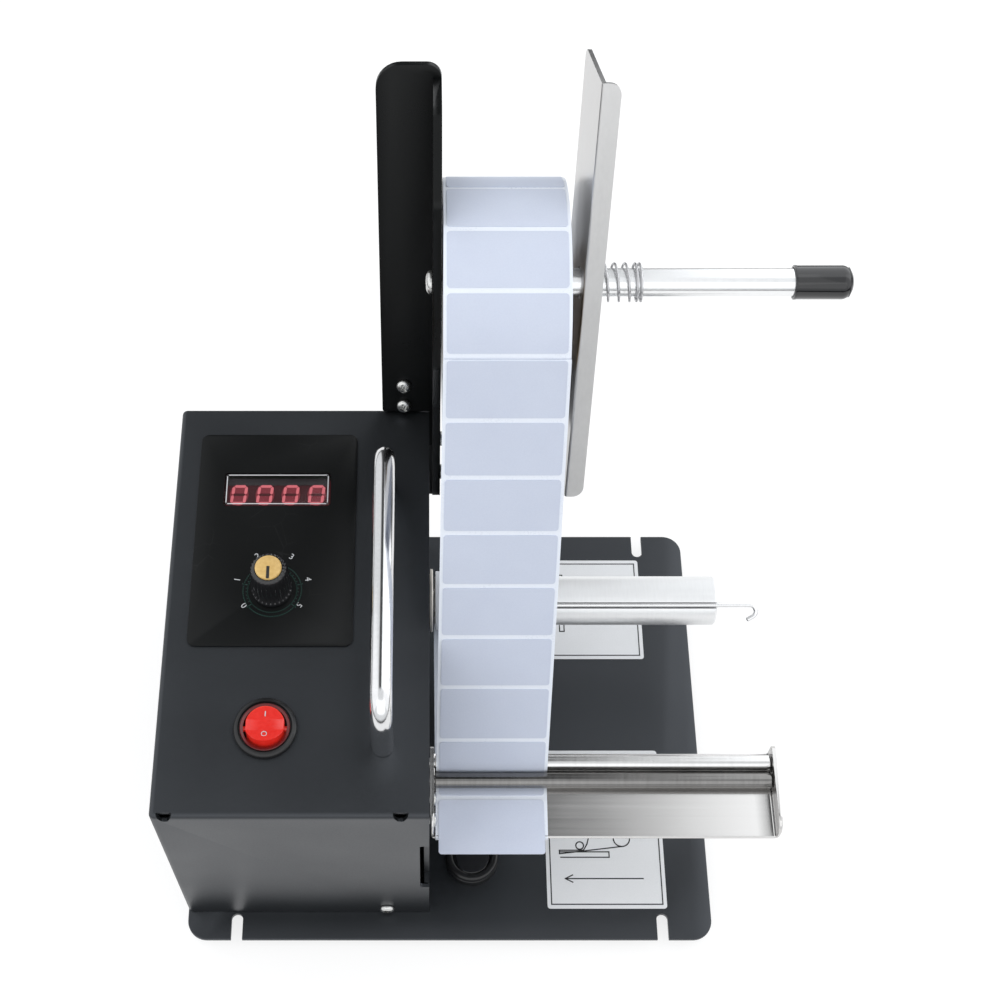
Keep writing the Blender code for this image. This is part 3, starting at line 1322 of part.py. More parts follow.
def waste_path():
    """Return the bare liner's path round the peel edge and back under the take-up shaft."""
    peel = Vector((PLATFORM_FRONT + PLATFORM_THICK / 2, PLATFORM_TOP - PLATFORM_THICK / 2))
    takeup = Vector((TAKEUP_Y, TAKEUP_Z))
    normal = tangent_normal(peel, PEEL_TURN, takeup, TAKEUP_TURN, -1)
    end = math.atan2(normal.y, normal.x) % (2 * math.pi)
    begin = QUARTER + GAP / PEEL_TURN
    path = arc_points(peel, PEEL_TURN, begin, end, WEB_BEND_STEPS)
    path.append(takeup + normal * TAKEUP_TURN)
    return path


def baffle_matrix():
    """Return the baffle's own frame at its shaft hole: +Z up its length, +Y to its rear."""
    lean = Matrix.Rotation(-BAFFLE_LEAN, 4, "X")
    cant = Matrix.Rotation(BAFFLE_CANT, 4, "Y")
    yaw = Matrix.Rotation(BAFFLE_YAW, 4, "Z")
    return Matrix.Translation((BAFFLE_X, SHAFT_Y, SHAFT_Z)) @ lean @ cant @ yaw


def build_baffle(build):
    """Angle-section baffle on the shaft, its washer and the wire spring behind it."""
    axis = (BAFFLE_X, SHAFT_Y, SHAFT_Z)
    front = -BAFFLE_HOLE_BACK
    rear = front + BAFFLE_DEPTH
    side_corners = rectangle(front, -BAFFLE_DOWN, rear, BAFFLE_UP)
    side = rounded(side_corners, [0, BAFFLE_CORNER, BAFFLE_CORNER, 0])
    face_corners = rectangle(0, -BAFFLE_DOWN, BAFFLE_FLANGE, BAFFLE_UP)
    face = rounded(face_corners, [0, BAFFLE_CORNER, BAFFLE_CORNER, 0])
    sheet = bmesh.new()
    side_verts = [sheet.verts.new((0, y, z)) for y, z in side]
    face_verts = [side_verts[0]] + [sheet.verts.new((x, front, z)) for x, z in face[1:-1]] + [side_verts[-1]]
    sheet.faces.new(side_verts)
    sheet.faces.new(list(reversed(face_verts)))
    sheet_mesh = bpy.data.meshes.new("baffle_sheet")
    sheet.to_mesh(sheet_mesh)
    sheet.free()
    sheet_mesh.transform(baffle_matrix())
    plate = build.piece("baffle_plate", sheet_mesh, "steel", axis)
    fold = plate.modifiers.new("sheet", "SOLIDIFY")
    fold.thickness = BAFFLE_THICK
    fold.offset = 1
    fold.use_even_offset = True
    reach = BAFFLE_FLANGE * 2
    hole_radius = SHAFT_RADIUS + BAFFLE_HOLE_SLACK / 2
    build.cut(plate, bar(-reach, reach, hole_radius, aim(axis, (1, 0, 0))))
    tilt = math.sin(BAFFLE_YAW) + math.sin(BAFFLE_CANT)
    washer_start = BAFFLE_X + BAFFLE_THICK + WASHER_RADIUS * tilt + GAP
    washer_end = washer_start + WASHER_THICK
    place = aim((0, SHAFT_Y, SHAFT_Z), (1, 0, 0))
    ring = ring_profile(washer_start, washer_end, SHAFT_RADIUS + GAP, WASHER_RADIUS)
    washer_axis = (washer_start, SHAFT_Y, SHAFT_Z)
    build.piece("baffle_washer", turned(ring, place, closed=True), "zinc", washer_axis)
    build_spring(build, washer_end + GAP + SPRING_WIRE_RADIUS)


def build_spring(build, start):
    """Wire spring as one wound tube: open turns, then closed turns that grip the shaft."""
    end = SPRING_END - SPRING_WIRE_RADIUS
    closed_length = SPRING_CLOSED_TURNS * SPRING_CLOSED_PITCH
    open_length = end - start - closed_length
    turns = SPRING_OPEN_TURNS + SPRING_CLOSED_TURNS
    steps = turns * SPRING_POINTS_PER_TURN
    points = []
    for step in range(steps + 1):
        turn = step / SPRING_POINTS_PER_TURN
        angle = 2 * math.pi * turn
        along = start + open_length * min(turn / SPRING_OPEN_TURNS, 1)
        along += SPRING_CLOSED_PITCH * max(turn - SPRING_OPEN_TURNS, 0)
        y = SHAFT_Y + SPRING_COIL_RADIUS * math.cos(angle)
        z = SHAFT_Z + SPRING_COIL_RADIUS * math.sin(angle)
        points.append((along, y, z))
    curve = bpy.data.curves.new("baffle_spring", "CURVE")
    curve.dimensions = "3D"
    curve.bevel_depth = SPRING_WIRE_RADIUS
    curve.bevel_resolution = 1
    curve.use_fill_caps = True
    curve.materials.append(build.materials["chrome"])
    line = curve.splines.new("POLY")
    line.points.add(len(points) - 1)
    for target, point in zip(line.points, points):
        target.co = (*point, 1)
    spring = bpy.data.objects.new("baffle_spring", curve)
    bpy.context.collection.objects.link(spring)
    spring.parent = build.frame
    print("baffle_spring: least gap between turns, mm:", round(1000 * least_gap(points), 3))


def least_gap(points):
    """Return the least clear distance between turns that are at least half a turn apart."""
    skip = SPRING_POINTS_PER_TURN // 2
    places = [Vector(point) for point in points]
    least = min((second - first).length
                for index, first in enumerate(places) for second in places[index + skip:])
    return least - 2 * SPRING_WIRE_RADIUS


def build_platform(build):
    """Peel platform with its cheeks, the guide rod, the press rod and their screws."""
    plate_mesh = platform_section()
    platform = build.piece("peel_platform", plate_mesh, "steel")
    cheek_top = PRESS_ROD_Z + CHEEK_RISE - ROD_RADIUS
    corners = [(PLATFORM_FRONT, PLATFORM_BOTTOM), (PLATFORM_REAR, PLATFORM_BOTTOM)]
    corners += [(PLATFORM_REAR, cheek_top), (PLATFORM_FRONT, cheek_top)]
    outline = rounded(corners, [PLATFORM_THICK, PLATFORM_THICK, PLATFORM_THICK, CHEEK_CORNER])
    left = GAP
    right = PLATFORM_END - PLATFORM_THICK
    for start in (left, right):
        build.join(platform, prism(outline, start, start + PLATFORM_THICK, "X"))
    along = (1, 0, 0)
    reach = PLATFORM_THICK * 2
    screw_hole = SCREW_SHANK + SCREW_CLEARANCE
    build.cut(platform, drill_points(platform_seats(left), along, reach, screw_hole))
    build.cut(platform, drill_points(rod_points(left), along, reach, ROD_SPIGOT_RADIUS + GAP))
    build.cut(platform, drill_points(rod_points(PLATFORM_END), along, reach, screw_hole))
    body_start = left + PLATFORM_THICK + GAP
    body_end = right - GAP
    bore_start = body_end - PLATFORM_THICK * 6
    for name, point in zip(("press_rod", "guide_rod"), rod_points(0)):
        place = aim(point, along)
        spigot = -WALL_THICK
        profile = [(spigot, 0), (spigot, ROD_SPIGOT_RADIUS), (body_start, ROD_SPIGOT_RADIUS)]
        profile += [(body_start, ROD_RADIUS), (body_end, ROD_RADIUS), (body_end, 0)]
        rod = build.piece(name, turned(profile, place), "chrome")
        build.cut(rod, bar(bore_start, PLATFORM_END, screw_hole, place, SMALL_STEPS))
    wall_length = left + PLATFORM_THICK + WALL_THICK + CLINCH_RISE
    seats = platform_seats(left + PLATFORM_THICK)
    for name, seat in zip(("platform_screw_front", "platform_screw_rear"), seats):
        build.piece(name, screw(seat, along, wall_length), "zinc")


def platform_section():
    """Return the platform's plate, with its front peel edge rounded."""
    radius = PLATFORM_THICK / 2
    centre = Vector((PLATFORM_FRONT + radius, PLATFORM_TOP - radius))
    nose = arc_points(centre, radius, QUARTER, 3 * QUARTER, CORNER_STEPS)
    outline = [tuple(point) for point in nose]
    outline += [(PLATFORM_REAR, PLATFORM_BOTTOM), (PLATFORM_REAR, PLATFORM_TOP)]
    inner = PLATFORM_THICK / 2
    return prism(outline, GAP + inner, PLATFORM_END - inner, "X")


def build_takeup(build):
    """Take-up shaft in its bearing, the wound liner on it and the wire clip."""
    axis = takeup_centre()
    place = aim(axis, (1, 0, 0))
    start = TAKEUP_START
    shoulder = TAKEUP_JOURNAL + TAKEUP_CHAMFER
    profile = [(-TAKEUP_JOURNAL_REACH, 0), (-TAKEUP_JOURNAL_REACH, TAKEUP_JOURNAL)]
    profile += [(start - GAP, TAKEUP_JOURNAL), (start - GAP, shoulder), (start, shoulder)]
    profile += [(start, TAKEUP_RADIUS), (TAKEUP_END - TAKEUP_CHAMFER, TAKEUP_RADIUS)]
    profile += [(TAKEUP_END, TAKEUP_RADIUS - TAKEUP_CHAMFER), (TAKEUP_END, 0)]
    shaft = build.piece("takeup_shaft", turned(profile, place), "aluminium", axis)
    radial, tangent = clip_directions()
    groove_half = CLIP_WIRE_RADIUS + GAP
    groove_depth = 2 * (CLIP_WIRE_RADIUS + GAP)
    depth = TAKEUP_RADIUS - groove_depth
    outline = []
    clear = TAKEUP_RADIUS + CUT_OVERRUN
    for side, out in ((-1, depth), (1, depth), (1, clear), (-1, clear)):
        point = Vector((axis.y, axis.z)) + radial * out + tangent * (side * groove_half)
        outline.append(tuple(point))
    build.cut(shaft, prism(outline, CLIP_START - GAP, TAKEUP_END + CUT_OVERRUN, "X"))
    inner = TAKEUP_RADIUS + GAP
    wound_left = TAKEUP_START + GAP
    wound = ring_profile(wound_left, wound_left + LINER_WIDTH, inner, inner + WOUND_THICK)
    build.piece("wound_liner", turned(wound, place, closed=True), "liner_paper", axis)
    bore = TAKEUP_JOURNAL + GAP
    back = -WALL_THICK - GAP
    flange = GAP + BEARING_FLANGE_THICK
    ring = [(flange - BEARING_DEPTH, bore), (flange - BEARING_DEPTH, BEARING_RADIUS), (GAP, BEARING_RADIUS)]
    ring += [(GAP, BEARING_FLANGE_RADIUS), (flange, BEARING_FLANGE_RADIUS), (flange, bore)]
    build.piece("takeup_bearing", turned(ring, place, closed=True), "bronze")
    collar_end = flange - BEARING_DEPTH - GAP
    collar = ring_profile(collar_end + back, collar_end, bore, BEARING_RADIUS)
    build.piece("bearing_collar", turned(collar, place, closed=True), "zinc")
    clip_axis = axis + Vector((0, *radial)) * (TAKEUP_RADIUS - CLIP_WIRE_RADIUS - GAP)
    clip = sweep(clip_points(clip_axis), CLIP_WIRE_RADIUS, WIRE_STEPS)
    build.piece("liner_clip", clip, "chrome", clip_axis)


def clip_directions():
    """Return the clip groove's outward and sideways directions in Y and Z."""
    radial = Vector((-math.sin(CLIP_ANGLE), math.cos(CLIP_ANGLE)))
    return radial, Vector((radial.y, -radial.x))


def clip_points(line):
    """Return the clip's wire: straight along the groove, then a hook at its free end."""
    _, tangent = clip_directions()
    down = -Vector((0, *tangent))
    points = [Vector((CLIP_START, line.y, line.z))]
    centre = Vector((CLIP_STRAIGHT_END, line.y, line.z)) + down * CLIP_HOOK_RADIUS
    for step in range(CLIP_HOOK_STEPS + 1):
        angle = CLIP_HOOK_TURN * step / CLIP_HOOK_STEPS
        out = Vector((math.sin(angle), 0, 0)) - down * math.cos(angle)
        points.append(centre + out * CLIP_HOOK_RADIUS)
    heading = Vector((math.cos(CLIP_HOOK_TURN), 0, 0)) + down * math.sin(CLIP_HOOK_TURN)
    points.append(points[-1] + heading * CLIP_TAIL)
    return points


def pulley_profile(radius, bore):
    """Return a flanged pulley's closed profile, measured from X zero to the left."""
    low = -PULLEY_START - PULLEY_WIDTH - PULLEY_RIM
    high = -PULLEY_START + PULLEY_RIM
    rim = radius + PULLEY_RIM_RISE
    profile = [(low, bore), (low, rim), (low + PULLEY_RIM, rim), (low + PULLEY_RIM, radius)]
    profile += [(high - PULLEY_RIM, radius), (high - PULLEY_RIM, rim), (high, rim), (high, bore)]
    return profile


def build_drive(build):
    """Geared motor on its bracket, both pulleys and the belt between them."""
    axis = takeup_centre()
    motor_axis = Vector((0, MOTOR_Y, TAKEUP_Z))
    takeup_place = aim(axis, (1, 0, 0))
    motor_place = aim(motor_axis, (1, 0, 0))
    takeup_profile = pulley_profile(TAKEUP_PULLEY_RADIUS, TAKEUP_JOURNAL + GAP)
    build.piece("takeup_pulley", turned(takeup_profile, takeup_place, closed=True), "aluminium", axis)
    motor_profile = pulley_profile(MOTOR_PULLEY_RADIUS, MOTOR_SHAFT_RADIUS + GAP)
    build.piece("motor_pulley", turned(motor_profile, motor_place, closed=True), "aluminium", motor_axis)
    face = -MOTOR_FACE
    shaft_end = -PULLEY_START + PULLEY_RIM
    shaft = rod_profile(face - MOTOR_SHAFT_DEPTH, shaft_end, MOTOR_SHAFT_RADIUS)
    build.piece("motor_shaft", turned(shaft, motor_place), "zinc", motor_axis)
    bore = MOTOR_SHAFT_RADIUS + GAP
    bore_floor = face - MOTOR_SHAFT_DEPTH - GAP
    gear_end = face - GEARBOX_LENGTH
    motor_end = gear_end - MOTOR_LENGTH
    body = [(motor_end, 0), (motor_end, MOTOR_RADIUS), (gear_end, MOTOR_RADIUS), (gear_end, GEARBOX_RADIUS)]
    body += [(face, GEARBOX_RADIUS), (face, MOTOR_BOSS_RADIUS), (face + MOTOR_BOSS_LENGTH, MOTOR_BOSS_RADIUS)]
    body += [(face + MOTOR_BOSS_LENGTH, bore), (bore_floor, bore), (bore_floor, 0)]
    motor = build.piece("gear_motor", turned(body, motor_place), "zinc")
    plate_left = face + GAP
    plate_right = plate_left + BRACKET_THICK
    seats = []
    for side in (-1, 1):
        seats.append((plate_right, MOTOR_Y, TAKEUP_Z + side * MOTOR_SCREW_CIRCLE))
    drill_reach = BRACKET_THICK * 3
    drills = drill_points(seats, (1, 0, 0), drill_reach, SCREW_SHANK + SCREW_CLEARANCE)
    build.cut(motor, drills)
    half = BRACKET_WIDTH / 2
    top = TAKEUP_Z + half
    foot_left = plate_right - BRACKET_FOOT
    foot_top = GAP + BRACKET_THICK
    section = [(foot_left, GAP), (plate_right, GAP), (plate_right, top), (plate_left, top)]
    section += [(plate_left, foot_top), (foot_left, foot_top)]
    soft = [0, BRACKET_THICK, 0, 0, 0, 0]
    bracket_mesh = prism(rounded(section, soft), MOTOR_Y - half, MOTOR_Y + half, "Y")
    bracket = build.piece("motor_bracket", bracket_mesh, "zinc")
    foot_x = foot_left + BRACKET_FOOT / 3
    foot_seats = [(foot_x, MOTOR_Y + side * half / 2, foot_top) for side in (-1, 1)]
    foot_drill = drill_points(foot_seats, (0, 0, 1), BRACKET_THICK * 4, SCREW_SHANK + SCREW_CLEARANCE)
    holes = bmesh.new()
    holes.from_mesh(drills)
    holes.from_mesh(foot_drill)
    boss_hole = rod_profile(face - GAP, plate_right + CUT_OVERRUN, MOTOR_BOSS_RADIUS + GAP)
    add_turned(holes, boss_hole, motor_place)
    build.cut(bracket, mesh_from(holes, "holes"))
    build.cut(bpy.data.objects["base_plate"], foot_drill.copy())
    build_belt(build, Vector((MOTOR_Y, TAKEUP_Z)), Vector((TAKEUP_Y, TAKEUP_Z)))


def belt_loop(first, first_radius, second, second_radius):
    """Return the outline of a belt round two pulleys."""
    lower = tangent_normal(first, first_radius, second, second_radius, -1)
    upper = tangent_normal(first, first_radius, second, second_radius, 1)
    low_angle = math.atan2(lower.y, lower.x)
    high_angle = math.atan2(upper.y, upper.x)
    far = arc_points(second, second_radius, low_angle, high_angle, SMALL_STEPS)
    near = arc_points(first, first_radius, high_angle, low_angle + 2 * math.pi, SMALL_STEPS)
    return [tuple(point) for point in far + near]


def build_belt(build, motor, takeup):
    """Flat belt that runs round the motor pulley and the take-up pulley."""
    inner = belt_loop(motor, MOTOR_PULLEY_RADIUS + GAP, takeup, TAKEUP_PULLEY_RADIUS + GAP)
    grown = GAP + BELT_THICK
    outer = belt_loop(motor, MOTOR_PULLEY_RADIUS + grown, takeup, TAKEUP_PULLEY_RADIUS + grown)
    middle = -PULLEY_START - PULLEY_WIDTH / 2
    low = middle - BELT_WIDTH / 2
    high = middle + BELT_WIDTH / 2
    bm = bmesh.new()
    loops = []
    for outline, along in ((inner, low), (outer, low), (outer, high), (inner, high)):
        loops.append([bm.verts.new((along, *point)) for point in outline])
    count = len(inner)
    for index, loop in enumerate(loops):
        other = loops[(index + 1) % len(loops)]
        for step in range(count):
            following = (step + 1) % count
            bm.faces.new((loop[step], loop[following], other[following], other[step]))
    build.piece("drive_belt", mesh_from(bm, "belt"), "rubber")


def sensor_place():
    """Return the label sensor's frame on the base plate."""
    return Matrix.Translation((SENSOR_X, SENSOR_Y, 0))


def build_sensor(build):
    """Label sensor: housing with its stem through the base, lens and nut."""
    top = GAP + SENSOR_HEIGHT
    lens_seat = top - SENSOR_LIP - SENSOR_LENS_THICK - GAP
    stem_end = -BASE_THICK - GAP - SENSOR_NUT_THICK
    wall = SENSOR_LENS_RADIUS + GAP
    edge = SENSOR_LIP
    profile = [(stem_end, 0), (stem_end, SENSOR_STEM_RADIUS), (GAP, SENSOR_STEM_RADIUS)]
    profile += [(GAP, SENSOR_RADIUS), (top - edge, SENSOR_RADIUS), (top, SENSOR_RADIUS - edge)]
    profile += [(top, wall), (lens_seat, wall), (lens_seat, 0)]
    build.piece("label_sensor", turned(profile, sensor_place()), "black_plastic")
    lens = rod_profile(lens_seat + GAP, lens_seat + GAP + SENSOR_LENS_THICK, SENSOR_LENS_RADIUS)
    build.piece("sensor_lens", turned(lens, sensor_place()), "gloss_black")
    nut_high = -BASE_THICK - GAP
    nut_mesh = prism(hexagon(SENSOR_NUT_FLATS), nut_high - SENSOR_NUT_THICK, nut_high)
    nut_mesh.transform(sensor_place())
    nut = build.piece("sensor_nut", nut_mesh, "zinc")
    drill_low = nut_high - SENSOR_NUT_THICK - CUT_OVERRUN
    build.cut(nut, bar(drill_low, CUT_OVERRUN, SENSOR_STEM_RADIUS + GAP, sensor_place()))


def stand_on_origin(build):
    """Move the machine so that its box stands centred on the world origin."""
    bpy.context.view_layer.update()
    graph = bpy.context.evaluated_depsgraph_get()
    corners = []
    for item in bpy.context.scene.objects:
        if item.type in {"MESH", "CURVE"} and not item.hide_render:
            shape = item.evaluated_get(graph)
            mesh = shape.to_mesh()
            corners += [shape.matrix_world @ vertex.co for vertex in mesh.vertices]
            shape.to_mesh_clear()
    low = Vector((min(p.x for p in corners), min(p.y for p in corners), min(p.z for p in corners)))
    high = Vector((max(p.x for p in corners), max(p.y for p in corners), max(p.z for p in corners)))
    centre = (low + high) / 2
    build.frame.location = (-centre.x, -centre.y, -low.z)
    bpy.context.view_layer.update()
    print("frame moved by", tuple(round(value, 6) for value in build.frame.location))


def main():
    """Build the whole machine."""
    clear_scene()
    build = Builder()
    build_base(build)
    build_cover(build)
    build_right_wall(build)
    build_panel(build)
    build_dial(build)
    build_switch(build)
    build_board(build)
    build_jack(build)
    build_handle(build)
    build_arm(build)
    build_reel_shaft(build)
    build_roll(build)
    build_web(build)
    build_baffle(build)
    build_platform(build)
    build_takeup(build)
    build_drive(build)
    build_sensor(build)
    stand_on_origin(build)


main()
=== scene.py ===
"""Looks of the label dispenser machine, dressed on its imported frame."""

import logging
import math
from dataclasses import dataclass
from enum import Enum
from typing import Iterable, Sequence

import bmesh
import bpy
from mathutils import Matrix, Vector


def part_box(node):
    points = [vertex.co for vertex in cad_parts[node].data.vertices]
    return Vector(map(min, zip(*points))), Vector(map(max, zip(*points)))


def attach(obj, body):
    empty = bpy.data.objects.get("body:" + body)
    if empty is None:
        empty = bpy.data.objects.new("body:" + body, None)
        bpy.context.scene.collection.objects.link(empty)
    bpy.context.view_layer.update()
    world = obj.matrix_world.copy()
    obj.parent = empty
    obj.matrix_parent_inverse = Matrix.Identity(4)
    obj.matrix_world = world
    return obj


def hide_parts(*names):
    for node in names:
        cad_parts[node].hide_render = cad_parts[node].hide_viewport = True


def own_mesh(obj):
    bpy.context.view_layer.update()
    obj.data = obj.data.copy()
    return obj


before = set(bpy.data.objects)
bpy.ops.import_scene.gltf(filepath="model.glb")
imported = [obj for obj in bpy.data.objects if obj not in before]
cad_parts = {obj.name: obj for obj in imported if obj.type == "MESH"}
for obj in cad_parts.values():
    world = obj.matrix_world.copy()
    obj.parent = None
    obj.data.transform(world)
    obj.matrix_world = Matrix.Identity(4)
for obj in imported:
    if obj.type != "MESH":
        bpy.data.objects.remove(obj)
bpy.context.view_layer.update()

log = logging.getLogger("dispenser")

# Places and sizes of the design that more than one sub-assembly uses. On the housing they are
# X and Y, beside its right wall they are Y and Z.
BASE_THICK = 0.002
HOUSING_LEFT = -0.098
HOUSING_FRONT = 0.0113
HOUSING_REAR = 0.18
DIAL = (-0.0586, 0.0992)
SWITCH = (-0.0586, 0.0442)
HANDLE_FEET = ((-0.0166, 0.0375), (-0.0166, 0.1425))
WALL_FEET = ((-0.008, 0.0413), (-0.008, 0.150))
COVER_SCREW_XS = (HOUSING_LEFT + 0.017, -0.017)
COVER_SCREW_YS = (HOUSING_FRONT + 0.034, HOUSING_REAR - 0.034)
REEL = (0.1764, 0.2035)
ROLL = (0.1764, 0.1888)
TAKEUP = (0.1253, 0.055)
PRESS_ROD = (0.0455, 0.060)
GUIDE_ROD = (0.0527, 0.060)
SCREW_HOLE = 0.0017
HANDLE_SCREW_HOLE = 0.0022
ROD_HOLE = 0.0023
DIAL_HOLE = 0.0038
LINER_LEFT = 0.0046
LINER_WIDTH = 0.043
LABEL_MARGIN = 0.0012
LABEL_CORNER = 0.0012
LABEL_THICK = 0.0003
LABEL_GAP = 0.0019

GAP = 0.0003
CUT_OVERRUN = 0.002
INK_RISE = 0.00004
QUARTER = math.pi / 2
FINE_STEPS = 64
CORNER_STEPS = 8
BAR_END_SHARE = 0.6

# Where the design's own zero point stands in the frame: the housing's right face,
# the base plate's front edge and the base plate's top
WALL_BOX, PLATE_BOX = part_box("right_wall"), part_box("base_plate")
DESIGN_ZERO = Vector((WALL_BOX[1].x, PLATE_BOX[0].y, PLATE_BOX[0].z + BASE_THICK))

Point = Sequence[float]


def at(x: float, y: float, z: float) -> Vector:
    """Return a design point in the frame."""
    return DESIGN_ZERO + Vector((x, y, z))


def spot(x: float, y: float, z: float) -> Matrix:
    """Return the matrix that moves a design mesh to a design point."""
    return Matrix.Translation(at(x, y, z))


def aim(origin: Vector, direction: Point) -> Matrix:
    """Return the matrix that sets +Z along a direction at a point."""
    turn = Vector((0, 0, 1)).rotation_difference(Vector(direction))
    return Matrix.Translation(origin) @ turn.to_matrix().to_4x4()


def axle(y: float, z: float, x: float = 0.0) -> Matrix:
    """Return the matrix that sets +Z to the right at a design point."""
    return aim(at(x, y, z), (1, 0, 0))


class Shape:
    """A mesh in the making: closed forms are added to it, then it becomes one mesh."""

    def __init__(self) -> None:
        """Start with an empty mesh."""
        self.bm = bmesh.new()

    def skin(self, rings: list[list[Vector]], closed: bool = False) -> "Shape":
        """Add quads between rings of points, with an end face at either end.

        Args:
            rings: loops of points; a loop of one point is a tip.
            closed: join the last ring to the first.

        Returns:
            The shape itself.
        """
        made = [[self.bm.verts.new(point) for point in ring] for ring in rings]
        pairs = list(zip(made, made[1:]))
        if closed:
            pairs.append((made[-1], made[0]))
        steps = max(len(ring) for ring in made)
        for lower, upper in pairs:
            for index in range(steps):
                following = (index + 1) % steps
                corners = [lower[index % len(lower)], lower[following % len(lower)]]
                corners += [upper[following % len(upper)], upper[index % len(upper)]]
                self.bm.faces.new(list(dict.fromkeys(corners)))
        if not closed:
            for ring in (made[0], made[-1]):
                if len(ring) > 2:
                    self.bm.faces.new(ring)
        return self

    def lathe(self, profile: Iterable[Point], place: Matrix, steps: int = FINE_STEPS,
              closed: bool = False) -> "Shape":
        """Add a solid of revolution about the placed +Z.

        Args:
            profile: pairs of height and radius.
            place: where the axis stands.
            steps: how many sides it has.
            closed: the profile is a loop, as a ring's is.

        Returns:
            The shape itself.
        """
        rings = []
        for height, radius in profile:
            if radius == 0:
                rings.append([place @ Vector((0, 0, height))])
                continue
            rings.append([place @ Vector((x, y, height)) for x, y in circle(radius, steps)])
        return self.skin(rings, closed)

    def prism(self, outline: Sequence[Point], low: float, high: float, place: Matrix,
              edge: float = 0.0, edge_steps: int = 2) -> "Shape":
        """Add an outline swept along the placed +Z, with its rims rounded.

        Args:
            outline: points of X and Y, anticlockwise.
            low: where the sweep starts.
            high: where it ends.
            place: where the outline lies.
            edge: radius of the rounded rims.
            edge_steps: steps in each rounded rim.

        Returns:
            The shape itself.
        """
        levels = [(low, 0.0), (high, 0.0)]
        if edge > 0:
            lower = [(low + edge * (1 - math.sin(turn)), edge * (1 - math.cos(turn)))
                     for turn in reversed(quarter(edge_steps))]
            levels = lower + [(low + high - height, inset) for height, inset in reversed(lower)]
        rings = []
        for height, inset in levels:
            points = inset_outline(outline, inset) if inset else outline
            rings.append([place @ Vector((x, y, height)) for x, y in points])
        return self.skin(rings)

    def box(self, low: Point, high: Point, place: Matrix, edge: float = 0.0) -> "Shape":
        """Add a block between two corners, with its upright rims rounded.

        Args:
            low: lowest corner.
            high: highest corner.
            place: where the block stands.
            edge: radius of its rims.

        Returns:
            The shape itself.
        """
        outline = rectangle(low[0], low[1], high[0], high[1])
        if edge > 0:
            outline = rounded(outline, [edge] * 4, 2)
        return self.prism(outline, low[2], high[2], place, edge)

    def bore(self, place: Matrix, low: float, high: float, radius: float, steps: int = 24) -> "Shape":
        """Add a plain round bar along the placed +Z, as the cutter of a hole."""
        return self.lathe([(low, 0), (low, radius), (high, radius), (high, 0)], place, steps)

    def tube(self, points: Sequence[Vector], radius: float, steps: int = 24,
             end_round: float = 0.0) -> "Shape":
        """Add a round bar along points.

        Args:
            points: its centreline.
            radius: its radius.
            steps: how many sides it has.
            end_round: how far its two ends are rounded.

        Returns:
            The shape itself.
        """
        rings = []
        side = heading(points, 0).orthogonal()
        last = len(points) - 1
        for index, point in enumerate(points):
            along = heading(points, index)
            side = (side - along * side.dot(along)).normalized()
            other = along.cross(side)
            arms = [side * x + other * y for x, y in circle(radius, steps)]
            rings.append([point + arm for arm in arms])
            if end_round > 0 and index in (0, last):
                tip = point + along * (end_round if index else -end_round)
                rings.insert(len(rings) if index else 0, [tip + arm * BAR_END_SHARE for arm in arms])
        return self.skin(rings)

    def strip(self, path: Sequence[Vector], inner: float, outer: float, lefts: Sequence[float],
              rights: Sequence[float]) -> "Shape":
        """Add a strip of even thickness: a path in Y and Z, widened along X.

        Args:
            path: the strip's line, as pairs of Y and Z in the design.
            inner: distance from the line to its one face.
            outer: distance from the line to its other face.
            lefts: X of its left edge at each point.
            rights: X of its right edge at each point.

        Returns:
            The shape itself.
        """
        rings = []
        for index, point in enumerate(path):
            outward = -left_of(heading(path, index))
            low, high = point + outward * inner, point + outward * outer
            left, right = lefts[index], rights[index]
            rings.append([at(left, *low), at(right, *low), at(right, *high), at(left, *high)])
        return self.skin(rings)

    def mesh(self) -> bpy.types.Mesh:
        """Finish the shape as a mesh whose faces point out.

        Returns:
            The mesh.
        """
        bmesh.ops.recalc_face_normals(self.bm, faces=self.bm.faces)
        mesh = bpy.data.meshes.new("shape")
        self.bm.to_mesh(mesh)
        self.bm.free()
        return mesh


Form = Shape | bpy.types.Mesh


def as_mesh(form: Form) -> bpy.types.Mesh:
    """Return a form's mesh, which a shape in the making doesn't have yet."""
    return form.mesh() if isinstance(form, Shape) else form


def quarter(steps: int) -> list[float]:
    """Return the angles of a quarter turn in even steps."""
    return [QUARTER * step / steps for step in range(steps + 1)]


def heading(points: Sequence[Vector], index: int) -> Vector:
    """Return the direction of a line at one of its points."""
    after = points[min(index + 1, len(points) - 1)]
    return (after - points[max(index - 1, 0)]).normalized()


def left_of(direction: Vector) -> Vector:
    """Return a direction of a plane, turned to its left."""
    return Vector((-direction.y, direction.x))


def corner_inset(radius: float, near: float) -> float:
    """Return how far a rounded corner draws in at a distance from its end."""
    out = max(radius - near, 0)
    return radius - math.sqrt(max(radius ** 2 - out ** 2, 0))


def closed(loop: list[Point]) -> list[Point]:
    """Return a loop's points with the first one again at the end."""
    return loop + loop[:1]


def circle(radius: float, steps: int = FINE_STEPS, centre: Point = (0, 0)) -> list[Point]:
    """Return a circle's points."""
    turns = [2 * math.pi * step / steps for step in range(steps)]
    return [(centre[0] + radius * math.cos(t), centre[1] + radius * math.sin(t)) for t in turns]


def rectangle(left: float, front: float, right: float, rear: float) -> list[Point]:
    """Return a rectangle's corners, anticlockwise."""
    return [(left, front), (right, front), (right, rear), (left, rear)]


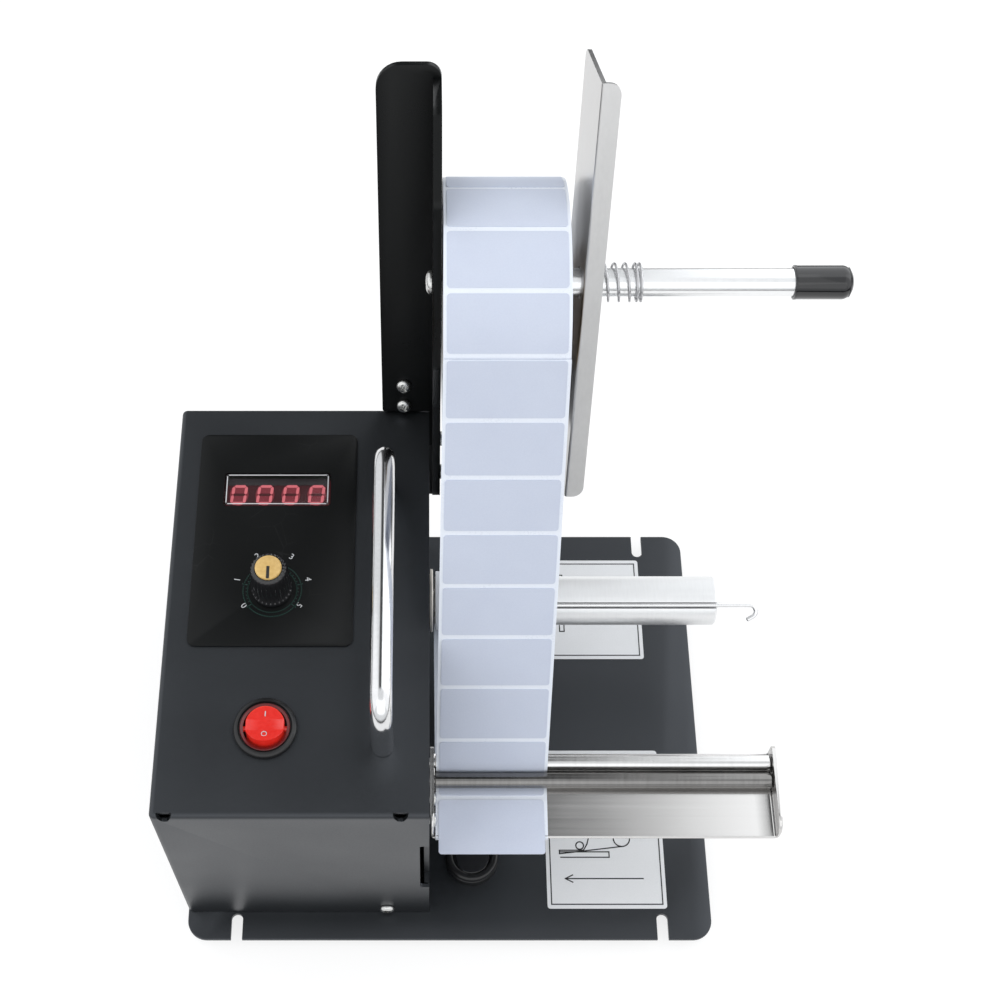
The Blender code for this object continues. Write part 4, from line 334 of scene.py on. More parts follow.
def rounded(corners: Sequence[Point], radii: Sequence[float], steps: int = CORNER_STEPS) -> list[Point]:
    """Round each corner of an outline with an arc of its own radius.

    Args:
        corners: the outline's corners.
        radii: one radius for each corner.
        steps: steps in each arc.

    Returns:
        The rounded outline.
    """
    points: list[Point] = []
    count = len(corners)
    for index, (corner, radius) in enumerate(zip(corners, radii)):
        here = Vector(corner)
        if radius == 0:
            points.append(tuple(here))
            continue
        before = (Vector(corners[index - 1]) - here).normalized()
        after = (Vector(corners[(index + 1) % count]) - here).normalized()
        half = before.angle(after) / 2
        centre = here + (before + after).normalized() * (radius / math.sin(half))
        arm = here + before * (radius / math.tan(half)) - centre
        side = 1 if before.x * after.y - before.y * after.x < 0 else -1
        for step in range(steps + 1):
            turn = side * (math.pi - 2 * half) * step / steps
            points.append(tuple(centre + Matrix.Rotation(turn, 2) @ arm))
    return points


def ring_profile(low: float, high: float, inner: float, outer: float, edge: float) -> list[Point]:
    """Return the closed profile of a ring with broken edges, as pairs of height and radius."""
    return [(low, inner + edge), (low, outer - edge), (low + edge, outer), (high - edge, outer),
            (high, outer - edge), (high, inner + edge), (high - edge, inner), (low + edge, inner)]


def wound_profile(low: float, high: float, inner: float, outer: float, turns: int,
                  ripple: float) -> list[Point]:
    """Return the closed profile of a wound web whose turns lie a little unevenly.

    Args:
        low: its left side.
        high: its right side.
        inner: radius of its bore.
        outer: radius of its face.
        turns: how many turns show in its sides.
        ripple: how far a turn may stand back.

    Returns:
        Pairs of height and radius.
    """
    dents = [(ripple * (0.2 + (turn * 7 % 5) / 6 * (turn % 2)),
              inner + (outer - inner) * (turn + 0.5) / turns) for turn in range(turns)]
    left = [(low + dent, radius) for dent, radius in dents]
    right = [(high - dent, radius) for dent, radius in reversed(dents)]
    return [(low, inner), *left, (low + ripple / 3, outer), (high - ripple / 3, outer), *right, (high, inner)]


def inset_outline(outline: Sequence[Point], inset: float) -> list[Point]:
    """Return an anticlockwise outline drawn in by a small distance.

    Args:
        outline: its points.
        inset: how far each point moves in.

    Returns:
        The smaller outline.
    """
    points = []
    count = len(outline)
    for index in range(count):
        here = Vector(outline[index])
        before = (here - Vector(outline[index - 1])).normalized()
        after = (Vector(outline[(index + 1) % count]) - here).normalized()
        inward = Vector((-before.y - after.y, before.x + after.x)).normalized()
        square = max(inward.dot(Vector((-after.y, after.x))), 0.5)
        points.append(tuple(here + inward * (inset / square)))
    return points


def arc(centre: Vector, radius: float, start: float, end: float, steps: int) -> list[Vector]:
    """Return points along an arc in a plane, from one angle to another."""
    angles = [start + (end - start) * step / steps for step in range(steps + 1)]
    return [centre + Vector((math.cos(angle), math.sin(angle))) * radius for angle in angles]


def carve(base: Form, cutter: Form, operation: str = "DIFFERENCE") -> bpy.types.Mesh:
    """Cut one form with another, or join them.

    Args:
        base: the form that stays.
        cutter: the form that cuts or joins.
        operation: DIFFERENCE, UNION or INTERSECT.

    Returns:
        The finished mesh.
    """
    items = []
    for form in (base, cutter):
        item = bpy.data.objects.new("carving", as_mesh(form))
        bpy.context.scene.collection.objects.link(item)
        items.append(item)
    modifier = items[0].modifiers.new("carve", "BOOLEAN")
    modifier.operation = operation
    modifier.solver = "EXACT"
    modifier.object = items[1]
    bpy.context.view_layer.update()
    graph = bpy.context.evaluated_depsgraph_get()
    made = bpy.data.meshes.new_from_object(items[0].evaluated_get(graph))
    for item in items:
        bpy.data.objects.remove(item, do_unlink=True)
    return made


class Graph:
    """A shader node tree in the making."""

    def __init__(self, tree: bpy.types.NodeTree) -> None:
        """Work on one tree."""
        self.tree = tree

    def node(self, kind: str, **settings: object) -> bpy.types.Node:
        """Add a node and set its options.

        Args:
            kind: the node's type.
            settings: options by name.

        Returns:
            The node.
        """
        made = self.tree.nodes.new(kind)
        for name, value in settings.items():
            setattr(made, name, value)
        return made

    def put(self, value: object, target: bpy.types.NodeSocket) -> None:
        """Link a socket to an input, or set the input to a plain value."""
        if isinstance(value, bpy.types.NodeSocket):
            self.tree.links.new(value, target)
        else:
            target.default_value = value

    def feed(self, node: bpy.types.Node, **inputs: object) -> None:
        """Set or link a node's inputs, with underscores for the spaces in their names."""
        for name, value in inputs.items():
            self.put(value, node.inputs[name.replace("_", " ")])

    def use(self, group: bpy.types.NodeTree, **inputs: object) -> bpy.types.NodeOutputs:
        """Place a shared group with its own values.

        Args:
            group: the group.
            inputs: a socket or a plain value for each of its inputs.

        Returns:
            What it puts out, by name.
        """
        made = self.node("ShaderNodeGroup", node_tree=group)
        self.feed(made, **inputs)
        return made.outputs

    def math(self, operation: str, first: object, second: object = 0.0) -> bpy.types.NodeSocket:
        """Return the result of one sum on two values or sockets."""
        made = self.node("ShaderNodeMath", operation=operation)
        self.put(first, made.inputs[0])
        self.put(second, made.inputs[1])
        return made.outputs[0]

    def vector(self, operation: str, *values: bpy.types.NodeSocket) -> bpy.types.Node:
        """Return the node of one sum on vectors."""
        made = self.node("ShaderNodeVectorMath", operation=operation)
        for value, target in zip(values, made.inputs):
            self.put(value, target)
        return made

    def split(self, value: bpy.types.NodeSocket) -> list[bpy.types.NodeSocket]:
        """Return the three parts of a vector."""
        made = self.node("ShaderNodeSeparateXYZ")
        self.put(value, made.inputs[0])
        return list(made.outputs)

    def spread(self, value: bpy.types.NodeSocket, low: object, high: object, start: float = 0.3,
               end: float = 0.7) -> bpy.types.NodeSocket:
        """Map a noise value onto a range.

        Args:
            value: the noise.
            low: result at start.
            high: result at end.
            start: noise value that gives low.
            end: noise value that gives high.

        Returns:
            The mapped value.
        """
        made = self.node("ShaderNodeMapRange")
        self.feed(made, Value=value, From_Min=start, From_Max=end, To_Min=low, To_Max=high)
        return made.outputs[0]

    def noise(self, position: bpy.types.NodeSocket, scale: object, detail: float) -> bpy.types.NodeSocket:
        """Return a noise value at a position."""
        made = self.node("ShaderNodeTexNoise")
        self.feed(made, Vector=position, Scale=scale, Detail=detail)
        return made.outputs[0]

    def tint(self, factor: bpy.types.NodeSocket, first: object, second: object) -> bpy.types.NodeSocket:
        """Return a colour between two colours."""
        made = self.node("ShaderNodeMix", data_type="RGBA")
        for index, value in zip(COLOUR_MIX_INPUTS, (factor, first, second)):
            self.put(value, made.inputs[index])
        return made.outputs[COLOUR_MIX_OUTPUT]


# A mix node has one set of sockets for each kind of value; these are the colours' own
COLOUR_MIX_INPUTS = (0, 6, 7)
COLOUR_MIX_OUTPUT = 2


class Socket(Enum):
    """The kinds of socket that a shared group has."""

    NUMBER = "NodeSocketFloat"
    PLACE = "NodeSocketVector"
    COLOUR = "NodeSocketColor"


def socket_kind(label: str) -> Socket:
    """Return the kind of socket that a group's input or output of this name has."""
    if label in ("Position", "Stretch", "Centre"):
        return Socket.PLACE
    return Socket.COLOUR if label in ("Color", "Dark", "Light", "Bare", "Dust") else Socket.NUMBER


def new_group(name: str, inputs: Sequence[str],
              outputs: Sequence[str]) -> tuple[Graph, bpy.types.NodeOutputs, bpy.types.Node]:
    """Start a shared shader group with named sockets.

    Args:
        name: the group's name.
        inputs: its inputs' names.
        outputs: its outputs' names.

    Returns:
        Its graph, what comes in, and its output node.
    """
    tree = bpy.data.node_groups.new(name, "ShaderNodeTree")
    for way, labels in (("INPUT", inputs), ("OUTPUT", outputs)):
        for label in labels:
            tree.interface.new_socket(name=label, in_out=way, socket_type=socket_kind(label).value)
    graph = Graph(tree)
    return graph, graph.node("NodeGroupInput").outputs, graph.node("NodeGroupOutput")


def make_grain_group() -> bpy.types.NodeTree:
    """Fine grain and broad patches: the ground of every finish here."""
    inputs = ("Position", "Stretch", "Grain Scale", "Patch Scale", "Dark", "Light", "Smooth", "Rough")
    graph, get, target = new_group("surface_grain", inputs, ("Color", "Roughness", "Height"))
    stretched = graph.vector("MULTIPLY", get["Position"], get["Stretch"])
    fine = graph.noise(stretched.outputs[0], get["Grain Scale"], 4.0)
    patch = graph.noise(get["Position"], get["Patch Scale"], 2.0)
    both = graph.math("MULTIPLY", graph.math("ADD", fine, patch), 0.5)
    graph.feed(target, Color=graph.tint(graph.spread(both, 0.0, 1.0), get["Dark"], get["Light"]),
               Roughness=graph.spread(both, get["Smooth"], get["Rough"]), Height=fine)
    return graph.tree


def make_scuff_group() -> bpy.types.NodeTree:
    """Thin scattered scratches and rubbed spots from handling."""
    inputs = ("Position", "Color", "Bare", "Amount")
    graph, get, target = new_group("handling_scuffs", inputs, ("Color", "Mask"))
    cells = graph.node("ShaderNodeTexVoronoi", feature="DISTANCE_TO_EDGE")
    graph.feed(cells, Vector=get["Position"], Scale=95.0, Randomness=1.0)
    line = graph.spread(cells.outputs[0], 1.0, 0.0, 0.0, 0.012)
    where = graph.spread(graph.noise(get["Position"], 60.0, 3.0), 0.0, 1.0, 0.56, 0.66)
    mask = graph.math("MULTIPLY", graph.math("MULTIPLY", line, where), get["Amount"])
    graph.feed(target, Color=graph.tint(mask, get["Color"], get["Bare"]), Mask=mask)
    return graph.tree


def make_dust_group() -> bpy.types.NodeTree:
    """Fine dust that lies on what faces up."""
    graph, get, target = new_group("settled_dust", ("Position", "Color", "Dust", "Amount"), ("Color",))
    facing = graph.node("ShaderNodeNewGeometry").outputs["Normal"]
    upward = graph.spread(graph.split(facing)[2], 0.0, 1.0, 0.5, 1.0)
    specks = graph.spread(graph.noise(get["Position"], 2600.0, 1.0), 0.0, 1.0, 0.62, 0.74)
    film = graph.spread(graph.noise(get["Position"], 45.0, 3.0), 0.05, 0.45)
    amount = graph.math("MULTIPLY", graph.math("ADD", specks, film), get["Amount"])
    mask = graph.math("MULTIPLY", upward, amount)
    graph.feed(target, Color=graph.tint(mask, get["Color"], get["Dust"]))
    return graph.tree


def make_layer_group() -> bpy.types.NodeTree:
    """Wound layers: bands by the distance from an axis along X."""
    inputs = ("Position", "Centre", "Layer Scale", "Dark", "Light")
    graph, get, target = new_group("wound_layers", inputs, ("Color", "Height"))
    parts = graph.split(graph.vector("SUBTRACT", get["Position"], get["Centre"]).outputs[0])
    flat, line = graph.node("ShaderNodeCombineXYZ"), graph.node("ShaderNodeCombineXYZ")
    graph.feed(flat, X=parts[1], Y=parts[2])
    graph.feed(line, X=graph.vector("LENGTH", flat.outputs[0]).outputs["Value"])
    bands = graph.noise(line.outputs[0], get["Layer Scale"], 3.0)
    shade = graph.spread(bands, 0.0, 1.0, 0.35, 0.65)
    graph.feed(target, Color=graph.tint(shade, get["Dark"], get["Light"]), Height=bands)
    return graph.tree


GRAIN = make_grain_group()
SCUFFS = make_scuff_group()
DUST = make_dust_group()
LAYERS = make_layer_group()

Colour = tuple[float, float, float]
DUST_COLOUR = (0.45, 0.46, 0.48, 1)


@dataclass(frozen=True)
class Finish:
    """A finish: its two shades, gloss, grain, and what handling has left on it."""

    name: str
    dark: Colour
    light: Colour
    smooth: float
    rough: float
    grain: float = 900.0
    stretch: Colour = (1.0, 1.0, 1.0)
    patch: float = 30.0
    bump: float = 0.12
    bump_depth: float = 0.00005
    metallic: float = 0.0
    specular: float = 0.5
    specular_tint: Colour = (1.0, 1.0, 1.0)
    coat: float = 0.0
    coat_rough: float = 0.1
    scuffs: float = 0.0
    bare: Colour = (0.3, 0.3, 0.3)
    dust: float = 0.0
    alpha: float = 1.0
    glow: float = 0.0
    glow_colour: Colour = (1.0, 0.1, 0.1)
    subsurface: float = 0.0
    layers: float = 0.0
    layer_axis: Point = (0.0, 0.0, 0.0)

    def material(self) -> bpy.types.Material:
        """Return this finish as a material, made at its first use."""
        known = bpy.data.materials.get(self.name)
        if known:
            return known
        made = bpy.data.materials.new(self.name)
        made.use_nodes = True
        graph = Graph(made.node_tree)
        shader = made.node_tree.nodes["Principled BSDF"]
        place = graph.node("ShaderNodeTexCoord").outputs["Object"]
        shades = {"Dark": (*self.dark, 1), "Light": (*self.light, 1)}
        ground = graph.use(GRAIN, Position=place, Stretch=self.stretch, Grain_Scale=self.grain,
                           Patch_Scale=self.patch, Smooth=self.smooth, Rough=self.rough, **shades)
        colour, height = ground["Color"], ground["Height"]
        if self.layers > 0:
            wound = graph.use(LAYERS, Position=place, Centre=self.layer_axis,
                              Layer_Scale=self.layers, **shades)
            colour, height = wound["Color"], wound["Height"]
        if self.scuffs > 0:
            worn = graph.use(SCUFFS, Position=place, Color=colour, Bare=(*self.bare, 1), Amount=self.scuffs)
            colour = worn["Color"]
        if self.dust > 0:
            dusty = graph.use(DUST, Position=place, Color=colour, Dust=DUST_COLOUR, Amount=self.dust)
            colour = dusty["Color"]
        relief = graph.node("ShaderNodeBump")
        graph.feed(relief, Strength=self.bump, Distance=self.bump_depth, Height=height)
        graph.feed(shader, Base_Color=colour, Roughness=ground["Roughness"], Normal=relief.outputs[0],
                   Metallic=self.metallic, Specular_IOR_Level=self.specular, Alpha=self.alpha,
                   Specular_Tint=(*self.specular_tint, 1), Coat_Weight=self.coat,
                   Coat_Roughness=self.coat_rough, Subsurface_Weight=self.subsurface)
        if self.glow > 0:
            graph.feed(shader, Emission_Color=(*self.glow_colour, 1), Emission_Strength=self.glow)
        return made


ROLL_AXIS = tuple(at(0.0, *ROLL))
TAKEUP_AXIS = tuple(at(0.0, *TAKEUP))

POWDER_PAINT = Finish("powder_paint", (0.0036, 0.0043, 0.0045), (0.0054, 0.0064, 0.0068), 0.36, 0.46,
                      grain=1500.0, bump=0.20, specular=0.78, specular_tint=(0.86, 0.91, 1.0),
                      scuffs=0.04, bare=(0.05, 0.05, 0.05), dust=0.006)
ARM_PAINT = Finish("arm_paint", (0.0032, 0.0037, 0.0038), (0.0046, 0.0051, 0.0053), 0.26, 0.34, grain=1500.0,
                   bump=0.15, specular=0.18, scuffs=0.06, bare=(0.05, 0.05, 0.05), dust=0.004)
FILM = Finish("overlay_print", (0.0042, 0.0048, 0.0050), (0.0058, 0.0064, 0.0066), 0.28, 0.36,
              grain=2200.0, bump=0.05, specular=0.21, scuffs=0.03, dust=0.002)
PLATE_STEEL = Finish("brushed_plate_steel", (0.57, 0.56, 0.55), (0.64, 0.63, 0.62), 0.13, 0.19, grain=420.0,
                     stretch=(0.02, 1.6, 1.6), bump=0.02, metallic=1.0, scuffs=0.03, bare=(0.7, 0.7, 0.69))
BAFFLE_STEEL = Finish("brushed_baffle_steel", (0.56, 0.555, 0.55), (0.62, 0.615, 0.61), 0.28, 0.36,
                      grain=420.0, stretch=(1.6, 1.6, 0.03), bump=0.05, metallic=1.0, scuffs=0.08,
                      bare=(0.68, 0.68, 0.68))
CHROME = Finish("polished_chrome", (0.68, 0.68, 0.685), (0.76, 0.76, 0.765), 0.13, 0.18,
                grain=600.0, bump=0.01, metallic=1.0, scuffs=0.04, bare=(0.5, 0.5, 0.5))
ROD_STEEL = Finish("ground_rod_steel", (0.64, 0.635, 0.63), (0.72, 0.715, 0.71), 0.14, 0.20,
                   grain=300.0, stretch=(3.0, 0.4, 0.4), bump=0.03, metallic=1.0)
# The press rod is the guide rod's steel painted darker: painted shade that stands in for its darker
# reflection.
PRESS_ROD_PAINTED_SHADE = Finish("press_rod_painted_shade_steel", (0.18, 0.175, 0.17), (0.24, 0.235, 0.23), 0.12, 0.18,
                        grain=300.0, stretch=(3.0, 0.4, 0.4), bump=0.03, metallic=1.0)
REEL_STEEL = Finish("polished_reel_steel", (0.86, 0.865, 0.87), (0.92, 0.925, 0.93), 0.18, 0.26,
                    grain=300.0, stretch=(3.0, 0.4, 0.4), bump=0.03, metallic=0.9)
SPRING_STEEL = Finish("oiled_spring_steel", (0.42, 0.42, 0.43), (0.56, 0.56, 0.57), 0.20, 0.30, metallic=1.0)
ZINC = Finish("zinc_plating", (0.56, 0.56, 0.55), (0.68, 0.68, 0.66), 0.20, 0.32, grain=1200.0, bump=0.08,
              metallic=1.0, scuffs=0.15, bare=(0.35, 0.35, 0.35))
ANODISED = Finish("anodised_aluminium", (0.82, 0.825, 0.83), (0.88, 0.885, 0.89), 0.30, 0.40,
                  grain=500.0, stretch=(2.4, 0.3, 0.3), bump=0.04, metallic=0.75)
RUBBER = Finish("foot_rubber", (0.012, 0.012, 0.012), (0.022, 0.022, 0.022), 0.7, 0.9, bump=0.3, dust=0.05)
PLASTIC = Finish("moulded_black", (0.0060, 0.0060, 0.0065), (0.010, 0.010, 0.0105), 0.26, 0.36, grain=2600.0,
                 bump=0.10, specular=0.45, scuffs=0.04)
LENS_BLACK = Finish("dark_lens", (0.006, 0.006, 0.007), (0.010, 0.010, 0.011), 0.10, 0.18,
                    grain=500.0, bump=0.02, coat=0.4, coat_rough=0.05)
VINYL = Finish("glossy_vinyl", (0.008, 0.008, 0.009), (0.013, 0.013, 0.015), 0.10, 0.15,
               grain=700.0, bump=0.04, specular=0.42, coat=0.35, coat_rough=0.03)
RED_LENS = Finish("lit_red_lens", (0.66, 0.012, 0.009), (0.78, 0.028, 0.020), 0.16, 0.26,
                  grain=700.0, bump=0.03, coat=0.3, subsurface=0.15, glow=0.12, glow_colour=(1.0, 0.05, 0.03))
RED_COLLAR = Finish("red_collar", (0.060, 0.002, 0.003), (0.11, 0.004, 0.005), 0.18, 0.26,
                    grain=700.0, bump=0.02, glow=0.03)
CREAM = Finish("cream_cap", (0.60, 0.38, 0.12), (0.80, 0.56, 0.21), 0.32, 0.42, grain=700.0, bump=0.05)
SMOKED = Finish("smoked_acrylic", (0.016, 0.012, 0.013), (0.022, 0.016, 0.017), 0.08, 0.12,
                bump=0.0, specular=0.4, alpha=0.28)
# The display face, the halo disc round each digit and the unlit middle segment glow faintly red: painted glow
# that stands in for light spilled from the lit digits.
DISPLAY_FACE = Finish("display_face", (0.040, 0.016, 0.019), (0.055, 0.022, 0.026), 0.4, 0.5,
                      glow=0.06, glow_colour=(0.9, 0.10, 0.14))
DISPLAY_RIM = Finish("display_rim", (0.085, 0.083, 0.088), (0.11, 0.108, 0.114), 0.4, 0.5)
DIGIT_LIT = Finish("digit_lit", (0.85, 0.25, 0.28), (0.9, 0.32, 0.35), 0.4, 0.5, glow=0.80,
                   glow_colour=(1.0, 0.20, 0.24))
PAINTED_DIGIT_GLOW = Finish("painted_digit_glow", (0.20, 0.05, 0.06), (0.26, 0.07, 0.08), 0.4, 0.5, glow=0.24,
                    glow_colour=(1.0, 0.10, 0.16))
DIGIT_DARK = Finish("digit_dark", (0.10, 0.03, 0.035), (0.12, 0.035, 0.04), 0.4, 0.5, glow=0.05)
INK = Finish("white_ink", (0.50, 0.51, 0.52), (0.62, 0.63, 0.64), 0.4, 0.5, grain=4000.0, bump=0.1)
GREEN_INK = Finish("green_ink", (0.016, 0.050, 0.040), (0.026, 0.075, 0.060), 0.3, 0.4, grain=4000.0)
BLACK_INK = Finish("black_ink", (0.012, 0.012, 0.013), (0.03, 0.03, 0.032), 0.5, 0.6, grain=4000.0)
STICKER = Finish("sticker_paper", (0.74, 0.75, 0.765), (0.80, 0.81, 0.825), 0.30, 0.40,
                 grain=2500.0, bump=0.10, dust=0.02)
LABEL = Finish("label_film", (0.600, 0.640, 0.758), (0.645, 0.686, 0.800), 0.36, 0.46,
               grain=1800.0, patch=60.0, bump=0.06, specular=0.35, subsurface=0.05)
LINER = Finish("silicone_liner", (0.80, 0.84, 0.92), (0.85, 0.89, 0.96), 0.24, 0.36,
               grain=1500.0, patch=60.0, bump=0.05)
WOUND_EDGE = Finish("wound_edge", (0.60, 0.62, 0.66), (0.88, 0.89, 0.92), 0.5, 0.6, bump=0.35,
                    layers=2600.0, layer_axis=ROLL_AXIS)
WOUND_LINER = Finish("wound_liner_edge", (0.70, 0.72, 0.76), (0.90, 0.91, 0.94), 0.4, 0.5, bump=0.3,
                     layers=3200.0, layer_axis=TAKEUP_AXIS)
CARD = Finish("core_card", (0.36, 0.26, 0.16), (0.50, 0.38, 0.25), 0.75, 0.9, bump=0.4,
              layers=1800.0, layer_axis=ROLL_AXIS)
BOARD = Finish("solder_mask", (0.006, 0.075, 0.030), (0.010, 0.11, 0.045), 0.25, 0.35, bump=0.1)
BRONZE = Finish("sintered_bronze", (0.56, 0.53, 0.48), (0.66, 0.63, 0.58), 0.4, 0.55, grain=2500.0,
                bump=0.3, metallic=1.0)


def dress(name: str, form: Form, finish: Finish, slot: str, *stands_for: str, body: str = "root",
          angle: float = 35.0) -> bpy.types.Object:
    """Make a form into a piece that rides on a body.

    Args:
        name: the piece's name.
        form: its shape or mesh, in the frame.
        finish: its finish.
        slot: the record's material slot.
        stands_for: the CAD nodes that it replaces.
        body: the body that carries it.
        angle: edges sharper than this many degrees stay sharp.

    Returns:
        The piece.
    """
    mesh = as_mesh(form)
    mesh.name = name
    piece = bpy.data.objects.new(name, mesh)
    bpy.context.scene.collection.objects.link(piece)
    mesh.materials.clear()
    mesh.materials.append(finish.material())
    mesh.shade_smooth()
    mesh.set_sharp_from_angle(angle=math.radians(angle))
    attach(piece, body)
    if stands_for:
        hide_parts(*stands_for)
    log.info("%s rides on %s", name, body)
    return piece


def soften(piece: bpy.types.Object, width: float, segments: int = 2) -> None:
    """Round a piece's sharp edges.

    Args:
        piece: the piece.
        width: width of the rounding.
        segments: steps in it.
    """
    edge = piece.modifiers.new("soft_edges", "BEVEL")
    edge.width = width
    edge.segments = segments
    edge.limit_method = "ANGLE"
    edge.angle_limit = math.radians(40)
    edge.harden_normals = True


def keep(finish: Finish, *names: str) -> None:
    """Give CAD nodes that stay their finish.

    Args:
        finish: the finish.
        names: the nodes.
    """
    for name in names:
        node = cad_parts[name]
        node.data.materials.clear()
        node.data.materials.append(finish.material())
        log.info("%s keeps its CAD shape in %s", name, finish.name)


# Turns a prism's +Z to +X or +Y, so that its outline lies in Y and Z or in X and Z
TO_X = Matrix(((0, 0, 1, 0), (1, 0, 0, 0), (0, 1, 0, 0), (0, 0, 0, 1)))
TO_Y = Matrix(((1, 0, 0, 0), (0, 0, 1, 0), (0, 1, 0, 0), (0, 0, 0, 1)))
HOME = spot(0, 0, 0)
ALONG_X = HOME @ TO_X
ALONG_Y = HOME @ TO_Y


class Track:
    """A line in the plane of Y and Z that is measured along its length."""

    def __init__(self, points: Sequence[Vector]) -> None:
        """Measure the line through the points."""
        self.points = list(points)
        self.marks = [0.0]
        for first, second in zip(self.points, self.points[1:]):
            self.marks.append(self.marks[-1] + (second - first).length)

    @property
    def length(self) -> float:
        """The line's whole length."""
        return self.marks[-1]

    def point(self, mark: float) -> Vector:
        """Return the point at a distance along the line."""
        index = 0
        while index < len(self.marks) - 2 and self.marks[index + 1] < mark:
            index += 1
        span = self.marks[index + 1] - self.marks[index]
        return self.points[index].lerp(self.points[index + 1], (mark - self.marks[index]) / span)

    def between(self, start: float, end: float) -> list[float]:
        """Return the marks from one distance to another, with the bends on the way."""
        return [start] + [mark for mark in self.marks if start + 1e-6 < mark < end - 1e-6] + [end]


def label_pad(shape: Shape, track: Track, span: tuple[float, float], heights: tuple[float, float],
              sides: tuple[float, float], drift: float = 0.0) -> None:
    """Add a die-cut label with rounded corners to a shape.

    Args:
        shape: the shape that it is added to.
        track: the line that it lies on.
        span: where it starts and ends along the line.
        heights: its underside and its face above the line.
        sides: X of its left and right edges.
        drift: how far it moves to the left for each metre of the line.
    """
    start, end = span
    corner = LABEL_CORNER
    ends = [(corner * (1 - math.cos(turn)), corner * (1 - math.sin(turn))) for turn in quarter(CORNER_STEPS)]
    entries = [(start + mark, inset) for mark, inset in ends]
    entries += [(mark, 0.0) for mark in track.between(start + corner, end - corner)[1:-1]]
    entries += [(end - mark, inset) for mark, inset in reversed(ends)]
    path = [track.point(mark) for mark, _ in entries]
    lefts = [sides[0] + inset - drift * mark for mark, inset in entries]
    rights = [sides[1] - inset - drift * mark for mark, inset in entries]
    shape.strip(path, *heights, lefts, rights)


def tangent(first: Vector, first_radius: float, second: Vector, second_radius: float) -> Vector:
    """Return the normal of the line that touches two circles on their right side."""
    span = second - first
    along = span.normalized()
    cosine = (first_radius - second_radius) / span.length
    return along * cosine - left_of(along) * math.sqrt(1 - cosine * cosine)


def lettering(text: str, size: float, centre: Vector, turn: float = 0.0) -> bpy.types.Mesh:
    """Return plain characters as thin ink that lies flat.

    Args:
        text: the characters.
        size: their height setting.
        centre: the middle of the text, on the surface.
        turn: its angle about +Z.

    Returns:
        The mesh.
    """
    curve = bpy.data.curves.new("lettering", "FONT")
    curve.body = text
    curve.size = size
    curve.align_x = "CENTER"
    curve.align_y = "CENTER"
    curve.extrude = INK_RISE
    item = bpy.data.objects.new("lettering", curve)
    bpy.context.scene.collection.objects.link(item)
    bpy.context.view_layer.update()
    mesh = bpy.data.meshes.new_from_object(item.evaluated_get(bpy.context.evaluated_depsgraph_get()))
    bpy.data.objects.remove(item, do_unlink=True)
    mesh.transform(Matrix.Translation(centre) @ Matrix.Rotation(turn, 4, "Z"))
    return mesh


def ink_line(shape: Shape, points: Sequence[Point], width: float, surface: float) -> None:
    """Add a printed line that runs through points on a level surface.

    Args:
        shape: the shape that it is added to.
        points: pairs of design X and Y.
        width: the line's width.
        surface: design Z of the surface.
    """
    for first, second in zip(points, points[1:]):
        start, end = Vector(first), Vector(second)
        along = (end - start).normalized() * (width / 2)
        across = left_of(along)
        corners = [start - along - across, end + along - across, end + along + across, start - along + across]
        shape.prism([tuple(corner) for corner in corners], surface, surface + INK_RISE, HOME)


@dataclass(frozen=True)
class Screw:
    """A pan-head screw with a cross recess."""

    shank: float = 0.0014
    head: float = 0.00295
    rise: float = 0.0021
    cross_arm: float = 0.00042
    dome_steps: int = 8
    steps: int = 32
    rim_share: float = 0.3
    cross_share: float = 0.62
    cross_floor_share: float = 0.4
    cross_turn: float = 0.4

    def fit(self, name: str, seat: Vector, outward: Point, length: float, finish: Finish,
            *stands_for: str) -> bpy.types.Object:
        """Drive the screw in.

        Args:
            name: the piece's name.
            seat: the point under the middle of its head, in the frame.
            outward: where its head points.
            length: length of its shank.
            finish: its finish.
            stands_for: the CAD nodes that it replaces.

        Returns:
            The piece.
        """
        place = aim(seat, outward)
        edge = self.rise * self.rim_share
        profile = [(-length, 0), (-length, self.shank * 0.6), (-length + self.shank * 0.5, self.shank)]
        profile += [(0, self.shank), (0, self.head - edge * 0.4), (edge * 0.5, self.head)]
        for turn in quarter(self.dome_steps)[:-1]:
            profile.append((edge + (self.rise - edge) * math.sin(turn), self.head * math.cos(turn) ** 0.6))
        profile.append((self.rise, 0))
        thin, wide = self.cross_arm, self.head * self.cross_share
        cross = [(wide, -thin), (wide, thin), (thin, thin), (thin, wide), (-thin, wide), (-thin, thin)]
        cross += [(-x, -y) for x, y in cross]
        recess = place @ Matrix.Rotation(self.cross_turn, 4, "Z")
        cutter = Shape().prism(cross, self.rise * self.cross_floor_share, self.rise * 2, recess)
        mesh = carve(Shape().lathe(profile, place, self.steps), cutter)
        return dress(name, mesh, finish, "zinc_steel", *stands_for, angle=28)


PAN_SCREW = Screw()
LOW_SCREW = Screw(head=0.0026, rise=0.0010, cross_arm=0.00036)
BIG_SCREW = Screw(shank=0.0019, head=0.0042, rise=0.0026, cross_arm=0.0006)
FLUSH_SCREW = Screw(shank=0.0012, head=0.0016, rise=0.0010, cross_arm=0.00026)


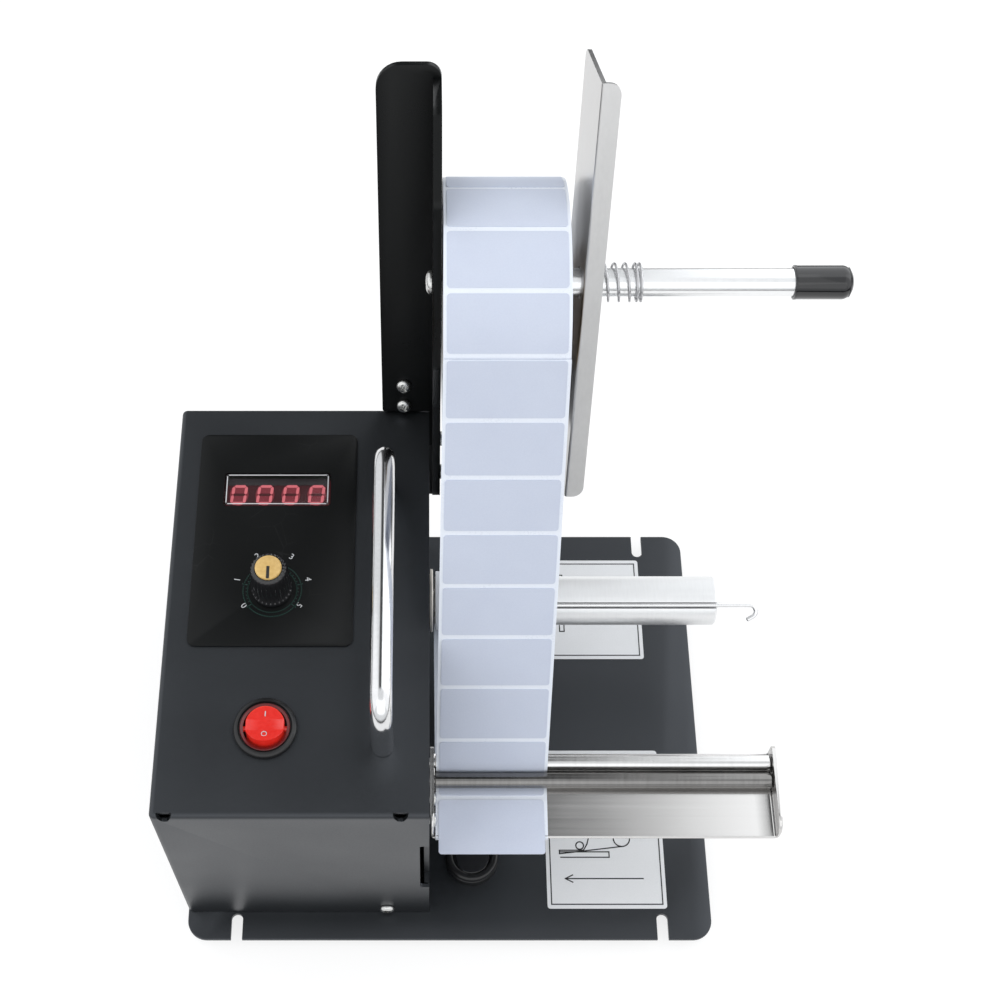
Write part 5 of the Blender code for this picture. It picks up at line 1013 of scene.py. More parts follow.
@dataclass
class Studio:
    """White room with the photographed camera and soft overhead light."""

    lens: float = 60.55
    sensor: float = 36.0
    shift: float = 0.072
    camera_at: Point = (-0.0005, -0.1818, 0.6786)
    camera_tilt: float = 29.64
    even: float = 0.80
    above: float = 1.40
    front: float = 0.95
    side: float = 1.85
    dim: float = 0.06
    dark: float = 0.03
    floor_size: float = 1.2
    floor_drop: float = 0.0002

    right_edge: Point = (0.08, 0.19)
    left_edge: Point = (-0.36, -0.22)
    rear_edge: Point = (-0.08, 0.06)
    ground_edge: Point = (-0.17, -0.08)
    sky_edge: Point = (-0.3, 0.7)
    target: Point = (0.0, 0.0, 0.12)

    def build(self) -> None:
        """Set the camera, the world, the floor and the lamps."""
        self.camera()
        self.world()
        self.floor()
        self.lamp("soft_box_left", (-1.10, -0.20, 0.80), (1.6, 1.6), 3.0)
        self.lamp("soft_box_right", (1.10, -0.20, 0.80), (1.6, 1.6), 3.0)
        self.lamp("soft_box_front", (0.05, -1.30, 1.00), (2.4, 1.2), 5.0)
        bpy.context.scene.view_settings.view_transform = "Standard"

    def camera(self) -> None:
        """Place the camera as in the photograph."""
        data = bpy.data.cameras.new("camera")
        data.lens = self.lens
        data.sensor_width = self.sensor
        data.shift_x = self.shift
        data.clip_start = 0.01
        item = bpy.data.objects.new("camera", data)
        item.location = at(*self.camera_at)
        item.rotation_euler = (math.radians(self.camera_tilt), 0, 0)
        bpy.context.scene.collection.objects.link(item)
        bpy.context.scene.camera = item

    def world(self) -> None:
        """Light the room evenly.

        Reflections see a dim patch behind and a bright right side, and the camera sees white.
        """
        world = bpy.data.worlds.new("studio")
        world.use_nodes = True
        bpy.context.scene.world = world
        graph = Graph(world.node_tree)
        ground = world.node_tree.nodes["Background"]
        graph.feed(ground, Color=(1, 1, 1, 1), Strength=1.0)
        room = graph.node("ShaderNodeBackground")
        rays = graph.node("ShaderNodeLightPath")
        x, y, z = graph.split(graph.node("ShaderNodeTexCoord").outputs["Generated"])
        right = graph.spread(x, self.dim, self.side, *self.right_edge)
        left = graph.spread(x, self.front, self.dim, *self.left_edge)
        rear = graph.spread(y, 0.0, 1.0, *self.rear_edge)
        seen = graph.spread(rear, self.front, graph.math("MAXIMUM", right, left), 0.0, 1.0)
        seen = graph.spread(z, self.dark, seen, *self.ground_edge)
        even = graph.spread(y, self.even, self.above, *self.sky_edge)
        light = graph.spread(rays.outputs["Is Glossy Ray"], even, seen, 0.0, 1.0)
        graph.feed(room, Color=(0.96, 0.98, 1.0, 1), Strength=light)
        choose = graph.node("ShaderNodeMixShader")
        graph.put(rays.outputs["Is Camera Ray"], choose.inputs[0])
        graph.put(room.outputs[0], choose.inputs[1])
        graph.put(ground.outputs[0], choose.inputs[2])
        graph.put(choose.outputs[0], world.node_tree.nodes["World Output"].inputs["Surface"])

    def floor(self) -> None:
        """Lay a white floor that keeps a faint shadow."""
        half = self.floor_size / 2
        low = -self.floor_drop
        bm = bmesh.new()
        bm.faces.new([bm.verts.new((x, y, low)) for x, y in rectangle(-half, -half, half, half)])
        mesh = bpy.data.meshes.new("floor")
        bm.to_mesh(mesh)
        bm.free()
        item = bpy.data.objects.new("floor", mesh)
        bpy.context.scene.collection.objects.link(item)
        made = bpy.data.materials.new("white_floor")
        made.use_nodes = True
        mesh.materials.append(made)
        graph = Graph(made.node_tree)
        shader = made.node_tree.nodes["Principled BSDF"]
        rays = graph.node("ShaderNodeLightPath")
        seen = graph.math("MAXIMUM", rays.outputs["Is Camera Ray"], rays.outputs["Is Glossy Ray"])
        seen = graph.math("MAXIMUM", seen, rays.outputs["Is Transmission Ray"])
        graph.feed(shader, Base_Color=(0.32, 0.32, 0.32, 1), Roughness=1.0, Specular_IOR_Level=0.0,
                   Emission_Color=(1, 1, 1, 1), Emission_Strength=graph.math("MULTIPLY", seen, 0.74))

    def lamp(self, name: str, place: Point, size: Point, power: float) -> None:
        """Hang a soft box that shines at the machine.

        Args:
            name: its name.
            place: where it hangs.
            size: its two sides.
            power: its power.
        """
        data = bpy.data.lights.new(name, "AREA")
        data.shape = "RECTANGLE"
        data.size, data.size_y = size
        data.energy = power
        item = bpy.data.objects.new(name, data)
        item.matrix_world = aim(Vector(place), Vector(place) - Vector(self.target))
        bpy.context.scene.collection.objects.link(item)


ARM_FOOT = (0.1797, 0.1227)
ARM_LEAN = math.radians(19.8)
ARM_SCREW_X = -0.0099
ARM_SCREW_UPS = (0.0072, -0.0024)


def arm_frame() -> Matrix:
    """Return the roll arm's frame: +Z up along its lean, +Y to its rear face."""
    return spot(0, *ARM_FOOT) @ Matrix.Rotation(-ARM_LEAN, 4, "X")


def wall_seat(back: float, up: float) -> Point:
    """Return the design Y and Z of a place on the wall that is given in the roll arm's frame."""
    return tuple((arm_frame() @ Vector((0, back, up)) - DESIGN_ZERO).yz)


ARM_SEATS = (wall_seat(-0.004, -0.016), wall_seat(-0.015, -0.024))
PLATFORM_SEATS = ((0.0295, 0.060), (0.038, 0.060))
WALL_NUTS = ARM_SEATS + PLATFORM_SEATS


@dataclass
class Base:
    """Base plate with edge slots, tabs, feet and the printed sheets on it."""

    left: float = HOUSING_LEFT
    right: float = 0.1147
    depth: float = 0.185
    thick: float = BASE_THICK
    corner: float = 0.008
    rim: float = 0.0004
    slot_width: float = 0.0046
    slot_length: float = 0.0105
    slot_inset: float = 0.020
    tab_width: float = 0.012
    tab_height: float = 0.013
    tab_thick: float = 0.0015
    tab_gap: float = 0.0018
    tab_sink: float = 0.001
    foot_inset: Point = (0.014, 0.024)
    foot_radius: float = 0.008
    foot_height: float = 0.006
    foot_hollow: float = 0.0026
    motor_screws: tuple[Point, ...] = ((-0.0433, 0.0635), (-0.0433, 0.0865))
    screw_length: float = 0.0055
    sheet_thick: float = 0.00012
    sheet_corner: float = 0.0012
    front_sheet: Point = (0.0483, 0.0125, 0.0971, 0.0808)
    front_border: Point = (0.0500, 0.0143, 0.0954, 0.0790)
    rear_sheet: Point = (0.0266, 0.1236, 0.0946, 0.1725)
    rear_border: Point = (0.0284, 0.1254, 0.0928, 0.1707)
    line: float = 0.0005

    def build(self) -> None:
        """Build the plate, the feet, the screws under it and the sheets."""
        outline = rounded(rectangle(self.left, 0, self.right, self.depth), [self.corner] * 4, 12)
        tabs = Shape()
        for low, high in self.tabs():
            tabs.box(low, high, HOME, 0.0005)
        mesh = carve(Shape().prism(outline, -self.thick, 0, HOME, self.rim, 3), self.slots())
        mesh = carve(mesh, tabs, "UNION")
        dress("base_plate_sheet", mesh, POWDER_PAINT, "black_paint", "base_plate")
        in_x, in_y = self.foot_inset
        for side, x in (("left", self.left + in_x), ("right", self.right - in_x)):
            for end, y in (("front", in_y), ("rear", self.depth - in_y)):
                self.foot(f"foot_{end}_{side}", x, y)
        for index, (x, y) in enumerate(WALL_FEET + self.motor_screws):
            seat = at(x, y, -self.thick)
            PAN_SCREW.fit(f"base_screw_{index}", seat, (0, 0, -1), self.screw_length, ZINC)
        self.sheets()

    def slots(self) -> Shape:
        """Return the cutter of the four slots that are open at the plate's edges."""
        cutter = Shape()
        half, over = self.slot_width / 2, CUT_OVERRUN * 5
        near = half * 0.98
        ends = ((-over, self.slot_length, [0, 0, near, near]),
                (self.depth - self.slot_length, self.depth + over, [near, near, 0, 0]))
        for x in (self.left + self.slot_inset, self.right - self.slot_inset):
            for low, high, radii in ends:
                corners = rounded(rectangle(x - half, low, x + half, high), radii)
                cutter.prism(corners, -self.thick * 2, self.thick, HOME)
        return cutter

    def tabs(self) -> list[tuple[Point, Point]]:
        """Return the corners of the upturned tabs behind the cover's screws."""
        half, low, thick, high = self.tab_width / 2, -self.tab_sink, self.tab_thick, self.tab_height
        left = self.left + self.tab_gap
        front, rear = HOUSING_FRONT + self.tab_gap, HOUSING_REAR - self.tab_gap - thick
        outer, inner = COVER_SCREW_XS
        boxes = [((left, y - half, low), (left + thick, y + half, high)) for y in COVER_SCREW_YS]
        for x, y in ((inner, front), (inner, rear), (outer, rear)):
            boxes.append(((x - half, y, low), (x + half, y + thick, high)))
        return boxes

    def foot(self, name: str, x: float, y: float) -> None:
        """Set one rubber foot with a screw in its hollow."""
        top = -self.thick - GAP
        low, wide = top - self.foot_height, self.foot_radius
        floor = low + self.foot_hollow
        profile = [(top, 0), (top, wide - 0.0004), (top - 0.0006, wide), (low + 0.0012, wide - 0.0008)]
        profile += [(low + 0.0004, wide - 0.0013), (low, wide - 0.0022), (low, 0.0042)]
        profile += [(floor, 0.0038), (floor, 0)]
        dress(f"{name}_pad", Shape().lathe(profile, spot(x, y, 0), 48), RUBBER, "rubber", name)
        PAN_SCREW.fit(f"{name}_screw", at(x, y, floor + 0.0002), (0, 0, -1), 0.002, ZINC)

    def sheets(self) -> None:
        """Stick both printed sheets with their plain line drawings on the plate."""
        surface = GAP / 2 + self.sheet_thick
        for name, corners in (("sheet_front", self.front_sheet), ("sheet_rear", self.rear_sheet)):
            outline = rounded(rectangle(*corners), [self.sheet_corner] * 4, 4)
            dress(name, Shape().prism(outline, GAP / 2, surface, HOME), STICKER, "label_paper")
        ink = Shape()
        for points in self.front_drawing() + self.rear_drawing():
            ink_line(ink, points, self.line, surface)
        dress("sheet_lines", ink, BLACK_INK, "label_paper")

    def front_drawing(self) -> list[list[Point]]:
        """Return the lines of the front sheet: how the web runs over rods and edge."""
        roll = (0.0620, 0.0640)
        loops = [rectangle(*self.front_border), circle(0.0105, 36, roll), circle(0.0042, 24, roll),
                 circle(0.0034, 24, (0.0800, 0.0420)), circle(0.0016, 16, (0.0625, 0.0390))]
        web = [(0.0725, 0.0640), (0.0655, 0.0395), (0.0640, 0.0370), (0.0540, 0.0370), (0.0540, 0.0355)]
        waste = [(0.0540, 0.0355), (0.0800, 0.0386)]
        edge = [(0.0545, 0.0363), (0.0745, 0.0363), (0.0745, 0.0340), (0.0545, 0.0340)]
        turn = [(0.0870, 0.0560), (0.0900, 0.0520), (0.0880, 0.0470)]
        turn_head = [(0.0892, 0.0492), (0.0880, 0.0470), (0.0902, 0.0480)]
        arrow = [(0.0560, 0.0250), (0.0880, 0.0250)]
        arrow_head = [(0.0590, 0.0235), (0.0560, 0.0250), (0.0590, 0.0265)]
        return [closed(loop) for loop in loops] + [web, waste, edge, turn, turn_head, arrow, arrow_head]

    def rear_drawing(self) -> list[list[Point]]:
        """Return the lines of the rear sheet: a roll between two cheeks."""
        loops = (self.rear_border, (0.036, 0.138, 0.040, 0.164), (0.040, 0.141, 0.058, 0.161),
                 (0.058, 0.137, 0.060, 0.165), (0.060, 0.149, 0.084, 0.153))
        push = [(0.0665, 0.1420), (0.0820, 0.1420)]
        push_head = [(0.0690, 0.1405), (0.0665, 0.1420), (0.0690, 0.1435)]
        drop = [(0.0480, 0.1310), (0.0480, 0.1360)]
        drop_head = [(0.0465, 0.1340), (0.0480, 0.1360), (0.0495, 0.1340)]
        return [closed(rectangle(*loop)) for loop in loops] + [push, push_head, drop, drop_head]


@dataclass
class Housing:
    """Folded cover with its lug, the right wall, and the cover's screws."""

    left: float = HOUSING_LEFT
    front: float = HOUSING_FRONT
    rear: float = HOUSING_REAR
    top: float = 0.116
    thick: float = 0.0015
    bend: float = 0.002
    bend_steps: int = 6
    switch_hole: float = 0.0103
    window: Point = (-0.0791, 0.13525, -0.0381, 0.14995)
    window_corner: float = 0.0008
    opening_x: float = -0.0035
    opening_z: Point = (0.034, 0.084)
    opening_corner: float = 0.001
    relief_insets: Point = (0.0017, 0.0064)
    relief_width: float = 0.0073
    relief_depth: float = 0.0018
    relief_drop: float = 0.0042
    relief_slope: float = 0.36
    inlet: Point = (-0.075, 0.030)
    inlet_hole: float = 0.0043
    screw_z: float = 0.0065
    screw_length: float = 0.0036
    flush_sink: float = 0.0012
    flush_length: float = 0.0030
    lug_left: float = -0.018
    lug_right: float = -0.003
    lug_foot: float = -0.012
    lug_top: float = 0.0125
    lug_faces: Point = (0.0033, 0.0048)
    nut_radius: float = 0.0028
    wall_thick: float = 0.002
    wall_foot: Point = (-0.014, -0.001)
    wall_foot_inset: float = 0.012
    wall_cut_depth: float = 0.0045
    wall_cut_z: Point = (0.0342, 0.0838)
    bearing_hole: float = 0.0113

    def build(self) -> None:
        """Build the cover, the wall and the cover's screws."""
        thick = self.thick
        mesh = self.folded((self.left, self.front, GAP), (0, self.rear, self.top), self.bend)
        room = self.folded((self.left + thick, self.front + thick, -CUT_OVERRUN),
                           (CUT_OVERRUN, self.rear - thick, self.top - thick), self.bend - thick * 0.9)
        mesh = carve(carve(carve(mesh, room), self.cutouts()), self.lug(), "UNION")
        cover = dress("housing_sheet", mesh, POWDER_PAINT, "black_paint", "housing_cover")
        soften(cover, 0.0002, 1)
        self.wall()
        for name, ((x, y), outward) in self.screws().items():
            if name.startswith("left"):
                seat = at(x + self.flush_sink, y, self.screw_z)
                FLUSH_SCREW.fit(f"cover_screw_{name}", seat, outward, self.flush_length, ZINC)
            else:
                stands_for = ["cover_screw"] if name == "front" else []
                seat = at(x, y, self.screw_z)
                PAN_SCREW.fit(f"cover_screw_{name}", seat, outward, self.screw_length, ZINC, *stands_for)

    def screws(self) -> dict[str, tuple[Point, Point]]:
        """Return each cover screw's X and Y, and where its head points, by name."""
        outer, inner = COVER_SCREW_XS
        front, rear = COVER_SCREW_YS
        return {"front": ((inner, self.front), (0, -1, 0)), "rear_left": ((outer, self.rear), (0, 1, 0)),
                "rear_right": ((inner, self.rear), (0, 1, 0)), "left_front": ((self.left, front), (-1, 0, 0)),
                "left_rear": ((self.left, rear), (-1, 0, 0))}

    def folded(self, low: Point, high: Point, bend: float) -> bpy.types.Mesh:
        """Return a block with rounded folds; its foot and its right side stay square.

        Args:
            low: its lowest corner.
            high: its highest corner.
            bend: how far the folds are rounded.

        Returns:
            The mesh.
        """
        bm = bmesh.new()
        bmesh.ops.create_cube(bm, size=1.0)
        for vert in bm.verts:
            vert.co = Vector(high[axis] if vert.co[axis] > 0 else low[axis] for axis in range(3))
        folds = []
        for edge in bm.edges:
            middle = (edge.verts[0].co + edge.verts[1].co) / 2
            if middle.z > low[2] + GAP and middle.x < high[0] - GAP:
                folds.append(edge)
        bmesh.ops.bevel(bm, geom=folds, offset=bend, segments=self.bend_steps, profile=0.5, affect="EDGES")
        mesh = bpy.data.meshes.new("folded")
        bm.to_mesh(mesh)
        bm.free()
        mesh.transform(HOME)
        return mesh

    def cutouts(self) -> Shape:
        """Return the cutter of the panel openings, notches and screw holes."""
        cutter = Shape()
        low, high = self.top - self.thick - CUT_OVERRUN, self.top + CUT_OVERRUN
        cutter.prism(rounded(rectangle(*self.window), [self.window_corner] * 4), low, high, HOME)
        cutter.prism(circle(DIAL_HOLE, 32, DIAL), low, high, HOME)
        cutter.prism(circle(self.switch_hole, 48, SWITCH), low, high, HOME)
        for foot in HANDLE_FEET:
            cutter.prism(circle(HANDLE_SCREW_HOLE, 24, foot), low, high, HOME)
        outer, inner = self.front - CUT_OVERRUN, self.front + self.thick + CUT_OVERRUN
        sill, lintel = self.opening_z
        corner = self.opening_corner
        opening = rounded(rectangle(self.opening_x, sill, CUT_OVERRUN, lintel), [corner, 0, 0, corner])
        cutter.prism(opening, outer, inner, ALONG_Y)
        wide, slope = self.relief_width, self.relief_width * self.relief_slope
        floor, corner = self.top - self.relief_drop, self.window_corner
        left_inset, right_inset = self.relief_insets
        for start in (self.left + left_inset, -right_inset - wide):
            end = start + wide
            corners = [(start + slope, floor), (end - slope, floor), (end, high), (start, high)]
            notch = rounded(corners, [corner, corner, 0, 0])
            cutter.prism(notch, outer, self.front + self.relief_depth, ALONG_Y)
        reach = self.thick * 2
        for (x, y), outward in self.screws().values():
            cutter.bore(aim(at(x, y, self.screw_z), outward), -reach, reach, SCREW_HOLE)
        x, z = self.inlet
        return cutter.bore(aim(at(x, self.rear, z), (0, 1, 0)), -0.01, 0.01, self.inlet_hole, 32)

    def lug(self) -> Shape:
        """Return the upturned lug behind the roll arm's flange, with its clinch nuts."""
        corners = rectangle(self.lug_left, self.lug_foot, self.lug_right, self.lug_top)
        low, high = self.lug_faces
        shape = Shape().prism(rounded(corners, [0, 0, 0.005, 0.005]), low, high, arm_frame() @ TO_Y, 0.0002)
        wide = self.nut_radius
        for up in ARM_SCREW_UPS:
            place = arm_frame() @ Matrix.Translation((ARM_SCREW_X, high - 0.0001, up))
            nut = [(0, 0), (0, wide), (0.0013, wide), (0.0016, wide - 0.0003), (0.0016, 0)]
            shape.lathe(nut, place @ Matrix.Rotation(-QUARTER, 4, "X"), 32)
        return shape

    def wall(self) -> None:
        """Build the right wall with its foot, holes and clinch nuts."""
        front, rear = self.front + self.thick + GAP, self.rear - self.thick - GAP
        high = self.top - self.thick - 2 * GAP
        sheet = Shape().prism(rectangle(front, GAP, rear, high), -self.wall_thick, 0, ALONG_X, 0.0003)
        inset = self.wall_foot_inset
        (left, right), foot_top = self.wall_foot, GAP + self.wall_thick
        foot = Shape().box((left, front + inset, GAP), (right, rear - inset, foot_top), HOME, 0.0004)
        nuts, wide = Shape(), self.nut_radius
        for seat in WALL_NUTS:
            nut = [(-0.0035, 0), (-0.0035, wide - 0.0003), (-0.0032, wide), (-0.001, wide), (-0.001, 0)]
            nuts.lathe(nut, axle(*seat), 24)
        holes = Shape()
        bores = [(TAKEUP, self.bearing_hole), (PRESS_ROD, ROD_HOLE), (GUIDE_ROD, ROD_HOLE)]
        bores += [(seat, SCREW_HOLE) for seat in WALL_NUTS]
        for seat, radius in bores:
            holes.bore(axle(*seat), -0.006, 0.006, radius, 48)
        for seat in WALL_FEET:
            holes.bore(spot(*seat, 0), -0.004, 0.006, SCREW_HOLE)
        sill, lintel = self.wall_cut_z
        holes.box((-self.wall_thick * 2, front - CUT_OVERRUN, sill),
                  (CUT_OVERRUN, front + self.wall_cut_depth, lintel), HOME)
        mesh = carve(carve(carve(sheet, foot, "UNION"), nuts, "UNION"), holes)
        dress("side_wall", mesh, POWDER_PAINT, "black_paint", "right_wall")


@dataclass
class Panel:
    """Overlay with its printed dial, the display window and the lit digits."""

    middle: float = DIAL[0]
    front: float = 0.0764
    width: float = 0.061
    length: float = 0.091
    bottom: float = 0.1163
    top: float = 0.1168
    corner: float = 0.003
    window_y: float = 0.1426
    window_width: float = 0.0404
    window_length: float = 0.0141
    window_corner: float = 0.0010
    window_line: float = 0.0004
    pane_drop: float = 0.0015
    block_half: Point = (0.0201, 0.0064)
    block_low: float = 0.1069
    face: float = 0.1142
    digits: int = 4
    digit_pitch: float = 0.010
    digit_width: float = 0.0060
    digit_height: float = 0.0086
    digit_drop: float = 0.0008
    halo: Point = (0.0036, 0.0048)
    dot: Point = (0.0043, -0.0040)
    dot_radius: float = 0.0006
    stroke: float = 0.0011
    slant: float = 0.10
    number_size: float = 0.0034
    number_circle: float = 0.0133
    number_rise: float = 0.0025
    number_angles: tuple[int, ...] = (-139, 172, 118, 60, 9, -40)
    rings: Point = (0.0092, 0.0109)
    ring_line: float = 0.00045
    tick_line: float = 0.0003
    tick_length: float = 0.0006
    ticks: int = 31
    tick_start: float = -142.0
    tick_sweep: float = 256.0
    ticks_per_number: int = 6

    def build(self) -> None:
        """Build the film, its print, the window and the display."""
        half, low, high = self.width / 2, self.bottom - CUT_OVERRUN, self.top + CUT_OVERRUN
        corners = rectangle(self.middle - half, self.front, self.middle + half, self.front + self.length)
        film = Shape().prism(rounded(corners, [self.corner] * 4), self.bottom, self.top, HOME, 0.00015)
        holes = Shape().prism(self.window(GAP), low, high, HOME)
        holes.prism(circle(DIAL_HOLE, 32, DIAL), low, high, HOME)
        dress("overlay_film", carve(film, holes), FILM, "gloss_black", "overlay_panel")
        pane = Shape().prism(self.window(0), self.bottom - self.pane_drop, self.top, HOME, 0.0001)
        dress("window_pane", pane, SMOKED, "smoked_window", "display_window")
        self.print_rings()
        ink = Shape()
        ink_line(ink, closed(self.window(-0.0007)), self.window_line, self.top)
        dress("window_line", ink, INK, "gloss_black")
        self.display()

    def window(self, grow: float) -> list[Point]:
        """Return the window's outline, grown all round."""
        wide, long = self.window_width / 2 + grow, self.window_length / 2 + grow
        x, y = self.middle, self.window_y
        corners = rectangle(x - wide, y - long, x + wide, y + long)
        return rounded(corners, [self.window_corner + grow] * 4)

    def dial_point(self, radius: float, angle: float, rise: float = 0.0) -> Point:
        """Return a point on the dial at a radius and an angle."""
        x, y = DIAL
        return (x + radius * math.cos(angle), y + rise + radius * math.sin(angle))

    def print_rings(self) -> None:
        """Print the dial's rings, ticks and plain numbers."""
        ink = Shape()
        for radius in self.rings:
            ink_line(ink, closed(circle(radius, 72, DIAL)), self.ring_line, self.top)
        near, far = self.rings
        for index in range(self.ticks):
            turn = math.radians(self.tick_start - index * self.tick_sweep / (self.ticks - 1))
            end = (near if index % self.ticks_per_number else far) + self.tick_length
            ink_line(ink, [self.dial_point(near, turn), self.dial_point(end, turn)], self.tick_line, self.top)
        dress("dial_rings", ink, GREEN_INK, "gloss_black")
        for value, angle in enumerate(self.number_angles):
            turn = math.radians(angle)
            place = at(*self.dial_point(self.number_circle, turn, self.number_rise), self.top)
            mesh = lettering(str(value), self.number_size, place, turn - QUARTER)
            dress(f"dial_number_{value}", mesh, INK, "gloss_black")

    def display(self) -> None:
        """Build the display block with four seven-segment zeros."""
        half_width, half_length = self.block_half
        back = self.face - 0.0004
        low = (self.middle - half_width, self.window_y - half_length, self.block_low)
        high = (self.middle + half_width, self.window_y + half_length, back)
        block = Shape().box(low, high, HOME, 0.0003)
        dress("display_block", block, DISPLAY_FACE, "black_plastic", "display_module")
        rim = Shape().box((low[0] + 0.0003, high[1] - 0.0030, back - 0.0001),
                          (high[0] - 0.0003, high[1], back + 0.0002), HOME, 0.0001)
        dress("display_rim", rim, DISPLAY_RIM, "black_plastic")
        lit, dark, halo = Shape(), Shape(), Shape()
        y = self.window_y - self.digit_drop
        for digit in range(self.digits):
            x = self.middle + self.digit_pitch * (digit - (self.digits - 1) / 2)
            # Each digit sits on a glowing disc: a pool of painted light on the display face.
            glow = [(x + self.halo[0] * cosine, y + self.halo[1] * sine) for cosine, sine in circle(1, 32)]
            halo.prism(glow, back, back + 0.0001, HOME)
            *outer, middle = self.segments(x, y)
            for outline in outer:
                lit.prism(outline, back, back + 0.0002, HOME)
            point = circle(self.dot_radius, 16, (x + self.dot[0], y + self.dot[1]))
            dark.prism(middle, back, back + 0.0002, HOME).prism(point, back, back + 0.0002, HOME)
        # Painted glow round the digits, then the lit segments and the unlit ones, which also carry a faint
        # painted glow.
        dress("digits_painted_glow", halo, PAINTED_DIGIT_GLOW, "red_lens")
        dress("digits_lit", lit, DIGIT_LIT, "red_lens")
        dress("digits_dark", dark, DIGIT_DARK, "red_lens")

    def segments(self, x: float, y: float) -> list[list[Point]]:
        """Return the seven segments of one digit; the last is the middle one."""
        half = self.stroke / 2
        wide, high = self.digit_width / 2 - half, self.digit_height / 2 - half
        gap = self.stroke * 0.15
        ends = [((-wide + gap, level), (wide - gap, level)) for level in (high, -high)]
        for side in (-wide, wide):
            ends += [((side, gap), (side, high - gap)), ((side, -high + gap), (side, -gap))]
        ends.append(((-wide + gap, 0.0), (wide - gap, 0.0)))
        return [self.bar(start, end, half, x, y) for start, end in ends]

    def bar(self, start: Point, end: Point, half: float, x: float, y: float) -> list[Point]:
        """Return one segment with pointed ends, slanted, at its digit's place."""
        first, last = Vector(start), Vector(end)
        along = (last - first).normalized() * half
        across = left_of(along)
        near, far = first + along, last - along
        corners = [first, near - across, far - across, last, far + across, near + across]
        return [(x + corner.x + self.slant * corner.y, y + corner.y) for corner in corners]


@dataclass
class Dial:
    """Fluted knob with its cream cap, and what turns or stands under it."""

    low: float = 0.1174
    high: float = 0.1349
    radius: float = 0.0075
    plain_height: float = 0.0022
    flutes: int = 28
    flute_steps: int = 6
    flute_depth: float = 0.00035
    skirt: Point = (0.0050, 0.0064)
    shaft_bore: Point = (0.0124, 0.0028)
    cap_seat: Point = (0.0007, 0.0052)
    cap_radius: float = 0.0049
    cap_top: float = 0.1358
    pointer_half: float = 0.00055
    pointer_y: Point = (-0.0047, 0.0002)

    def build(self) -> None:
        """Build the knob and its cap, and dress the parts under them."""
        height = self.high - self.low
        levels = [(0, -0.0003), (0.0003, 0), (0.0020, 0), (0.0024, -0.0002), (height * 0.5, -0.0003)]
        levels += [(height - 0.0016, -0.0006), (height - 0.0008, -0.0009), (height - 0.0003, -0.0014)]
        levels += [(height, -0.0021)]
        body = Shape().skin([self.ring(up, self.radius + grow) for up, grow in levels])
        mesh = carve(body, self.bores())
        dress("knob_body", mesh, VINYL, "black_plastic", "knob", body="knob", angle=50)
        top, seat, wide = self.cap_top, self.high - 0.0004, self.cap_radius
        profile = [(seat, 0), (seat, wide), (top - 0.0005, wide), (top - 0.0002, wide - 0.0002)]
        profile += [(top, wide - 0.0006), (top + 0.0001, wide * 0.4), (top + 0.00012, 0)]
        cap = Shape().lathe(profile, spot(*DIAL, 0))
        dress("knob_cap_disc", cap, CREAM, "cream_plastic", "knob_cap", body="knob")
        near, far = self.pointer_y
        corners = rectangle(-self.pointer_half, near, self.pointer_half, far)
        pointer = Shape().prism(corners, top - 0.0001, top + 0.0002, spot(*DIAL, 0))
        dress("knob_pointer", pointer, BLACK_INK, "black_plastic", body="knob")
        keep(ZINC, "potentiometer", "pot_nut", "pot_shaft")
        keep(BOARD, "control_board")

    def ring(self, up: float, radius: float) -> list[Vector]:
        """Return one level of the knob's outside."""
        steps = self.flutes * self.flute_steps
        depth = self.flute_depth if up > self.plain_height else 0
        points = []
        for x, y in circle(1, steps):
            wave = abs(math.cos(self.flutes * math.atan2(y, x) / 2)) ** 0.7
            reach = radius - depth * wave
            points.append(at(DIAL[0] + reach * x, DIAL[1] + reach * y, self.low + up))
        return points

    def bores(self) -> Shape:
        """Return the cutter of the knob's skirt, bore and cap seat."""
        place, low, over = spot(*DIAL, 0), self.low - CUT_OVERRUN, self.high + CUT_OVERRUN
        (skirt, skirt_wide), (shaft, shaft_wide) = self.skirt, self.shaft_bore
        seat, seat_wide = self.cap_seat
        skirt, shaft = self.low + skirt, self.low + shaft
        profile = [(low, 0), (low, skirt_wide), (skirt, skirt_wide), (skirt, shaft_wide), (shaft, shaft_wide)]
        cutter = Shape().lathe([*profile, (shaft, 0)], place, 48)
        return cutter.bore(place, self.high - seat, over, seat_wide, 64)


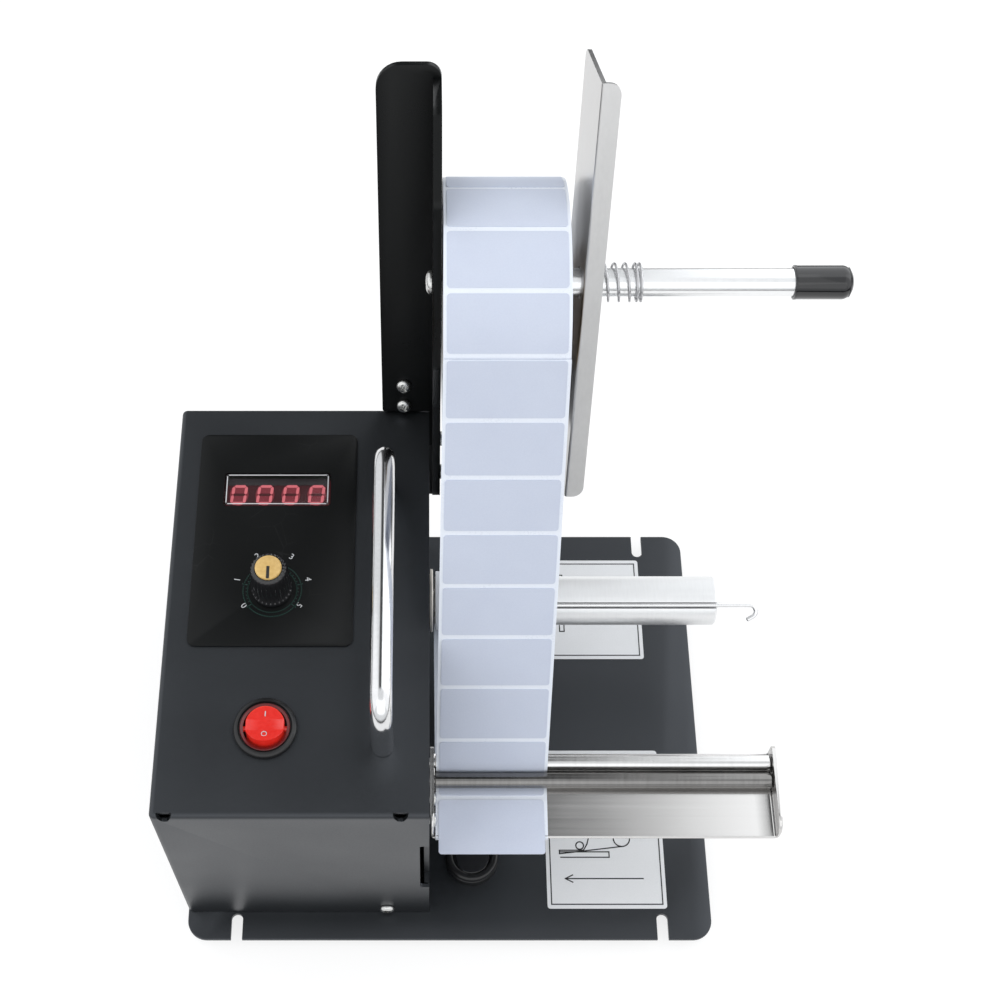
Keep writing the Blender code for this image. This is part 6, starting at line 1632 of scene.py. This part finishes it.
@dataclass
class Switch:
    """Round rocker switch with its bezel, collar and lit rocker."""

    seat: float = 0.1163
    rise: float = 0.0022
    bezel: float = 0.0115
    bezel_round: Point = (0.0018, 0.0016)
    barrel: float = 0.010
    well: float = 0.0086
    well_floor: float = 0.1083
    depth: float = 0.017
    collar_low: float = 0.1173
    collar_bore: float = 0.0079
    terminals: int = 3
    terminal_pitch: float = 0.0045
    terminal_half: float = 0.0024
    terminal_thick: float = 0.0008
    terminal_length: float = 0.008
    pivot_z: float = 0.116
    pin: float = 0.0010
    pin_reach: float = 0.0081
    rocker: float = 0.0072
    rocker_half: float = 0.0069
    rocker_rise: float = 0.0042
    dip: float = 0.0012
    dip_power: float = 1.7
    tilt: float = -9.0
    bar: Point = (0.00018, 0.0010)
    bar_y: float = 0.0042
    ring: Point = (0.00080, 0.00105)
    ring_y: float = -0.0040
    mark_sink: float = 0.0002

    def build(self) -> None:
        """Build the body, the collar, the rocker and its marks."""
        place, (x, middle), seat = spot(*SWITCH, 0), SWITCH, self.seat
        top = seat + self.rise
        bottom = top - self.depth
        profile = [(bottom, 0), (bottom, self.barrel - 0.0005), (bottom + 0.0005, self.barrel)]
        profile += [(seat, self.barrel), (seat, self.bezel - 0.0001), (seat + 0.0003, self.bezel)]
        wide, high = self.bezel_round
        for turn in quarter(6)[1:]:
            profile.append((top - high + high * math.sin(turn), self.bezel - wide * (1 - math.cos(turn))))
        profile += [(top - 0.0008, 0.0094), (top - 0.0009, self.well), (self.well_floor, self.well)]
        body = Shape().lathe([*profile, (self.well_floor, 0)], place, 96)
        for index in range(self.terminals):
            y = middle + self.terminal_pitch * (index - (self.terminals - 1) / 2)
            low = (x - self.terminal_half, y, bottom - self.terminal_length)
            high = (x + self.terminal_half, y + self.terminal_thick, bottom + 0.0004)
            body.box(low, high, HOME, 0.0002)
        pivot, reach = axle(middle, self.pivot_z, x), self.pin_reach + GAP
        mesh = carve(body, Shape().bore(pivot, -reach, reach, self.pin + GAP))
        dress("switch_shell", mesh, PLASTIC, "black_plastic", "switch_body")
        low, bore, wide = self.collar_low, self.collar_bore, self.well - 0.0001
        ring = [(low, bore), (low, wide), (top - 0.0007, wide), (top - 0.0007, wide + 0.0005)]
        ring += [(top - 0.0003, wide + 0.0005), (top - 0.0001, wide + 0.0003), (top - 0.0004, bore)]
        collar = Shape().lathe(ring, place, 96, closed=True)
        dress("switch_collar", collar, RED_COLLAR, "red_lens")
        self.build_rocker(pivot)

    def build_rocker(self, pivot: Matrix) -> None:
        """Build the rocker with its concave face, and print its marks.

        Args:
            pivot: where its pin's axis stands.
        """
        tilted = Matrix.Translation(pivot.translation) @ Matrix.Rotation(math.radians(self.tilt), 4, "X")
        reach = self.rocker
        side = [tuple(point) for point in arc(Vector((0, 0)), reach, math.pi, 2 * math.pi, 24)]
        crown = [(reach * (1 - step / 8), self.face(reach * (1 - step / 8))) for step in range(17)]
        block = Shape().prism(side + crown, -self.rocker_half, self.rocker_half, tilted @ TO_X, 0.0003)
        mesh = carve(block, Shape().bore(tilted, -0.02, 0.02, reach - 0.0001, 96), "INTERSECT")
        mesh = carve(mesh, Shape().bore(pivot, -self.pin_reach, self.pin_reach, self.pin), "UNION")
        piece = dress("rocker_lens", mesh, RED_LENS, "red_lens", "switch_rocker", body="rocker")
        soften(piece, 0.0003, 2)
        (half, length), y = self.bar, self.bar_y
        marks = Shape().prism(rectangle(-half, y - length, half, y + length), self.face(y) - self.mark_sink,
                              self.face(y + length) + INK_RISE, tilted)
        face = self.face(self.ring_y)
        ring = ring_profile(face - self.mark_sink, face + 0.00022, *self.ring, 0.00005)
        marks.lathe(ring, tilted @ Matrix.Translation((0, self.ring_y, 0)), 32, closed=True)
        dress("rocker_marks", marks, INK, "red_lens", body="rocker")

    def face(self, y: float) -> float:
        """Return the height of the rocker's face at a distance from its pivot."""
        return self.rocker_rise - self.dip * (1 - (abs(y) / self.rocker) ** self.dip_power)


@dataclass
class Handle:
    """Bent rod handle that stands on the housing's top."""

    bottom: float = 0.1163
    top: float = 0.148
    radius: float = 0.004
    bend: float = 0.010
    foot: float = 0.006
    bore: float = 0.012

    def build(self) -> None:
        """Build the rod; its screws keep their CAD shape."""
        (x, front), (_, rear) = HANDLE_FEET
        low, high, level = front + self.bend, rear - self.bend, self.top - self.bend
        line = [Vector((front, self.bottom)), Vector((front, self.bottom + self.foot))]
        line += arc(Vector((low, level)), self.bend, math.pi, QUARTER, 16)
        line += arc(Vector((high, level)), self.bend, QUARTER, 0, 16)
        line += [Vector((rear, self.bottom + self.foot)), Vector((rear, self.bottom))]
        rod = Shape().tube([at(x, *point) for point in line], self.radius, 40)
        bores = Shape()
        low, high = self.bottom - CUT_OVERRUN, self.bottom + self.bore
        for foot in HANDLE_FEET:
            bores.prism(circle(HANDLE_SCREW_HOLE, 24, foot), low, high, HOME)
        dress("handle_rod", carve(rod, bores), CHROME, "chrome", "carry_handle", angle=50)
        keep(ZINC, "handle_screw_front", "handle_screw_rear")


@dataclass
class Arm:
    """Folded roll arm with its screws."""

    thick: float = 0.003
    inner: float = 0.0012
    outer: float = 0.0042
    rim: float = 0.0003
    flange_left: float = -0.0185
    flange_foot: float = -0.0056
    top: float = 0.1422
    shoulder: float = 0.005
    foot: float = -0.0335
    waist: float = -0.022
    front: float = -0.041
    bulge: Point = (0.014, 0.045, 0.112)
    corner: float = 0.006
    spacer: Point = (-0.0217, -0.0332, 0.0027, -0.0053)
    spacer_thick: float = 0.0017
    flange_screw: float = 0.0060
    wall_screw: float = 0.0070

    def build(self) -> None:
        """Build the folded sheet, its spacing plate and its four screws."""
        corners = rectangle(self.flange_left, self.flange_foot, self.outer, self.top)
        corners = rounded(corners, [0.001, 0, 0.005, 0.009])
        flange = Shape().prism(corners, 0, self.thick, arm_frame() @ TO_Y, self.rim)
        shoulder, (low, middle, high) = self.top - self.shoulder, self.bulge
        side = [(self.thick, self.foot), (self.thick, shoulder), (self.waist, shoulder), (self.front, high)]
        side += [(self.front, middle), (self.waist, low), (self.waist, self.foot)]
        round_off = self.corner
        outline = rounded(side, [round_off, 0.0005] + [round_off] * 5)
        web = Shape().prism(outline[::-1], self.inner, self.outer, arm_frame() @ TO_X, self.rim)
        plate = rounded(rectangle(*self.spacer), [round_off, round_off, 0, 0])
        spacer = Shape().prism(plate, 0, self.spacer_thick, arm_frame() @ TO_X)
        holes = Shape()
        for seat in ARM_SEATS:
            holes.bore(axle(*seat), -0.01, 0.01, SCREW_HOLE, 32)
        for up in ARM_SCREW_UPS:
            place = arm_frame() @ Matrix.Translation((ARM_SCREW_X, 0, up)) @ Matrix.Rotation(QUARTER, 4, "X")
            holes.bore(place, -0.01, 0.01, SCREW_HOLE, 32)
        mesh = carve(carve(carve(flange, web, "UNION"), spacer, "UNION"), holes)
        piece = dress("arm_sheet", mesh, ARM_PAINT, "black_paint", "roll_arm")
        soften(piece, 0.0004, 2)
        forward = arm_frame().to_3x3() @ Vector((0, -1, 0))
        for name, up in zip(("arm_screw_upper", "arm_screw_lower"), ARM_SCREW_UPS):
            seat = arm_frame() @ Vector((ARM_SCREW_X, 0, up))
            PAN_SCREW.fit(f"{name}_pan", seat, forward, self.flange_screw, ZINC, name)
        for name, seat in zip(("arm_wall_screw_upper", "arm_wall_screw_lower"), ARM_SEATS):
            PAN_SCREW.fit(f"{name}_pan", at(self.outer, *seat), (1, 0, 0), self.wall_screw, ZINC, name)


@dataclass
class Reel:
    """Shaft that carries the roll, with its cap, washer, spring and baffle."""

    start: float = 0.0045
    radius: float = 0.005
    edge: float = 0.0005
    screw_bore: Point = (0.0022, 0.0185)
    screw_seat: float = 0.0012
    screw_length: float = 0.014
    cap_start: float = 0.1275
    cap_end: float = 0.1486
    cap_radius: float = 0.0061
    cap_bore: float = 0.0053
    cap_floor: float = 0.0016
    cap_dome: float = 0.0042
    washer: Point = (0.0053, 0.0072)
    baffle_x: float = 0.0526
    baffle_thick: float = 0.0015
    baffle_up: float = 0.0748
    baffle_down: float = 0.0827
    baffle_flange: float = 0.0067
    baffle_bend: float = 0.0009
    baffle_corner: float = 0.004
    baffle_front: float = -0.010
    baffle_rear: float = 0.029
    baffle_bore: float = 0.0056
    baffle_turns: tuple[tuple[float, str], ...] = ((-28.0, "X"), (1.9, "Y"), (3.0, "Z"))
    wire: float = 0.00045
    coil: float = 0.0066
    spring_end: float = 0.0752
    open_turns: int = 4
    closed_turns: int = 2
    closed_pitch: float = 0.0015
    turn_steps: int = 36
    travel: float = 0.010

    def build(self) -> None:
        """Build the shaft and all that slides on it."""
        place = axle(*REEL)
        start, radius, edge = self.start, self.radius, self.edge
        end = self.cap_end - self.cap_floor - GAP
        profile = [(start, 0), (start, radius - edge), (start + edge, radius)]
        profile += [(end - edge, radius), (end, radius - edge), (end, 0)]
        bore, depth = self.screw_bore
        mesh = carve(Shape().lathe(profile, place), Shape().bore(place, 0, depth, bore))
        dress("reel_rod", mesh, REEL_STEEL, "chrome", "reel_shaft")
        seat = at(self.screw_seat, *REEL)
        BIG_SCREW.fit("shaft_screw_pan", seat, (-1, 0, 0), self.screw_length, ZINC, "shaft_screw")
        self.cap(place)
        low, high = (corner.x - DESIGN_ZERO.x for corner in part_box("baffle_washer"))
        ring = Shape().lathe(ring_profile(low, high, *self.washer, 0.00015), place, closed=True)
        dress("washer_ring", ring, ZINC, "zinc_steel", "baffle_washer", body="spring_washer")
        self.spring(high + GAP + self.wire)
        self.baffle()

    def cap(self, place: Matrix) -> None:
        """Build the soft end cap with its rolled lip."""
        start, radius, floor = self.cap_start, self.cap_radius, self.cap_end - self.cap_floor
        profile = [(floor, 0), (floor, self.cap_bore), (start, self.cap_bore), (start, radius - 0.0003)]
        profile += [(start + 0.0002, radius), (start + 0.0008, radius), (start + 0.0011, radius - 0.0001)]
        dome, high = self.cap_end - self.cap_dome, self.cap_dome
        for turn in quarter(13)[:-1]:
            profile.append((dome + high * math.sin(turn), (radius - 0.0001) * math.cos(turn) ** 0.8))
        cap = Shape().lathe([*profile, (self.cap_end, 0)], place)
        dress("end_cap", cap, VINYL, "gloss_black", "shaft_cap")

    def spring(self, start: float) -> None:
        """Wind the spring: open turns, then closed turns that grip the shaft.

        Args:
            start: X of its first turn.
        """
        y, z = REEL
        rise = self.spring_end - self.wire - start - self.closed_turns * self.closed_pitch
        points = []
        for step in range((self.open_turns + self.closed_turns) * self.turn_steps + 1):
            turn = step / self.turn_steps
            along = rise * min(turn / self.open_turns, 1) + self.closed_pitch * max(turn - self.open_turns, 0)
            angle = 2 * math.pi * turn
            points.append(at(start + along, y + self.coil * math.cos(angle), z + self.coil * math.sin(angle)))
        coil = Shape().tube(points, self.wire, 10, 0.0002)
        wire = dress("spring_wire", coil, SPRING_STEEL, "chrome", "baffle_spring", angle=60)
        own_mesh(wire)

    def baffle(self) -> None:
        """Fold the baffle's sheet, with a real bend, and pierce it for the shaft."""
        place = spot(self.baffle_x, *REEL)
        for angle, axis in self.baffle_turns:
            place = place @ Matrix.Rotation(math.radians(angle), 4, axis)
        front, rear, bend, corner = self.baffle_front, self.baffle_rear, self.baffle_bend, self.baffle_corner
        marks = [corner * (1 - math.cos(turn)) for turn in quarter(CORNER_STEPS)]
        line = [Vector((0, rear - mark)) for mark in marks]
        line += arc(Vector((bend, front + bend)), bend, math.pi, math.pi + QUARTER, 8)
        line += [Vector((self.baffle_flange - mark, front)) for mark in reversed(marks)]
        track = Track(line)
        rings = []
        for index, point in enumerate(line):
            far = point + left_of(heading(line, index)) * self.baffle_thick
            inset = corner_inset(corner, min(track.marks[index], track.length - track.marks[index]))
            low, high = -self.baffle_down + inset, self.baffle_up - inset
            edges = ((point, low), (far, low), (far, high), (point, high))
            rings.append([place @ Vector((edge.x, edge.y, z)) for edge, z in edges])
        hole = Shape().bore(axle(*REEL, self.baffle_x), -0.02, 0.02, self.baffle_bore, 64)
        mesh = carve(Shape().skin(rings), hole)
        piece = dress("baffle_sheet", mesh, BAFFLE_STEEL, "satin_steel", "baffle_plate", body="baffle")
        soften(piece, 0.00015, 1)


@dataclass
class Stock:
    """The roll of labels: card core, wound web with its layered sides, labels on it."""

    left: float = LINER_LEFT
    right: float = LINER_LEFT + LINER_WIDTH
    bore: float = 0.020
    core: float = 0.023
    radius: float = 0.046
    turns: int = 26
    ripple: float = 0.0003
    outer_turn: float = 0.0002
    labels: int = 13
    phase: float = math.radians(119.3)
    loop_steps: int = 288

    def build(self) -> None:
        """Build the core, the wound web and its labels."""
        place, low, high = axle(*ROLL), self.left, self.right
        tube = Shape().lathe(ring_profile(low, high, self.bore, self.core, 0.0003), place, 96, closed=True)
        dress("core_tube", tube, CARD, "card", "roll_core", body="label_roll")
        wound = self.radius - LABEL_THICK
        profile = wound_profile(low, high, self.core + GAP, wound, self.turns, self.ripple)
        web = Shape().lathe(profile, place, self.loop_steps // 2, closed=True)
        dress("wound_web", web, WOUND_EDGE, "liner_paper", body="label_roll", angle=30)
        shell = ring_profile(low + 0.0001, high - 0.0001, wound - self.outer_turn, wound + 0.00003, 0.00001)
        liner = Shape().lathe(shell, place, self.loop_steps // 2, closed=True)
        dress("outer_turn", liner, LINER, "liner_paper", body="label_roll")
        loop = Track(arc(Vector(ROLL), wound, self.phase, self.phase + 2 * math.pi, self.loop_steps))
        pitch = loop.length / self.labels
        sides = (low + LABEL_MARGIN, high - LABEL_MARGIN)
        face = Shape()
        for index in range(self.labels):
            start = index * pitch + LABEL_GAP / 2
            label_pad(face, loop, (start, start + pitch - LABEL_GAP), (-0.0001, LABEL_THICK), sides)
        dress("roll_labels", face, LABEL, "label_paper", "label_roll", body="label_roll")


@dataclass
class Web:
    """Label web from the roll to the peel edge, the peeled label and the waste liner."""

    roll_radius: float = 0.0463
    guide_radius: float = 0.0033
    press_radius: float = 0.0039
    takeup_radius: float = 0.0124
    liner: float = 0.0003
    gaps: tuple[float, ...] = (0.0228, 0.0452, 0.0678, 0.0902, 0.1127, 0.1356, 0.1607)
    last_gap_y: float = 0.0397
    lead: float = math.radians(148.2)
    drift: float = 0.011
    edge_y: float = 0.02475
    path_z: float = 0.0561
    overhang_y: float = 0.0172
    peel_z: float = 0.05505
    peel_radius: float = 0.00105
    peel_start: float = QUARTER + 0.28
    waste_left: float = 0.0019
    waste_steps: int = 12

    def build(self) -> None:
        """Build the running liner, its labels, the peeled label and the waste."""
        track = self.line()
        run = track.between(0.0, track.length)
        path, lefts = [track.point(mark) for mark in run], [LINER_LEFT - self.drift * mark for mark in run]
        carrier = self.ribbon(path, lefts)
        dress("web_liner", carrier, LINER, "liner_paper", "label_web")
        pads, half = Shape(), LABEL_GAP / 2
        sides = (LINER_LEFT + LABEL_MARGIN, LINER_LEFT + LINER_WIDTH - LABEL_MARGIN)
        marks = [GAP - half, *self.gaps, track.length - (self.last_gap_y - self.edge_y)]
        for start, end in zip(marks, marks[1:]):
            heights = (self.liner * 0.7, self.liner + LABEL_THICK)
            label_pad(pads, track, (start + half, end - half), heights, sides, self.drift)
        dress("web_labels", pads, LABEL, "label_paper")
        first = track.point(marks[-1] + half)
        tip = Track([first, Vector((self.edge_y, self.path_z)), Vector((self.overhang_y, self.path_z))])
        free, inner = Shape(), self.liner + GAP
        shifted = tuple(side - self.drift * track.length for side in sides)
        label_pad(free, tip, (0, tip.length), (inner, inner + LABEL_THICK), shifted)
        dress("peeled_label", free, LABEL, "label_paper", "dispensed_label")
        self.waste(track.length)

    def ribbon(self, path: list[Vector], lefts: list[float]) -> Shape:
        """Return bare liner along a line in Y and Z, from the X of its left edge at each point."""
        return Shape().strip(path, 0, self.liner, lefts, [left + LINER_WIDTH for left in lefts])

    def line(self) -> Track:
        """Return the liner's line from the roll, round both rods, to the peel edge."""
        roll, guide, press = Vector(ROLL), Vector(GUIDE_ROD), Vector(PRESS_ROD)
        normal = tangent(roll, self.roll_radius, guide, self.guide_radius)
        start = math.atan2(normal.y, normal.x)
        path = arc(roll, self.roll_radius, self.lead, start, 4)
        path += arc(guide, self.guide_radius, start, math.pi, 12)
        path += arc(press, self.press_radius, 0, -QUARTER, 16)[1:]
        return Track([*path, Vector((self.edge_y, self.path_z))])

    def waste(self, run: float) -> None:
        """Build the bare liner round the peel edge and back under the take-up shaft.

        Args:
            run: length of the web before it.
        """
        peel, takeup = Vector((self.edge_y, self.peel_z)), Vector(TAKEUP)
        normal = tangent(peel, self.peel_radius, takeup, self.takeup_radius)
        end = math.atan2(normal.y, normal.x) % (2 * math.pi)
        path = arc(peel, self.peel_radius, self.peel_start, end, 12)
        near, far = path[-1], takeup + normal * self.takeup_radius
        path += [near.lerp(far, (step + 1) / self.waste_steps) for step in range(self.waste_steps)]
        track = Track(path)
        low = LINER_LEFT - self.drift * run
        lefts = [low + (self.waste_left - low) * mark / track.length for mark in track.marks]
        dress("waste_ribbon", self.ribbon(path, lefts), LINER, "liner_paper", "waste_liner")


@dataclass
class Platform:
    """Peel platform folded from sheet, with its two rods and its screws."""

    left: float = 0.0003
    right: float = 0.134
    front: float = 0.024
    rear: float = 0.058
    thick: float = 0.0015
    bottom: float = 0.0543
    cheek_top: float = 0.0657
    bend: float = 0.0024
    bend_steps: int = 8
    flat_margin: float = 0.006
    cheek_corner: float = 0.006
    cheek_steps: int = 10
    edge_steps: int = 8
    screw_length: float = 0.0050
    rod_radius: float = 0.003
    rod_edge: float = 0.0004
    spigot: float = 0.002
    spigot_edge: float = 0.0002

    def build(self) -> None:
        """Build the channel, the rods and the screws."""
        bend, steps, low = self.bend, self.bend_steps, self.bottom + self.bend
        line = self.cheek(self.left)
        line += arc(Vector((self.left + bend, low)), bend, math.pi, math.pi + QUARTER, steps)
        flat = bend + self.flat_margin
        line += [Vector((x, self.bottom)) for x in (self.left + flat, self.right - flat)]
        line += arc(Vector((self.right - bend, low)), bend, -QUARTER, 0, steps)
        line += reversed(self.cheek(self.right))
        rings = []
        for index, point in enumerate(line):
            inside = point + left_of(heading(line, index)) * self.thick
            near = self.cheek_top - point.y
            inset, back = corner_inset(self.cheek_corner, near), max(self.thick - near, 0)
            rings.append([at(*corner) for corner in self.section(point, inside, inset, back)])
        holes = Shape()
        bores = [(seat, SCREW_HOLE) for seat in PLATFORM_SEATS]
        bores += [(PRESS_ROD, ROD_HOLE), (GUIDE_ROD, ROD_HOLE)]
        for seat, radius in bores:
            holes.bore(axle(*seat), -0.004, 0.006, radius, 32)
        mesh = carve(Shape().skin(rings), holes)
        piece = dress("platform_sheet", mesh, PLATE_STEEL, "satin_steel", "peel_platform", angle=30)
        soften(piece, 0.0001, 1)
        # The press rod's darker steel is painted shade, not a different metal.
        self.rod("press_rod", PRESS_ROD, PRESS_ROD_PAINTED_SHADE)
        self.rod("guide_rod", GUIDE_ROD, ROD_STEEL)
        for name, seat in zip(("platform_screw_front", "platform_screw_rear"), PLATFORM_SEATS):
            head = at(self.left + self.thick, *seat)
            LOW_SCREW.fit(f"{name}_pan", head, (1, 0, 0), self.screw_length, ZINC, name)

    def cheek(self, x: float) -> list[Vector]:
        """Return the points down one cheek's outer face, close together at its top."""
        drops = [self.cheek_corner * (1 - math.cos(turn)) for turn in quarter(self.cheek_steps)]
        return [Vector((x, self.cheek_top - drop)) for drop in drops]

    def section(self, outside: Vector, inside: Vector, inset: float, back: float) -> list[Point]:
        """Return the sheet's cross-section from its rounded front edge to its rear."""
        middle, half = (outside + inside) / 2, (outside - inside) / 2
        points = []
        for step in range(self.edge_steps + 1):
            turn = math.pi * step / self.edge_steps
            reach = middle + half * math.cos(turn)
            points.append((reach.x, self.front + inset + self.thick / 2 * (1 - math.sin(turn)), reach.y))
        return points + [(point.x, self.rear - back, point.y) for point in (inside, outside)]

    def rod(self, name: str, seat: Point, finish: Finish) -> None:
        """Build one rod with its spigot."""
        low, high = self.left + self.thick + GAP, self.right - self.thick - GAP
        radius, edge, spigot, chamfer = self.rod_radius, self.rod_edge, self.spigot, self.spigot_edge
        profile = [(-spigot, 0), (-spigot, spigot - chamfer), (chamfer - spigot, spigot), (low, spigot)]
        profile += [(low, radius - edge), (low + edge, radius), (high - edge, radius)]
        bar = Shape().lathe([*profile, (high, radius - edge), (high, 0)], axle(*seat))
        dress(f"{name}_bar", bar, finish, "chrome", name)


@dataclass
class TakeUp:
    """Grooved take-up shaft with wound liner, clip, bearing and drive."""

    start: float = 0.0022
    end: float = 0.1173
    radius: float = 0.010
    edge: float = 0.0008
    collar: float = 0.0048
    journal: float = 0.004
    reach: float = 0.026
    centre_mark: float = 0.0012
    groove: float = 0.0013
    groove_start: float = 0.0057
    clip_angle: float = 38.0
    clip_wire: float = 0.001
    clip_start: float = 0.006
    clip_end: float = 0.1306
    hook: float = 0.0026
    hook_turn: float = math.radians(150)
    hook_tail: float = 0.0025
    wound_left: float = 0.0025
    wound_thick: float = 0.0018
    wound_turns: int = 6
    ripple: float = 0.0003
    bearing: float = 0.011
    bearing_depth: float = 0.008
    flange: float = 0.013
    flange_thick: float = 0.0015

    def build(self) -> None:
        """Build the shaft, the wound liner, the clip and the bearing."""
        self.shaft()
        left, inner = self.wound_left, self.radius + GAP
        profile = wound_profile(left, left + LINER_WIDTH, inner, inner + self.wound_thick,
                                self.wound_turns, self.ripple)
        wound = Shape().lathe(profile, axle(*TAKEUP), 96, closed=True)
        dress("spent_liner", wound, WOUND_LINER, "liner_paper", "wound_liner", body="takeup", angle=30)
        self.clip()
        self.bush()
        keep(ANODISED, "takeup_pulley", "motor_pulley")
        keep(ZINC, "bearing_collar", "gear_motor", "motor_bracket", "motor_shaft", "jack_nut", "sensor_nut")
        keep(RUBBER, "drive_belt")

    def bush(self) -> None:
        """Build the flanged bearing in the right wall."""
        low, high = self.flange_thick - self.bearing_depth, self.flange_thick
        body, wide = self.bearing, self.flange
        bore, edge = self.journal + GAP, 0.0003
        ring = [(low, bore), (low, body - edge), (low + edge, body), (GAP, body), (GAP, wide - edge / 2)]
        ring += [(GAP + edge / 2, wide), (high - edge, wide), (high, wide - edge), (high, bore + edge)]
        shape = Shape().lathe([*ring, (high - edge, bore)], axle(*TAKEUP), 72, closed=True)
        dress("bearing_bush", shape, BRONZE, "bronze", "takeup_bearing")

    def shaft(self) -> None:
        """Turn the shaft, with its groove for the clip."""
        start, end, edge, radius, journal = self.start, self.end, self.edge, self.radius, self.journal
        profile = [(-self.reach, 0), (-self.reach, journal - 0.0003), (-self.reach + 0.0003, journal)]
        profile += [(start - GAP, journal), (start - GAP, self.collar), (start, self.collar)]
        profile += [(start, radius - 0.0004), (start + 0.0004, radius), (end - edge, radius)]
        mark = self.centre_mark
        profile += [(end, radius - edge), (end, mark + 0.001), (end - mark + 0.0004, mark), (end - mark, 0)]
        radial, across = self.directions()
        floor, over = radius - 2 * self.groove, radius + CUT_OVERRUN
        outline = []
        for side, out in ((-1, floor), (1, floor), (1, over), (-1, over)):
            outline.append(tuple(Vector(TAKEUP) + radial * out + across * (side * self.groove)))
        groove = Shape().prism(outline, self.groove_start, end + CUT_OVERRUN, ALONG_X)
        mesh = carve(Shape().lathe(profile, axle(*TAKEUP), 96), groove)
        piece = dress("takeup_rod", mesh, ANODISED, "turned_aluminium", "takeup_shaft", body="takeup")
        soften(piece, 0.00015, 1)

    def directions(self) -> tuple[Vector, Vector]:
        """Return the groove's outward and sideways directions."""
        turn = math.radians(self.clip_angle)
        radial = Vector((-math.sin(turn), math.cos(turn)))
        return radial, -left_of(radial)

    def clip(self) -> None:
        """Bend the clip's wire: straight in the groove, a hook at its free end."""
        radial, across = self.directions()
        line = Vector(TAKEUP) + radial * (self.radius - self.clip_wire - GAP)
        hook, tail, last = self.hook, self.hook_tail, self.hook_turn
        straight = self.clip_end - self.clip_start
        points = [at(self.clip_start + straight * step / 6, *line) for step in range(6)]
        for turn in [last * step / 18 for step in range(19)]:
            down = line - across * (hook - hook * math.cos(turn))
            points.append(at(self.clip_end + hook * math.sin(turn), *down))
        down -= across * (math.sin(last) * tail)
        points.append(at(self.clip_end + hook * math.sin(last) + math.cos(last) * tail, *down))
        wire = Shape().tube(points, self.clip_wire, 20, 0.0003)
        dress("clip_wire", wire, CHROME, "chrome", "liner_clip", body="clip", angle=50)


@dataclass
class Sensor:
    """Round label sensor on the base plate."""

    place: Point = (0.0174, 0.0326)
    radius: float = 0.0107
    top: float = 0.0083
    rim: float = 0.0012
    lip: float = 0.0084
    groove: Point = (0.0048, 0.0056)
    groove_depth: float = 0.0003
    stem: Point = (0.0053, 0.0037)
    well_floor: float = 0.0054
    lens: float = 0.0076
    lens_low: float = 0.0057
    lens_top: float = 0.0073
    lens_dome: float = 0.0005

    def build(self) -> None:
        """Build the sensor's housing and its lens."""
        place, top, radius, rim = spot(*self.place, 0), self.top, self.radius, self.rim
        (depth, stem), (low, high), inner = self.stem, self.groove, self.radius - self.groove_depth
        profile = [(-depth, 0), (-depth, stem - 0.0002), (0.0002 - depth, stem), (GAP, stem)]
        profile += [(GAP, radius - 0.0002), (GAP + 0.0004, radius), (low, radius), (low + 0.0002, inner)]
        profile += [(high - 0.0002, inner), (high, radius), (top - rim, radius)]
        for turn in quarter(6)[1:]:
            profile.append((top - rim + rim * math.sin(turn), radius - rim * (1 - math.cos(turn))))
        well, floor = self.lens + GAP, self.well_floor
        profile += [(top, self.lip), (top - 0.0005, well), (floor, well), (floor, 0)]
        shell = Shape().lathe(profile, place, 96)
        dress("sensor_shell", shell, PLASTIC, "black_plastic", "label_sensor")
        dome, low, top = self.lens_dome, self.lens_low, self.lens_top
        profile = [(low, 0), (low, self.lens)]
        for turn in quarter(9)[:-1]:
            profile.append((top - dome + dome * math.sin(turn), self.lens * math.cos(turn) ** 0.5))
        window = Shape().lathe([*profile, (top, 0)], place, 72)
        dress("sensor_window", window, LENS_BLACK, "gloss_black", "sensor_lens")


@dataclass
class Inlet:
    """Round power inlet in the rear wall, with its contact pin and threaded barrel."""

    place: Point = (-0.075, HOUSING_REAR, 0.030)
    barrel: float = 0.0040
    barrel_end: float = 0.0158
    thread_end: float = 0.0140
    threads: int = 12
    pitch: float = 0.001
    thread_depth: float = 0.00025
    flange: float = 0.0055
    flange_thick: float = 0.0015
    socket: float = 0.0032
    socket_depth: float = 0.0100
    pin: float = 0.0011
    pin_end: float = 0.0012

    def build(self) -> None:
        """Build the inlet."""
        low, barrel, flange, thick = -self.barrel_end, self.barrel, self.flange, self.flange_thick
        profile = [(low, 0), (low, barrel - 0.0003), (low + 0.0003, barrel)]
        for step in range(self.threads):
            back = step * self.pitch - self.thread_end
            profile += [(back, barrel), (back + self.pitch / 2, barrel - self.thread_depth)]
        profile += [(-0.0018, barrel), (GAP, barrel), (GAP, flange - 0.0001), (GAP + 0.0002, flange)]
        profile += [(thick - 0.0003, flange), (thick, flange - 0.0003), (thick, self.socket + 0.0002)]
        floor, tip = thick - self.socket_depth, -self.pin_end
        profile += [(thick - 0.0002, self.socket), (floor, self.socket), (floor, self.pin)]
        profile += [(tip - 0.0008, self.pin), (tip, self.pin - 0.0005), (tip, 0)]
        shape = Shape().lathe(profile, aim(at(*self.place), (0, 1, 0)))
        dress("inlet_barrel", shape, PLASTIC, "black_plastic", "power_jack")


def main() -> None:
    """Build the whole machine."""
    logging.basicConfig(level=logging.INFO, format="%(message)s")
    parts = (Studio(), Base(), Housing(), Panel(), Dial(), Switch(), Handle(), Arm(), Reel(),
             Stock(), Web(), Platform(), TakeUp(), Sensor(), Inlet())
    for part in parts:
        log.info("building %s", type(part).__name__)
        part.build()


if __name__ == "__main__":
    main()
